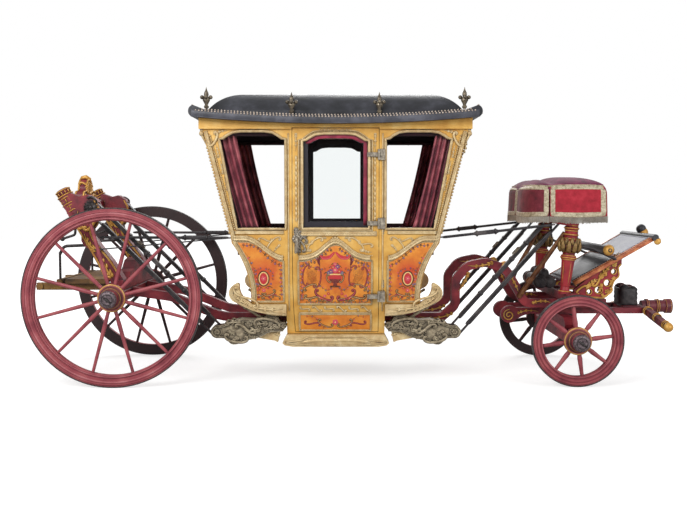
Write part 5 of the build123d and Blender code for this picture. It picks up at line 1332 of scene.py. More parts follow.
def paint_quarter(side, end):
    """An oval between scrolls, in a border of flowers, on a quarter panel."""
    brush = Palette(side, end)
    mid, z = 0.690, 1.020
    for tall, wide, colour, layer in ((0.078, 0.058, "umber", 1), (0.066, 0.047, "pale", 2),
                                      (0.055, 0.037, "red", 3)):
        ring = [(mid + wide * cos(2 * pi * k / 20), z + tall * sin(2 * pi * k / 20)) for k in range(20)]
        place = brush.place(layer)
        brush.forms[colour].join([place(x, v, 0.001) for x, v in ring] + [place(mid, z, 0.0022)],
                                 [(k, (k + 1) % 20, 20) for k in range(20)])
    brush.bloom("rose", (mid, z), 0.024, 5)
    for flip in (-1, 1):
        m = lambda x, v: (mid + flip * x, v)
        brush.curl("umber", m(0.012, 0.868), m(0.100, 0.905), 0.015, flip=flip < 0)
        brush.curl("wine", m(0.052, 0.835), m(0.115, 0.850), 0.012, "rose", flip=flip > 0)
        brush.sprig(smooth([m(0.014, 1.118), m(0.060, 1.105), m(0.092, 1.060), m(0.085, 1.000)], 4), 0.012)
        brush.line("green", smooth([m(0.010, 0.925), m(0.050, 0.945), m(0.085, 0.930)], 4), 0.010, 1)
        brush.bloom("red", m(0.040, 0.930), 0.013)
        brush.bloom("violet", m(0.068, 0.968), 0.012)
    brush.bloom("rose", (mid, 0.905), 0.018)
    inner = PILLAR_HALF + 0.048
    brush.sprig(wave((inner, 0.845), (inner, 1.165), 17, 0.005), 0.017)
    outer = [(cabin_half(0.83 + 0.026 * i) - 0.075 + 0.004 * sin(pi * 0.5 * i), 0.83 + 0.026 * i)
             for i in range(18)]
    brush.sprig(outer, 0.017)
    reach = 0.895 - inner
    brush.sprig([(inner + reach * k / 22, quarter_top(k / 22) - 0.030 - 0.004 * sin(pi * 0.5 * k))
                 for k in range(23)], 0.017, ("umber", "violet", "wine", "blue"))
    for k in range(3):
        brush.curl("umber", (inner + 0.015 + 0.085 * k, 0.822), (inner + 0.082 + 0.085 * k, 0.836), 0.010,
                   flip=k % 2 == 0)
    return brush


def paint_end(end):
    """Urns of flowers, scrolls and borders on an end wall's two fields."""
    brush = EndPalette(1, end)
    paint_urn(brush, 0.0, 1.860, 0.340)
    for flip in (-1, 1):
        m = lambda y, z: (flip * y, z)
        brush.curl("umber", m(0.150, 1.640), m(0.430, 1.740), 0.030, flip=flip < 0)
        brush.curl("wine", m(0.060, 1.590), m(0.330, 1.605), 0.026, "rose", flip=flip > 0, kind="S")
        brush.curl("umber", m(0.230, 2.190), m(0.460, 2.080), 0.026, flip=flip > 0)
        brush.curl("wine", m(0.400, 1.990), m(0.440, 1.800), 0.022, "rose", flip=flip > 0)
        brush.sprig(smooth([m(0.040, 2.230), m(0.130, 2.150), m(0.250, 2.110), m(0.330, 2.000),
                            m(0.320, 1.880)], 5), 0.026)
        brush.sprig(wave(m(0.520, 1.580), m(0.520, 2.200), 25, 0.008), 0.024)
        # the lower field
        brush.curl("umber", m(0.090, 0.955), m(0.270, 1.060), 0.022, flip=flip < 0)
        brush.curl("wine", m(0.060, 0.900), m(0.260, 0.925), 0.020, "rose", flip=flip > 0, kind="S")
        brush.curl("umber", m(0.300, 1.140), m(0.440, 1.010), 0.020, flip=flip > 0)
        brush.sprig(smooth([m(0.030, 1.240), m(0.120, 1.190), m(0.240, 1.150), m(0.330, 1.060)], 5), 0.020)
        brush.sprig(wave(m(0.515, 0.890), m(0.515, 1.180), 15, 0.006), 0.020)
    brush.sprig(wave((-0.46, 1.555), (0.46, 1.555), 31, 0.005), 0.020, ("umber", "violet", "red", "blue"))
    brush.sprig(wave((-0.46, 0.875), (0.46, 0.875), 31, 0.005), 0.018, ("umber", "violet", "red", "blue"))
    paint_urn(brush, 0.0, 1.075, 0.200)
    return brush


def build_paintings():
    for end, place in ((1, "front"), (-1, "rear")):
        paint_end(end).finish("end_painting_" + place, "coach")
    for side, name in SIDES:
        paint_door(side).finish("door_painting_" + name, "door_" + name)
        for end, place in ((1, "front"), (-1, "rear")):
            paint_quarter(side, end).finish("quarter_painting_" + place + "_" + name, "coach")


# Roof

EAVE_HALF, EAVE_Y = 1.345, 0.880
EAVE_MID, EAVE_RISE, EAVE_T = 2.487, 0.062, 0.075


def eave_z(x):
    """Lower edge of the roof's band at a distance from the cabin's middle."""
    return EAVE_MID + EAVE_RISE * (x / EAVE_HALF) ** 2


def build_roof():
    """Grey hide bound round the eave with piping along its lower edge, and nails in two rows."""
    band = Form()
    for side in (-1, 1):
        rows = []
        for share, lift in ((-0.02, 0.001), (0.06, 0.005), (0.5, 0.008), (0.80, 0.005), (0.86, 0.001)):
            rows.append([(CABIN_X + x, side * (EAVE_Y + lift), eave_z(x) + share * EAVE_T)
                         for x in [-1.34 + 0.067 * i for i in range(41)]])
        band.grid(rows)
        band.tube([(CABIN_X + x, side * (EAVE_Y + 0.002), eave_z(x) + 0.002) for x in
                   [-1.345 + 0.0538 * i for i in range(51)]], 0.006, 6)
    band.piece("roof_edge_hide", "coach", EDGE_LEATHER, "black_leather")

    lines = []
    for side in (-1, 1):
        xs = [-1.30 + 0.05 * i for i in range(53)]
        lines.append([(CABIN_X + x, side * (EAVE_Y + 0.007), eave_z(x) + 0.060) for x in xs])
        lines.append([(CABIN_X + x, side * (EAVE_Y - 0.004), eave_z(x) + EAVE_T + 0.001) for x in
                      [-1.24 + 0.05 * i for i in range(51)]])
    for end in (-1, 1):
        x = EAVE_HALF + 0.018
        lines.append([(CABIN_X + end * x, -0.87 + 0.06 * i, EAVE_MID + EAVE_RISE + 0.030)
                      for i in range(30)])
        x = EAVE_HALF - 0.012
        lines.append([(CABIN_X + end * x, -0.87 + 0.06 * i, EAVE_MID + EAVE_RISE + EAVE_T + 0.029)
                      for i in range(30)])
    along("roof_nails", lines, BEADS, "coach", NAIL, "gilt_iron", Radius=0.0088, Spacing=0.030, Seed=2,
          Sides=8, Rings=5)


# Soft goods

BRAID_SECTION = ((-1.0, 0.0), (-0.9, 0.9), (-0.5, 0.75), (0.0, 1.0), (0.5, 0.75), (0.9, 0.9), (1.0, 0.0))
SEAT_X0, SEAT_X1, SEAT_Y = 1.600, 2.330, 0.665
SKIRT_LOW, SKIRT_TOP = 1.612, 1.920
CROWN_TOP = 2.004


def cloth(form, name, material, slot, thick, body="coach"):
    """A sheet: its flat size is its own area over its height, as it was cut."""
    piece = form.piece(name, body, material, slot)
    solid = piece.modifiers.new("thickness", "SOLIDIFY")
    solid.thickness = thick
    solid.offset = 0.0
    plain_mesh(piece)
    for face in piece.data.polygons:
        face.use_smooth = True
    seat(piece, body, material, slot)
    return piece


def seat_outline(inset=0.0, count=160):
    """Points round the driver's seat from the front right corner, the right side and the back."""
    x0, x1, y = SEAT_X0 + inset, SEAT_X1 - inset, SEAT_Y - inset
    bend = x0 + 0.19
    half = [(bend, -y), (x0 + 0.105, -0.965 * y), (x0 + 0.045, -0.84 * y), (x0 + 0.014, -0.66 * y),
            (x0, -0.45 * y), (x0 + 0.004, -0.24 * y), (x0 + 0.014, 0.0)]
    back = smooth(half + [(px, -py) for px, py in reversed(half[:-1])], 6)
    ring = [(x1 + (bend - x1) * t, -y) for t in (0.0, 0.25, 0.5, 0.75)] + back
    ring += [(bend + (x1 - bend) * t, y) for t in (0.25, 0.5, 0.75, 1.0)]
    ring += [(x1, y - 2 * y * t) for t in (0.2, 0.4, 0.6, 0.8)]
    total = sum(hypot(ring[i][0] - ring[i - 1][0], ring[i][1] - ring[i - 1][1]) for i in range(len(ring)))
    out, at, walked = [], 0, 0.0
    for k in range(count):
        goal = total * k / count
        while True:
            a, b = ring[at], ring[(at + 1) % len(ring)]
            run = hypot(b[0] - a[0], b[1] - a[1])
            if walked + run >= goal or at == len(ring) - 1:
                break
            walked += run
            at += 1
        t = (goal - walked) / run if run else 0
        out.append((a[0] + (b[0] - a[0]) * t, a[1] + (b[1] - a[1]) * t))
    return out


def outward(ring, i):
    (ax, ay), (bx, by) = ring[i - 1], ring[(i + 1) % len(ring)]
    run = hypot(bx - ax, by - ay) or 1.0
    return ((ay - by) / run, (bx - ax) / run)


def build_hammercloth():
    """Velvet flaps with silver braid and fringe, hung round the driver's cushion."""
    ring = seat_outline()
    count = len(ring)
    rng = random.Random(11)

    def at(i, z, out):
        i %= count
        nx, ny = outward(ring, i)
        return Vector((ring[i][0] + nx * out, ring[i][1] + ny * out, z))

    side = [i for i in range(count) if ring[i][1] < -SEAT_Y + 0.001]
    s0, s1 = side[0], side[-1]
    back_mid = min(range(count), key=lambda i: abs(ring[i][1]) + (10 if ring[i][0] > 2 else 0))
    far = [i for i in range(count) if ring[i][1] > SEAT_Y - 0.001]
    front0 = far[-1]
    flaps = (
        ("side_right", s0 + 0.2, s1 - 0.1), ("back_right", s1 + 0.3, back_mid - 0.2),
        ("back_left", back_mid + 0.2, far[0] - 0.3), ("side_left", far[0] + 0.1, front0 - 0.2),
        ("front", front0 + 0.2, count - 0.2),
    )
    braid = Form()
    fringe_lines, cord_lines = [], []
    for name, i0, i1 in flaps:
        span = i1 - i0
        phase = rng.random() * 6
        form = Form()
        rows = []

        def surface_at(u, z, lift=0.0):
            i = i0 + u * span
            k = int(i)
            rise = (z - SKIRT_LOW) / (SKIRT_TOP - SKIRT_LOW)
            drop = 1 - rise
            # the cloth rolls in over the cushion's shoulder, and its corners sit lower
            shoulder = max(0.0, (rise - 0.76) / 0.24)
            fold = 0.005 * drop * sin(9.0 * u * (1 + 0.2 * sin(phase)) + phase) + 0.016 * drop
            out = 0.004 + fold + lift - 0.042 * shoulder ** 2
            high = z - 0.010 * rise * abs(2 * u - 1) ** 3 - 0.012 * drop * sin(pi * u)
            return at(k, high, out).lerp(at(k + 1, high, out), i - k)

        steps = max(18, int(span))
        for row in range(15):
            z = SKIRT_TOP - (SKIRT_TOP - SKIRT_LOW) * row / 14
            rows.append([surface_at(c / steps, z) for c in range(steps + 1)])
        form.grid(rows)
        cloth(form, "hammercloth_" + name, VELVET if name.startswith("side") or name == "front"
              else BACK_VELVET, "crimson_velvet", 0.006)
        length = sum((surface_at((c + 1) / steps, 1.7) - surface_at(c / steps, 1.7)).length
                     for c in range(steps))
        wide = 0.046
        place = lambda u, v, lift: surface_at(min(max(u / length, 0.0), 1.0), v, lift + 0.003)
        lo, hi = SKIRT_LOW + 0.026, SKIRT_TOP - 0.022
        border = [(0.026 + (length - 0.052) * t / 24, lo) for t in range(25)]
        border += [(length - 0.026, lo + (hi - lo) * t / 12) for t in range(1, 13)]
        border += [(length - 0.026 - (length - 0.052) * t / 24, hi) for t in range(1, 25)]
        border += [(0.026, hi - (hi - lo) * t / 12) for t in range(1, 12)]
        stroke(braid, border, wide, 0.003, place, BRAID_SECTION, closed=True)
        fringe_lines.append([surface_at(c / steps, SKIRT_LOW + 0.003, 0.004) for c in range(steps + 1)])
        cord_lines.append([surface_at(c / steps, SKIRT_TOP - 0.006, 0.006) for c in range(steps + 1)])
    braid.piece("hammercloth_braid", "coach", BRAID, "crimson_velvet")
    along("hammercloth_fringe", fringe_lines, FRINGE, "coach", FRINGE_SILK, "crimson_velvet",
          Radius=0.0030, Drop=0.058, Spacing=0.0065, Seed=5)
    along("hammercloth_cord", cord_lines, BEADS, "coach", BRAID, "crimson_velvet",
          Radius=0.0065, Spacing=0.011, Seed=6)


def build_driver_cushion():
    """A crowned pad with two lobes and a valley between them, inside the flaps."""
    ring = seat_outline()
    count = len(ring)
    pad = Form()
    cx = (SEAT_X0 + SEAT_X1) / 2 + 0.03

    def crown(x, r):
        lobe = 0.5 - 0.5 * cos(2 * pi * min(max((x - SEAT_X0) / (SEAT_X1 - SEAT_X0) / 0.36, 0.0), 1.0)) \
            if x < SEAT_X0 + 0.36 * (SEAT_X1 - SEAT_X0) else 1.0
        valley = 1.0 - 0.36 * bell(x - 1.84, 0.065)
        return (1 - r ** 2.6) ** 0.62 * (0.84 + 0.16 * lobe) * valley

    levels = [(1.0, 0.0), (1.0, 0.25)] + [(1 - 0.055 * k, None) for k in range(1, 18)]
    low_z = SKIRT_TOP - 0.095
    rows = [[(cx + (px - cx) * 0.985, py * 0.985, low_z) for px, py in ring]]
    for r, fixed in levels:
        row = []
        for px, py in ring:
            x, y = cx + (px - cx) * r, py * r
            high = 0.012 * (fixed if fixed is not None else 1)
            high += (CROWN_TOP - SKIRT_TOP + 0.035) * crown(x, min(r, 1.0))
            row.append((x, y, SKIRT_TOP - 0.047 + high))
        rows.append(row)
    pad.grid(rows, closed_rows=True)
    last = rows[-1]
    pad.join(last + [(cx, 0.0, last[0][2])], [(k, (k + 1) % count, count) for k in range(count)])
    pad.join(rows[0] + [(cx, 0.0, low_z)], [((k + 1) % count, k, count) for k in range(count)])
    cushion = pad.piece("driver_cushion", "coach", DARK_VELVET, "crimson_velvet")
    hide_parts("hammercloth")


def build_curtains():
    """Silk curtains drawn to the outer ends of the quarter windows, in rounded folds."""
    replaced = False
    for side, name in SIDES:
        for end, place in ((1, "front"), (-1, "rear")):
            form = Form()
            rows = []
            for row in range(25):
                v = row / 24
                z = 2.415 - 0.93 * v
                inner = 0.955 - 0.225 * v + 0.015 * sin(pi * v)
                outer = cabin_half(z) - 0.066
                line = []
                for c in range(73):
                    u = c / 72
                    # rounded ridges with sharp valleys, fuller below
                    sweep = 2 * pi * 4.5 * (u + 0.05 * sin(2.6 * v + end)) + 0.9 * sin(5 * u + 2 * v)
                    fold = (0.034 * abs(sin(sweep / 2)) - 0.017) * (0.7 + 0.3 * v)
                    x = inner + (outer - inner) * (u + 0.02 * sin(sweep) * min(1.0, 4 * u * (1 - u)))
                    line.append((CABIN_X + end * x, side * (CABIN_Y - 0.066 + fold), z))
                rows.append(line)
            form.grid(rows)
            piece = cloth(form, "curtain_" + place + "_" + name, SILK, "crimson_velvet", 0.0015)
            if not replaced:
                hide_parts("curtains")
                replaced = True


def build_window_silk():
    """Crimson silk on each sash's head and hinge stile, and rolled blinds over the quarter windows."""
    for side, name in SIDES:
        form = Form()
        outline = arch(-0.285, 0.285, 1.530, 2.322, 0.052)
        stroke(form, outline[8:34], 0.044, 0.005, side_place(side, 0.748 - CABIN_Y), BRAID_SECTION)
        form.piece("sash_silk_" + name, "door_" + name, PELMET, "crimson_velvet")
    blinds = Form()
    for side, _ in SIDES:
        for end in (-1, 1):
            at = lambda k: (CABIN_X + end * (0.492 + 0.055 * k), side * (CABIN_Y - 0.066), 2.398)
            blinds.tube([at(k) for k in range(12)], 0.021, 14)
            for k in (0.7, 5.5, 10.3):
                hoop(blinds, at(k), (1, 0, 0), 0.022, 0.003, 6, 20)
    blinds.piece("rolled_blinds", "coach", LINING_IN_SHADE, "crimson_velvet")


BUTTONS_ACROSS = (0.125, 0.375, 0.625, 0.875)
BUTTON_PULL = 2.2


def dent_at(u, v, button_rows, tightness):
    """How far the buttons pull the cover in, summed over all of them."""
    return sum(2.718 ** (-(((u - bu) * 9) ** 2 + ((v - bv) * tightness) ** 2) * BUTTON_PULL)
               for bu in BUTTONS_ACROSS for bv in button_rows)


def build_bench_cushions(buttons):
    """Buttoned bench cushions, crowned, and pulled in at their buttons."""
    low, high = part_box("bench_cushions")
    form = Form()
    for end in (-1, 1):
        x1 = high.x - CABIN_X
        x0 = x1 - 0.38
        columns, depth_rows = 36, 16
        ring_rows = []
        for j in range(depth_rows + 1):
            v = j / depth_rows
            line = []
            for i in range(columns + 1):
                u = i / columns
                edge = (1 - abs(2 * u - 1) ** 6) * (1 - abs(2 * v - 1) ** 6)
                dent = dent_at(u, v, (0.3, 0.7), 4)
                z = low.z + 0.055 + 0.055 * edge ** 0.5 - 0.022 * dent
                x = x0 + (x1 - x0) * v
                line.append((CABIN_X + end * x, -0.595 + 1.19 * u, z))
            ring_rows.append(line)
        form.grid(ring_rows)
        form.grid([[(p[0], p[1], low.z + 0.001) for p in line] for line in ring_rows])
        skirt = ring_rows[0] + [r[-1] for r in ring_rows[1:]] + ring_rows[-1][-2::-1] + \
            [r[0] for r in ring_rows[-2:0:-1]]
        form.grid([skirt, [(p[0], p[1], low.z + 0.03) for p in skirt],
                   [(p[0], p[1], low.z + 0.001) for p in skirt]], closed_rows=True)
        for bu in BUTTONS_ACROSS:
            for bv in (0.3, 0.7):
                at = (CABIN_X + end * (x0 + (x1 - x0) * bv), -0.595 + 1.19 * bu)
                button(buttons, at, 0.011, 0.008, lambda u, v, h: Vector((u, v, low.z + 0.088 + h)))
    cushion = form.piece("bench_cushions_buttoned", "coach", VELVET, "crimson_velvet")
    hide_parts("bench_cushions")


def build_seat_backs(buttons):
    """Backs against the end walls, from the cushion to above the window sill."""
    backs = Form()
    for end in (-1, 1):
        for layer in (0, 1):
            rows = []
            for j in range(21):
                v = j / 20
                z = 1.23 + 0.90 * v
                line = []
                for i in range(33):
                    u = i / 32
                    edge = (1 - abs(2 * u - 1) ** 8) * (1 - abs(2 * v - 1) ** 8)
                    dent = dent_at(u, v, (0.2, 0.5, 0.8), 6)
                    puff = (0.045 * edge ** 0.5 - 0.024 * dent) if layer else 0.0
                    inner = min(cabin_half(z), cabin_half(1.36) + 0.001) if z < 1.43 else cabin_half(z)
                    line.append((CABIN_X + end * (inner - 0.050 - 0.004 - puff), -0.59 + 1.18 * u, z))
                rows.append(line)
            backs.grid(rows)
        for bu in BUTTONS_ACROSS:
            for bv in (0.2, 0.5, 0.8):
                z = 1.23 + 0.90 * bv
                x = cabin_half(max(z, 1.37)) - 0.076
                button(buttons, (-0.59 + 1.18 * bu, z), 0.011, 0.008,
                       lambda u, v, h, x=x, e=end: Vector((CABIN_X + e * (x - h), u, v)))
    back = backs.piece("seat_backs_buttoned", "coach", BACK_VELVET, "crimson_velvet")


def build_cushions():
    buttons = Form()
    build_bench_cushions(buttons)
    build_seat_backs(buttons)
    buttons.piece("seat_buttons", "coach", DARK_VELVET, "crimson_velvet")


# Wheels and carriage

WHEELS = (
    # body, axle X, radius, rim face Y, felloe
    ("wheel_rear_left", -2.370, 0.850, 0.936, 0.108),
    ("wheel_rear_right", -2.370, 0.850, -0.936, 0.108),
    ("wheel_front_left", 2.030, 0.437, 0.896, 0.090),
    ("wheel_front_right", 2.030, 0.437, -0.896, 0.090),
)


def wheel_places():
    """Each wheel's side, face and hub end, read from its own nodes."""
    for body, x, radius, face, felloe in WHEELS:
        side = 1 if face > 0 else -1
        low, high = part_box(body + "_wood")
        hub = max(abs(low.y), abs(high.y))
        low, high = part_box(body + "_irons")
        cap = max(abs(low.y), abs(high.y))
        yield body, x, radius, side, abs(face), hub, cap, felloe


def build_wheels():
    """Mouldings on the rims, lighter as painted highlight lines, gilt rings and a turned shell on the naves,
    and worn iron caps.
    """
    for body, x, radius, side, face, hub, cap, felloe in wheel_places():
        centre = lambda y: (x, side * y, radius)
        inner = radius - 0.012 - felloe
        mouldings = Form()
        steps = ((0.16, 0.005), (0.62, 0.010)) if felloe > 0.1 else ((0.12, 0.005),)
        for share, thick in steps:
            hoop(mouldings, centre(face - 0.001), (0, 1, 0), inner + share * felloe, thick, 8, 120, 0.42)
        # painted highlight: the rim mouldings take the lighter lacquer
        mouldings.piece(body + "_mouldings", body, RIM_HIGHLIGHT_LACQUER, "painted_wood")

        seat_y = hub - 0.130
        gilt = Form()
        hoop(gilt, centre(seat_y + 0.021), (0, 1, 0), 0.124, 0.0090, 8, 56)
        hoop(gilt, centre(seat_y + 0.058), (0, 1, 0), 0.092, 0.0050, 8, 48)
        gilt.piece(body + "_gilding", body, HUB_GOLD, GILT)
        nave = Form()
        profile = ((0.022, 0.114), (0.030, 0.112), (0.038, 0.101), (0.052, 0.097), (0.058, 0.091),
                   (0.064, 0.094), (0.072, 0.088), (0.086, 0.084))
        nave.grid([[(u, side * (seat_y + y), v) for u, v in circle((x, radius), r, 48)] for y, r in profile],
                  closed_rows=True)
        nave.piece(body + "_nave_shell", body, UMBER_RED, "painted_wood")

        # the cap: a worn iron thimble with a linchpin's slot and the pin's head in it
        iron = Form()
        thimble = ((-0.040, 0.080), (-0.036, 0.083), (-0.012, 0.080), (-0.002, 0.074), (0.004, 0.060),
                   (0.005, 0.040), (0.003, 0.020), (0.003, 0.001))
        iron.grid([[(u, side * (cap + y), v) for u, v in circle((x, radius), r, 40)] for y, r in thimble],
                  closed_rows=True)
        iron.piece(body + "_cap", body, CAP_IRON, "wrought_iron")
        pin = Form()
        hoop(pin, centre(cap + 0.006), (0, 1, 0), 0.050, 0.004, 6, 28)
        pin.tube([(x - 0.030, side * (cap + 0.008), radius + 0.020),
                  (x + 0.034, side * (cap + 0.008), radius - 0.026)], 0.009, 8)
        pin.tube([centre(cap + 0.004), centre(cap + 0.014), centre(cap + 0.018)], [0.016, 0.014, 0.006], 10)
        pin.piece(body + "_linchpin", body, IRON, "wrought_iron")


def inner_place(y, side):
    return lambda u, v, lift: Vector((u, side * (y - lift), v))


# The straps' eye on a bracket, their upper ends on the front and rear standards, the Y of both kinds
# of strap, the middle of the head block's clamp, and the brackets' inner end and faces
EYE = (CABIN_X + 1.154, 0.492)
FRONT_LOOP = (1.885, 1.610)
REAR_LOOP = (-2.620, 1.700)
STRAP_Y = 0.580
CHECK_Y = 0.665
CLAMP_X = 2.750
BRACKET_X0 = CABIN_X + PILLAR_HALF
BRACKET_FACE = 0.645
BRACKET_BACK = 0.515


def build_brackets():
    """Acanthus carving over the strap brackets, on both faces of all four."""
    form = Form()
    run = EYE[0] - BRACKET_X0
    edge_table = ((0.02, 85), (0.10, 92), (0.16, 145), (0.28, 140), (0.40, 114), (0.52, 110), (0.66, 115),
                  (0.80, 90), (0.90, 60), (1.0, 50))
    low_table = ((1.0, -50), (0.87, -56), (0.79, -108), (0.70, -106), (0.60, -76), (0.48, -58),
                 (0.38, -40), (0.24, 8), (0.05, 16))
    # root and tip, each a share of the bracket's length and millimetres up, width, height, bend
    leaves = (
        ((0.20, 55), (0.00, 66), 0.095, 0.022, 0.1), ((0.28, 92), (0.54, 104), 0.085, 0.024, -0.2),
        ((0.38, 22), (0.62, -18), 0.095, 0.024, 0.2), ((0.62, 84), (0.95, 44), 0.090, 0.026, 0.25),
        ((0.32, 18), (0.10, 24), 0.075, 0.020, -0.2), ((0.70, -52), (0.79, -112), 0.085, 0.022, 0.0),
        ((0.55, -30), (0.42, -52), 0.065, 0.018, 0.2), ((0.14, 92), (0.19, 158), 0.085, 0.022, 0.1),
        ((0.84, 8), (0.72, -20), 0.060, 0.018, 0.2), ((0.50, 60), (0.58, 116), 0.060, 0.020, 0.0),
    )
    for side, _ in SIDES:
        for end in (1, -1):
            for place_face in (flat_place(BRACKET_FACE, side), inner_place(BRACKET_BACK, side)):
                place = lambda u, v, lift: place_face(CABIN_X + end * (u - CABIN_X), v, lift)
                at = lambda s, up: (BRACKET_X0 + s * run, EYE[1] + up / 1000)
                stroke(form, smooth([at(*p) for p in edge_table], 4), 0.022, 0.020, place, CHANNEL)
                stroke(form, smooth([at(*p) for p in low_table], 4), 0.022, 0.020, place, CHANNEL)
                volute(form, at(0.13, 50), at(0.44, 78), 0.034, 0.030, place, flip=True)
                volute(form, at(0.46, 10), at(0.72, 55), 0.036, 0.032, place, kind="S")
                volute(form, at(0.58, -55), at(0.86, -28), 0.032, 0.028, place)
                for root, tip, wide, high, bend in leaves:
                    leaf(form, at(*root), at(*tip), wide, high, place, bend=bend)
                flower(form, at(0.40, 55), 0.030, 0.032, place, 6)
                hoop_at = at(1.0, 0)
                stroke(form, circle(hoop_at, 0.045), 0.014, 0.010, place, closed=True)
                flower(form, hoop_at, 0.030, 0.012, place, 6)
    form.piece("bracket_carving", "coach", GREY_GOLD, GILT)


def build_sill_carving():
    """Volutes and leaves on the broad scrolls under the quarters, and mouldings on the bowed step."""
    form = Form()
    for side, _ in SIDES:
        for end in (1, -1):
            base = flat_place(0.735, side)
            place = lambda u, v, lift: base(CABIN_X + end * (u - CABIN_X), v, lift)
            foot = CABIN_X + FOOT_HALF
            low = smooth([(BRACKET_X0 + 0.01, 0.672), (foot - 0.08, 0.704), (foot + 0.03, 0.745),
                          (foot + 0.13, 0.800), (foot + 0.178, 0.868), (foot + 0.158, 0.945)], 6)
            stroke(form, low, 0.020, 0.013, place, CHANNEL)
            volute(form, (foot + 0.142, 0.925), (foot - 0.05, 0.745), 0.022, 0.014, place, flip=True,
                   kind="S")
            leaf(form, (foot - 0.02, 0.745), (BRACKET_X0 + 0.03, 0.725), 0.075, 0.012, place, bend=0.08)
            leaf(form, (foot + 0.03, 0.772), (foot + 0.150, 0.880), 0.060, 0.012, place, bend=-0.25)
            button(form, (foot + 0.140, 0.930), 0.016, 0.022, place)
            wedge = flat_place(0.630, side)
            place = lambda u, v, lift: wedge(CABIN_X + end * (u - CABIN_X), v, lift)
            leaf(form, (BRACKET_X0 + 0.07, 0.455), (BRACKET_X0 + 0.26, 0.480), 0.050, 0.010, place)
        # the step: a bowed moulding that rises by a small shoulder in its middle
        place = flat_place(0.660, side)
        for flip in (-1, 1):
            m = lambda x, z: (CABIN_X + flip * x, z)
            stroke(form, [m(0.0, 0.446), m(0.20, 0.446), m(0.270, 0.444), m(0.300, 0.430), m(0.325, 0.412),
                          m(0.40, 0.404), m(0.492, 0.396)], 0.014, 0.011, place)
            stroke(form, smooth([m(0.0, 0.366), m(0.20, 0.368), m(0.36, 0.376), m(0.488, 0.390)], 4),
                   0.016, 0.011, place, CHANNEL)
            stroke(form, smooth([m(0.0, 0.410), m(0.18, 0.410), m(0.27, 0.400), m(0.34, 0.390)], 4),
                   [0.034] * 9 + [0.026, 0.018, 0.010, 0.006], 0.008, place)
    form.piece("sill_and_step_carving", "coach", PALE_GOLD, GILT)


REAR_FOOT, REAR_HEAD = Vector((-2.420, 0, 1.000)), Vector((-2.912, 0, 1.858))


def column_at(share, off):
    """X and Z at a share of the raked column's length and so far in front of its middle."""
    line = REAR_HEAD - REAR_FOOT
    p = REAR_FOOT + line * share + Vector((line.z, 0, -line.x)) / line.length * off
    return (p.x, p.z)


def carve_rear_column(gilt, side):
    """Mouldings, leaves and a scroll on both faces of a column and its fork."""
    at = column_at
    for place in (flat_place(BRACKET_FACE, side), inner_place(BRACKET_BACK, side)):
        front = smooth([at(0.02, 0.074), at(0.16, 0.070), at(0.34, 0.044), at(0.46, 0.034),
                        at(0.56, 0.070), at(0.60, 0.155), at(0.66, 0.225), at(0.76, 0.235)], 4)
        back = smooth([at(0.02, -0.066), at(0.18, -0.040), at(0.38, -0.036), at(0.50, -0.040),
                       at(0.74, -0.044)], 4)
        stroke(gilt, front, 0.018, 0.011, place, CHANNEL)
        stroke(gilt, back, 0.018, 0.011, place, CHANNEL)
        leaf(gilt, at(0.03, 0.0), at(0.30, 0.01), 0.100, 0.018, place, bend=0.05)
        leaf(gilt, at(0.33, 0.0), at(0.53, -0.01), 0.085, 0.016, place)
        volute(gilt, at(0.57, 0.02), at(0.66, 0.165), 0.034, 0.020, place)
        leaf(gilt, at(0.58, -0.01), at(0.75, 0.05), 0.080, 0.016, place, bend=0.2)
        leaf(gilt, at(0.64, 0.19), at(0.70, 0.08), 0.060, 0.016, place, bend=-0.2)


def ring_rear_head(gilt, side):
    """Ring bands and reeds on a column's turned head."""
    line = REAR_HEAD - REAR_FOOT
    axis = line.normalized()
    start = REAR_FOOT + line * 0.74
    centre = Vector((0, side * STRAP_Y, 0))
    for h, r in ((0.010, 0.060), (0.044, 0.070), (0.094, 0.067), (0.118, 0.074), (0.180, 0.071),
                 (0.204, 0.078), (0.256, 0.072)):
        p = start + axis * h + centre
        hoop(gilt, p, axis, r, 0.0055, 6, 32)
    first = axis.cross(Vector((0, 1, 0))).normalized()
    for low_h, high_h, r0, r1 in ((0.050, 0.090, 0.061, 0.065), (0.124, 0.176, 0.066, 0.070),
                                  (0.210, 0.252, 0.064, 0.070)):
        for k in range(12):
            a = 2 * pi * k / 12
            out = cos(a) * first + sin(a) * Vector((0, 1, 0))
            p0 = start + axis * low_h + centre + out * r0
            p1 = start + axis * high_h + centre + out * r1
            gilt.tube([p0, (p0 + p1) / 2 + out * 0.002, p1], [0.003, 0.006, 0.003], 5)


def build_ratchets():
    """Toothed wheels and pawls that tighten the straps, on the outer faces of the forks."""
    iron = Form()
    for side, _ in SIDES:
        place = flat_place(BRACKET_FACE, side)
        teeth = 14
        ring = []
        for k in range(teeth):
            for share, r in ((0.0, 0.052), (0.75, 0.074), (0.85, 0.054)):
                a = 2 * pi * (k + share) / teeth
                ring.append((REAR_LOOP[0] + r * cos(a), REAR_LOOP[1] + r * sin(a)))
        count = len(ring)
        points = [place(u, v, lift) for lift in (0.0, 0.020) for u, v in ring]
        faces = [(k, (k + 1) % count, count + (k + 1) % count, count + k) for k in range(count)]
        faces.append(tuple(range(count, 2 * count)))
        iron.join(points, faces)
        button(iron, REAR_LOOP, 0.026, 0.040, place, 12)
        stroke(iron, smooth([(-2.655, 1.790), (-2.615, 1.800), (-2.570, 1.770), (-2.560, 1.735)], 4),
               [0.020] * 9 + [0.016, 0.012, 0.008, 0.004], 0.024, place)
    iron.piece("ratchet_wheels", "coach", IRON, "wrought_iron")


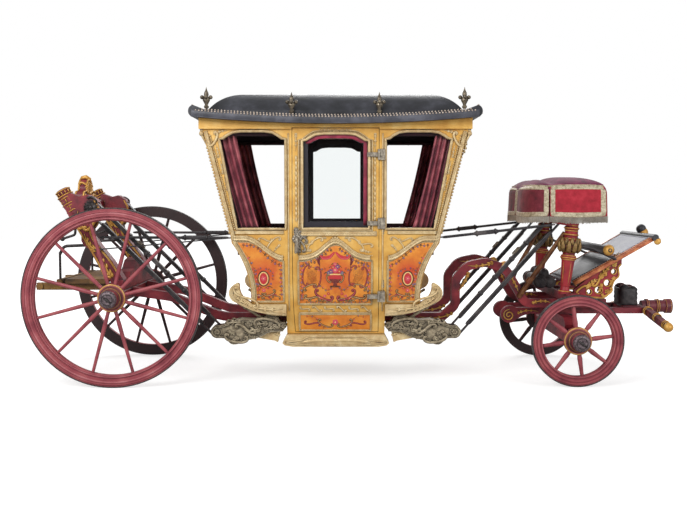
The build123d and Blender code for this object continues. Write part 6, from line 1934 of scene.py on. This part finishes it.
def carve_crest(gilt):
    """Scrolls, a shell and a beaded outline on the crest's faces, and a curled leaf over its top."""
    low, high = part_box("rear_crest")
    for x, out in ((low.x, -1), (low.x + 0.082, 1)):
        place = lambda u, v, lift: Vector((x + out * lift, u, v))
        top = high.z
        shell(gilt, (0.0, top - 0.150), 0.130, 0.014, place, 150, 9)
        for flip in (-1, 1):
            volute(gilt, (flip * 0.165, top - 0.165), (flip * 0.055, top - 0.175), 0.026, 0.015, place,
                   flip=flip > 0)
            leaf(gilt, (flip * 0.08, top - 0.185), (flip * 0.205, top - 0.155), 0.055, 0.011, place)
        # a bead round the crest's outline
        outline = [(0.0, 1.984), (0.034, 1.978), (0.064, 1.959), (0.085, 1.931), (0.089, 1.897),
                   (0.106, 1.869), (0.136, 1.856), (0.175, 1.857), (0.203, 1.842), (0.216, 1.808),
                   (0.205, 1.773)]
        outline = [(-y, z) for y, z in outline[:0:-1]] + outline
        gilt.tube([(x, y, z) for y, z in smooth(outline, 2)], 0.010, 6)
    # scrolls on the crest's two cheeks and a curled leaf over its top
    for side, _ in SIDES:
        place = flat_place(0.088, side)
        volute(gilt, (-2.822, 1.905), (-2.888, 1.935), 0.024, 0.014, place)
    gilt.tube([(-2.812, 0, 1.950), (-2.818, 0, 1.985), (-2.850, 0, 2.004), (-2.888, 0, 1.996),
               (-2.906, 0, 1.972), (-2.898, 0, 1.950), (-2.882, 0, 1.952)],
              [0.014, 0.022, 0.026, 0.024, 0.018, 0.013, 0.008], 12)


def build_rear_carving():
    gilt = Form()
    for side, _ in SIDES:
        carve_rear_column(gilt, side)
        ring_rear_head(gilt, side)
    build_ratchets()
    carve_crest(gilt)
    gilt.piece("rear_column_carving", "coach", GOLD, GILT)


def carve_post(gilt, leaves, side):
    """Gilt rings and reeds on a driver's post, and bronzed leaves round its bulb."""
    lean = radians(5.5)
    axis = Vector((sin(lean), 0, cos(lean)))
    low_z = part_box("front_standards")[0].z
    rise = 1.545 - low_z
    root = Vector((1.965, side * STRAP_Y, low_z))
    for h, r in ((0.035, 0.055), (0.49, 0.066), (0.515, 0.076), (0.545, 0.066), (0.60, 0.072),
                 (0.785, 0.064), (0.845, 0.070), (0.90, 0.062), (0.935, 0.070), (0.975, 0.062)):
        hoop(gilt, root + axis * (h * rise), axis, r, 0.0055, 6, 32)
    across = axis.cross(Vector((0, 1, 0))).normalized()
    # long reeds on the shaft and bronzed leaves round the bulb
    for k in range(10):
        a = 2 * pi * k / 10
        out = cos(a) * across + sin(a) * Vector((0, 1, 0))
        tall = [(0.13, 0.045), (0.25, 0.051), (0.36, 0.056), (0.46, 0.062)]
        if k % 2:
            gilt.tube([root + axis * (h * rise) + out * r for h, r in tall],
                      [0.001, 0.0035, 0.0035, 0.001], 5)
        for bulb, radii in (
                (((0.600, 0.072), (0.64, 0.090), (0.69, 0.095), (0.735, 0.098), (0.755, 0.106)),
                 (0.022, 0.028, 0.025, 0.016, 0.007)),
                (((0.700, 0.088), (0.74, 0.084), (0.775, 0.082), (0.80, 0.092)),
                 (0.022, 0.024, 0.018, 0.006))):
            turn = a if len(bulb) > 4 else a + pi / 10
            turned = cos(turn) * across + sin(turn) * Vector((0, 1, 0))
            leaves.tube([root + axis * (h * rise) + turned * r for h, r in bulb], radii, 6)


def carve_fork(gilt, side):
    """Mouldings, a leaf and a rosette on both faces of the fork that takes the strap."""
    for place in (flat_place(BRACKET_FACE, side), inner_place(BRACKET_BACK, side)):
        stroke(gilt, smooth([(1.835, 1.545), (1.822, 1.610), (1.845, 1.665), (1.900, 1.678)], 5), 0.016,
               0.010, place, CHANNEL)
        leaf(gilt, (2.060, 1.560), (1.930, 1.655), 0.060, 0.011, place, bend=0.15)
        stroke(gilt, circle(FRONT_LOOP, 0.036), 0.012, 0.009, place, closed=True)
        flower(gilt, FRONT_LOOP, 0.024, 0.011, place, 6)


def carve_footboard_bracket(gilt, side):
    """Scroll carving and rings round the holes, on both faces of a footboard bracket."""
    low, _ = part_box("footboard_brackets")
    front, base, reach = low.x, low.z + 0.005, 0.470
    at = lambda u, v: (front + u * reach, base + v * reach)
    for place in (flat_place(0.440, side), inner_place(0.390, side)):
        stroke(gilt, smooth([at(0.02, 0.02), at(0.40, 0.015), at(0.64, 0.012), at(0.76, 0.14),
                             at(0.84, 0.36), at(0.94, 0.47), at(0.925, 0.64), at(0.985, 0.72)], 4),
               0.016, 0.010, place, CHANNEL)
        for u, v, r in ((0.32, 0.13, 0.05), (0.52, 0.17, 0.07), (0.70, 0.32, 0.064), (0.83, 0.56, 0.05)):
            stroke(gilt, circle(at(u, v), 1.18 * r * reach), 0.010, 0.008, place, closed=True)
        volute(gilt, at(0.08, 0.08), at(0.28, 0.22), 0.024, 0.014, place, flip=True)
        volute(gilt, at(0.40, 0.28), at(0.66, 0.50), 0.026, 0.015, place, kind="S")
        volute(gilt, at(0.60, 0.07), at(0.78, 0.20), 0.022, 0.013, place)
        leaf(gilt, at(0.30, 0.24), at(0.52, 0.40), 0.070, 0.012, place)
        leaf(gilt, at(0.55, 0.42), at(0.78, 0.70), 0.080, 0.013, place, bend=0.1)
        leaf(gilt, at(0.84, 0.66), at(0.97, 0.96), 0.070, 0.012, place)
        leaf(gilt, at(0.58, 0.30), at(0.50, 0.10), 0.050, 0.010, place, bend=0.2)
        leaf(gilt, at(0.86, 0.44), at(0.76, 0.22), 0.050, 0.010, place, bend=-0.2)
        flower(gilt, at(0.70, 0.14), 0.024, 0.014, place, 5)


def build_front_carving():
    gilt = Form()
    leaves = Form()
    for side, _ in SIDES:
        carve_post(gilt, leaves, side)
        carve_fork(gilt, side)
        carve_footboard_bracket(gilt, side)
    gilt.piece("post_and_bracket_carving", "coach", GOLD, GILT)
    leaves.piece("post_bulb_leaves", "coach", DARK_GILT, GILT)


def build_perch_carving():
    """Gilt leaves and volutes on the crane necks and the perches' faces."""
    gilt = Form()
    for side, _ in SIDES:
        for place in (flat_place(0.370, side), inner_place(0.290, side)):
            leaf(gilt, (1.300, 1.150), (1.050, 1.120), 0.060, 0.011, place, bend=0.16)
            leaf(gilt, (1.060, 1.050), (0.955, 0.860), 0.055, 0.011, place, bend=0.12)
            leaf(gilt, (1.470, 1.020), (1.560, 0.850), 0.055, 0.011, place, bend=0.08)
            leaf(gilt, (0.900, 0.640), (0.560, 0.610), 0.055, 0.010, place)
            leaf(gilt, (1.700, 0.742), (1.900, 0.742), 0.050, 0.009, place)
        gilt.tube([(1.420, side * y, 1.118) for y in (0.282, 0.292, 0.330, 0.368, 0.378)],
                  [0.016, 0.034, 0.044, 0.034, 0.016], 16)
    gilt.piece("perch_carving", "coach", GOLD, GILT)


def build_fore_gilding():
    """Scrolls on the futchells' ends, and rings on the splinter bar and the pole socket."""
    fore = Form()
    for side, _ in SIDES:
        low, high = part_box("futchells")
        y = high.y
        place = flat_place(y, side)
        r = 0.076
        cx, cz = low.x + 1.05 * r, 0.680 - r
        ring = [(cx + r * 0.80 * (1 - 0.035 * k) * cos(0.45 * k + 1.4),
                 cz + r * 0.80 * (1 - 0.035 * k) * sin(0.45 * k + 1.4)) for k in range(26)]
        stroke(fore, ring, taper(26, 0.016, 0.4), 0.010, place)
        leaf(fore, (cx + 0.09, cz + 0.02), (cx + 0.30, cz + 0.035), 0.045, 0.009, place)
        # rings on the splinter bar
        for y, z, rr in ((0.300, 0.652, 0.050), (0.335, 0.648, 0.050), (0.560, 0.625, 0.044),
                         (0.590, 0.620, 0.044), (0.800, 0.585, 0.042), (0.826, 0.578, 0.042)):
            slope = -0.12 * side if y > 0.45 else 0
            hoop(fore, (2.880, side * y, z), (0, 1, slope), rr * 0.90, 0.0045, 6, 28)
        fore.tube([(2.880, side * y, 0.570) for y in (0.872, 0.890, 0.905, 0.913, 0.917)],
                  [0.047, 0.043, 0.032, 0.018, 0.004], 20)
    for x in (2.962, 2.978, 3.066, 3.086, 3.160, 3.206):
        hoop(fore, (x, 0, 0.668), (1, 0, 0), 0.0725, 0.0035, 6, 32)
    fore.piece("fore_carriage_gilding", "fore_carriage", GOLD, GILT)


def build_clamp_leather():
    """Leather wrapped round the clamp on the fore-carriage's head block, and lashed over it."""
    # two rolls of black leather lashed across the clamp
    rolls = Form()
    for x, r, low in ((2.712, 0.052, 0.846), (2.795, 0.044, 0.836)):
        rolls.tube([(x, y, low + 0.004 * sin(40 * y)) for y in
                    (-0.122, -0.116, -0.098, -0.05, 0.0, 0.05, 0.098, 0.116, 0.122)],
                   [r * s for s in (0.35, 0.78, 1.0, 0.97, 1.02, 0.96, 1.0, 0.78, 0.35)], 20)
    # a creased leather wrap round the clamp's block, drawn in above and below: heights and sizes
    bulges = ((0.692, 0.80), (0.682, 0.92), (0.690, 1.0), (0.712, 1.03), (0.735, 0.99), (0.760, 1.04),
              (0.785, 1.00), (0.808, 1.035), (0.828, 0.99), (0.848, 1.02), (0.862, 0.97), (0.868, 0.90),
              (0.858, 0.78))
    wrap = []
    for k, (z, size) in enumerate(bulges):
        row = []
        for i in range(48):
            angle = 2 * pi * i / 48
            c, s = cos(angle), sin(angle)
            reach = size * (1 + 0.012 * sin(7 * angle + 1.9 * k)) / (c ** 4 + s ** 4) ** 0.25
            row.append((CLAMP_X + 0.099 * reach * c, 0.129 * reach * s, z))
        wrap.append(row)
    rolls.grid(wrap, closed_rows=True)
    rolls.piece("clamp_leather", "fore_carriage", STRAP_LEATHER, "black_leather")
    lashing = Form()
    for y in (-0.075, -0.030, 0.035, 0.080):
        for x, r, low in ((2.712, 0.0535, 0.846), (2.795, 0.0455, 0.836)):
            hoop(lashing, (x, y, low + 0.004 * sin(40 * y)), (0, 1, 0), r, 0.006, 6, 24)
    lashing.piece("clamp_lashing", "fore_carriage", UMBER_RED, "black_leather")


def build_rolled_hide():
    """A spare hide in three rolls, tied down on the front transom between the posts."""
    hide = Form()
    for x, z, r, half in ((1.800, 0.950, 0.066, 0.30), (1.905, 0.942, 0.058, 0.27),
                          (1.850, 1.022, 0.050, 0.24)):
        inner = [-half + half * k / 9 for k in range(1, 18)]
        ys = [-half, -half - 0.004, -half] + inner + [half, half + 0.004, half]
        last = len(ys) - 1
        hide.tube([(x + 0.004 * sin(9 * y), y, z + 0.003 * sin(13 * y + x)) for y in ys],
                  [r * (0.10 if k in (0, last) else 0.93 if k in (1, last - 1) else 1 + 0.04 * sin(2.3 * k))
                   for k in range(len(ys))], 20)
        for end in (-1, 1):
            at = end * (half + 0.001)
            for share in (0.78, 0.55, 0.32):
                hoop(hide, (x + 0.004 * sin(9 * at), at, z + 0.003 * sin(13 * at + x)), (0, 1, 0), share * r,
                     0.0045, 6, 24)
    hide.piece("rolled_hide", "coach", STRAP_LEATHER, "black_leather")
    ties = Form()
    for y in (-0.17, 0.16):
        for x, z, r in ((1.800, 0.950, 0.070), (1.905, 0.942, 0.062), (1.850, 1.022, 0.054)):
            hoop(ties, (x, y, z), (0, 1, 0), r, 0.005, 6, 28, 2.4)
    ties.piece("hide_ties", "coach", UMBER_RED, "black_leather")


def build_footboard():
    """Leather on the footboard: black below, blue-grey above, in a gilt and red frame."""
    low, high = Vector((2.080, 0, 0.925)), Vector((2.880, 0, 1.385))
    line = high - low
    run = line.length
    up = Vector((-line.z, 0, line.x)) / run
    top = low + up * 0.035

    def place(u, v, lift):
        return top + line * u + up * lift + Vector((0, v, 0))

    for name, u0, u1, material in (("lower", 0.03, 0.545, ROOF_LEATHER), ("upper", 0.575, 0.955, GREY_HIDE)):
        form = Form()
        patch(form, 20, 14, lambda u, v, lift, inset: place(
            u0 + (u1 - u0) * u, (-0.455 + 0.91 * v), lift + 0.002 * sin(pi * u) * sin(pi * v)), 0.004)
        form.piece("footboard_hide_" + name, "coach", material, "black_leather")
    # the frame: a batten along each side in its own metres, wide enough to cover the board's edge
    frame_form = Form()
    lengthways = line / run
    metres = lambda u, v, lift: top + lengthways * u + up * lift + Vector((0, v, 0))
    for v in (-0.476, 0.476):
        stroke(frame_form, [(0.01 + (run - 0.05) * i / 10, v) for i in range(11)], 0.036, 0.010, metres)
    for side in (-1, 1):
        edge = lambda u, v, lift: low + lengthways * u + up * v + Vector((0, side * (0.500 + lift), 0))
        stroke(frame_form, [(0.01 + (run - 0.04) * i / 10, 0.0175) for i in range(11)], 0.038, 0.009, edge,
               CHANNEL)
    cross = lambda u, v, lift: top + line * 0.56 + lengthways * v + up * lift + Vector((0, u, 0))
    stroke(frame_form, [(-0.46 + 0.092 * i, 0.0) for i in range(11)], 0.022, 0.009, cross)
    frame_form.piece("footboard_frame", "coach", COPPER, GILT)
    knobs = Form()
    ends = [((2.400, side * 0.550, 1.282), side) for side in (-1, 1)]
    for (x, y, z), side in ends:
        knobs.tube([(x, y + side * d, z) for d in (-0.052, -0.046, -0.030, 0.0, 0.030, 0.046, 0.053)],
                   [0.020, 0.032, 0.047, 0.0555, 0.047, 0.030, 0.006], 24)
    tip = high - up * 0.021
    ball = (tip.x + 0.028, 0.0, tip.z + 0.068)
    knobs.tube([(ball[0], d, ball[2]) for d in (-0.053, -0.046, -0.030, 0.0, 0.030, 0.046, 0.053)],
               [0.004, 0.026, 0.044, 0.053, 0.044, 0.026, 0.004], 24)
    for side in (-1, 1):
        knobs.tube([(tip.x, side * y, tip.z) for y in (0.498, 0.506, 0.512, 0.516, 0.520)],
                   [0.034, 0.036, 0.034, 0.020, 0.004], 20)
    knobs.piece("rail_knobs", "coach", GOLD, "gilt_iron")
    lines = [[place(0.03 + 0.0925 * i, v, 0.006) for i in range(11)] for v in (-0.447, 0.447)]
    along("footboard_nails", lines, BEADS, "coach", NAIL, "gilt_iron", Radius=0.0050, Spacing=0.024, Seed=9)


def bar(form, start, end, y, half_wide, half_thick):
    """A flat strap between two points of the side view, with rounded ends."""
    dx, dz = end[0] - start[0], end[1] - start[1]
    run = hypot(dx, dz)
    tx, tz = dx / run, dz / run
    rows = []
    for s, share in ((0.0, 0.25), (0.012, 0.8), (0.03, 1.0), (run - 0.03, 1.0), (run - 0.012, 0.8),
                     (run, 0.25)):
        row = []
        for a, b in ((-1, 0.55), (-0.93, 1), (0.93, 1), (1, 0.55), (1, -0.55), (0.93, -1), (-0.93, -1),
                     (-1, -0.55)):
            off = b * half_thick * share
            row.append((start[0] + tx * s - tz * off, y + half_wide * a, start[1] + tz * s + tx * off))
        rows.append(row)
    form.grid(rows, closed_rows=True)
    start_at = len(form.points) - 48
    form.faces.append(tuple(range(start_at + 7, start_at - 1, -1)))
    form.faces.append(tuple(range(start_at + 40, start_at + 48)))


def build_harness():
    """Buckles, keepers and stitching on the suspension and check straps; the pale stitching paints highlights
    on the straps' edges.
    """
    stitches = []
    iron = Form()
    keepers = Form()
    plies = Form()
    runs = ((*EYE, *FRONT_LOOP), (2 * CABIN_X - EYE[0], EYE[1], *REAR_LOOP))
    for side, _ in SIDES:
        for x0, z0, x1, z1 in runs:
            dx, dz = x1 - x0, z1 - z0
            run = hypot(dx, dz)
            tx, tz = dx / run, dz / run
            nx, nz = -tz, tx
            for line_side in (-1, 1):
                reach = 0.0718 * line_side
                for y in (-0.021, 0.021):
                    line = [(x0 + nx * reach + dx * t, side * (STRAP_Y + y), z0 + nz * reach + dz * t)
                            for t in (0.11, 0.85)]
                    stitches.append(line)
            # extra plies inside the loop and thin ones outside it
            for line_side in (-1, 1):
                for reach, half, t0, t1 in ((0.0435, 0.0088, 0.085, 0.90), (0.0680, 0.0034, 0.10, 0.86)):
                    off = reach * line_side
                    bar(plies, (x0 + dx * t0 + nx * off, z0 + dz * t0 + nz * off),
                        (x0 + dx * t1 + nx * off, z0 + dz * t1 + nz * off), side * STRAP_Y, 0.027, half)
            # buckle frame and keepers on the upper run
            sign = 1 if nz > 0 else -1
            for t, kind in ((0.66, "buckle"), (0.60, "keeper"), (0.74, "keeper"), (0.30, "keeper"),
                            (0.44, "keeper")):
                cx = x0 + dx * t + nx * sign * 0.0540
                cz = z0 + dz * t + nz * sign * 0.0540
                half_y, half_t = (0.046, 0.040) if kind == "buckle" else (0.037, 0.014)
                points = []
                for a, b in ((-1, -1), (-1, 1), (1, 1), (1, -1)):
                    points.append(Vector((cx + tx * half_t * a + nx * sign * 0.022,
                                          side * STRAP_Y + half_y * b,
                                          cz + tz * half_t * a + nz * sign * 0.022)))
                if kind == "buckle":
                    path = [points[i].lerp(points[(i + 1) % 4], f) for i in range(4)
                            for f in (0.06, 0.5, 0.94)]
                    iron.tube(path, 0.0075, 6, closed=True)
                    iron.tube([(points[0] + points[3]) / 2, (points[1] + points[2]) / 2], 0.0060, 6)
                    iron.tube([(points[0] + points[1]) / 2 * 0.5 + (points[2] + points[3]) / 4,
                               (points[2] + points[3]) / 2], 0.0035, 6)
                else:
                    ring = []
                    for a, b in ((-1, -1), (-1, 1), (1, 1), (1, -1)):
                        ring.append(Vector((cx + nx * sign * 0.0215 * a, side * STRAP_Y + half_y * b,
                                            cz + nz * sign * 0.0215 * a)))
                    path = [ring[i].lerp(ring[(i + 1) % 4], f) for i in range(4) for f in (0.08, 0.5, 0.92)]
                    wide = Vector((tx, 0, tz)) * half_t
                    swollen = [p + (p - Vector((cx, side * STRAP_Y, cz))) * 0.06 for p in path]
                    rows = [[p - wide for p in path], [p - wide * 0.9 for p in swollen],
                            [p + wide * 0.9 for p in swollen], [p + wide for p in path]]
                    keepers.grid(rows, closed_rows=True)
        # the check straps: more plies of leather, with a sewn billet and two keepers each
        for x0, z0, x1, z1, at in ((CABIN_X + 0.99, 1.408, 1.842, 1.535, 0.30),
                                   (CABIN_X - 0.99, 1.408, -2.570, 1.412, 0.16)):
            dx, dz = x1 - x0, z1 - z0
            bar(plies, (x0 + dx * 0.03, z0 + dz * 0.03), (x0 + dx * 0.97, z0 + dz * 0.97), side * CHECK_Y,
                0.016, 0.0125)
            bar(plies, (x0 + dx * at, z0 + dz * at), (x0 + dx * (at + 0.22), z0 + dz * (at + 0.22)),
                side * CHECK_Y, 0.019, 0.0205)
            for t in (at + 0.03, at + 0.19):
                hoop(keepers, (x0 + dx * t, side * CHECK_Y, z0 + dz * t), (dx, 0, dz), 0.024, 0.0060, 8, 20,
                     1.6)
    plies.piece("strap_plies", "coach", STRAP_LEATHER, "black_leather")
    iron.piece("strap_buckles", "coach", BRONZE, "gilt_iron")
    keepers.piece("strap_keepers", "coach", STRAP_LEATHER, "black_leather")
    # painted highlight: rows of pale stitches along the straps' edges
    along("strap_stitches_and_highlights", stitches, BEADS, "coach", STITCH_AND_HIGHLIGHT, "black_leather",
          Radius=0.0022, Spacing=0.011, Seed=12, Sides=4, Rings=3)


def build_door_metal():
    """Escutcheon, rosette and scrolled grip on each door's handle."""
    for side, name in SIDES:
        form = Form()
        hx = -DOOR_HALF + 0.042
        place = side_place(side, 0.008)
        z = 1.400
        flower(form, (hx, z), 0.046, 0.018, place, 8)
        leaf(form, (hx, z - 0.035), (hx + 0.010, z - 0.155), 0.070, 0.014, place)
        leaf(form, (hx, z + 0.035), (hx - 0.006, z + 0.120), 0.064, 0.014, place)
        volute(form, (hx + 0.030, z + 0.070), (hx + 0.085, z - 0.030), 0.022, 0.014, place, kind="S")
        volute(form, (hx + 0.018, z - 0.030), (hx + 0.060, z - 0.115), 0.020, 0.014, place, flip=True)
        leaf(form, (hx + 0.020, z), (hx + 0.105, z + 0.020), 0.050, 0.012, place, bend=0.2)
        y = side * (CABIN_Y + 0.048)
        x = CABIN_X + hx
        form.tube([(x, y, z + 0.020), (x, y, z - 0.02), (x + 0.006, y, z - 0.07), (x, y, z - 0.115),
                   (x - 0.012, y, z - 0.130), (x - 0.018, y, z - 0.118)],
                  [0.020, 0.017, 0.015, 0.014, 0.011, 0.007], 10)
        form.piece("door_handle_carving_" + name, "door_" + name, SILVER_GILT, "gilt_iron")


# Stage and camera

def build_camera():
    data = bpy.data.cameras.new("camera")
    data.sensor_width = SENSOR_MM
    data.lens = FOCAL_PX / PHOTO_W * SENSOR_MM
    data.clip_end = 200
    camera = bpy.data.objects.new("camera", data)
    camera.location = CAMERA_AT
    camera.rotation_euler = (radians(90 - CAMERA_DIP), 0, 0)
    bpy.context.scene.collection.objects.link(camera)
    bpy.context.scene.camera = camera


def build_stage():
    bpy.ops.mesh.primitive_plane_add(size=60, location=(0, 0, 0))
    floor = bpy.context.object
    floor.name = "studio_floor"
    material, tree, place = new_material("studio_floor")
    matt = add(tree, "ShaderNodeBsdfDiffuse", {"Color": (0.5, 0.5, 0.5, 1)})
    reach = add(tree, "ShaderNodeVectorMath", {0: place}, operation="LENGTH").outputs["Value"]
    power = add(tree, "ShaderNodeMapRange", {0: reach, 1: 3.2, 2: 6.5, 3: 0.66, 4: 1.0})
    glow = add(tree, "ShaderNodeEmission", {"Color": (1, 1, 1, 1), "Strength": power})
    both = add(tree, "ShaderNodeAddShader", {0: matt, 1: glow})
    mixed = add(tree, "ShaderNodeMixShader", {0: seen_direct(tree), 1: matt, 2: both})
    add(tree, "ShaderNodeOutputMaterial", {"Surface": mixed})
    floor.data.materials.append(material)
    floor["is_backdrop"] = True

    world = bpy.data.worlds.new("studio")
    bpy.context.scene.world = world
    world.use_nodes = True
    tree = world.node_tree
    tree.nodes.clear()
    fill = add(tree, "ShaderNodeBackground", {"Color": (1, 1, 1, 1), "Strength": 0.55})
    white = add(tree, "ShaderNodeBackground", {"Color": (1, 1, 1, 1), "Strength": 1.0})
    mixed = add(tree, "ShaderNodeMixShader", {0: seen_direct(tree), 1: fill, 2: white})
    add(tree, "ShaderNodeOutputWorld", {"Surface": mixed})


def build_lights():
    """A large key from the left front, a fill from the right and a soft top light behind."""
    table = (
        # name, place, watts, size
        ("key", (-4.5, -7.5, 6.0), 520, 4.0),
        ("fill", (6.5, -6.0, 3.0), 200, 4.0),
        ("back", (1.0, 7.5, 6.5), 420, 5.0),
    )
    for name, place, watts, size in table:
        data = bpy.data.lights.new(name, "AREA")
        data.energy = watts
        data.size = size
        lamp = bpy.data.objects.new(name, data)
        lamp.location = place
        aim = Vector((0, 0, 1.1)) - Vector(place)
        lamp.rotation_euler = aim.to_track_quat("-Z", "Y").to_euler()
        bpy.context.scene.collection.objects.link(lamp)


build_camera()
build_stage()
build_lights()
bpy.context.scene.view_settings.view_transform = "Standard"
dress_nodes()
build_side_fields()
build_side_frames()
build_lining()
build_end_walls()
build_paintings()
build_roof()
build_hammercloth()
build_driver_cushion()
build_curtains()
build_window_silk()
build_cushions()
build_wheels()
build_brackets()
build_sill_carving()
build_rear_carving()
build_front_carving()
build_perch_carving()
build_fore_gilding()
build_clamp_leather()
build_rolled_hide()
build_footboard()
build_harness()
build_door_metal()

dressed_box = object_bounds()
({"cad": [list(map(float, corner)) for corner in cad_box],
           "visual": [list(map(float, corner)) for corner in dressed_box]})
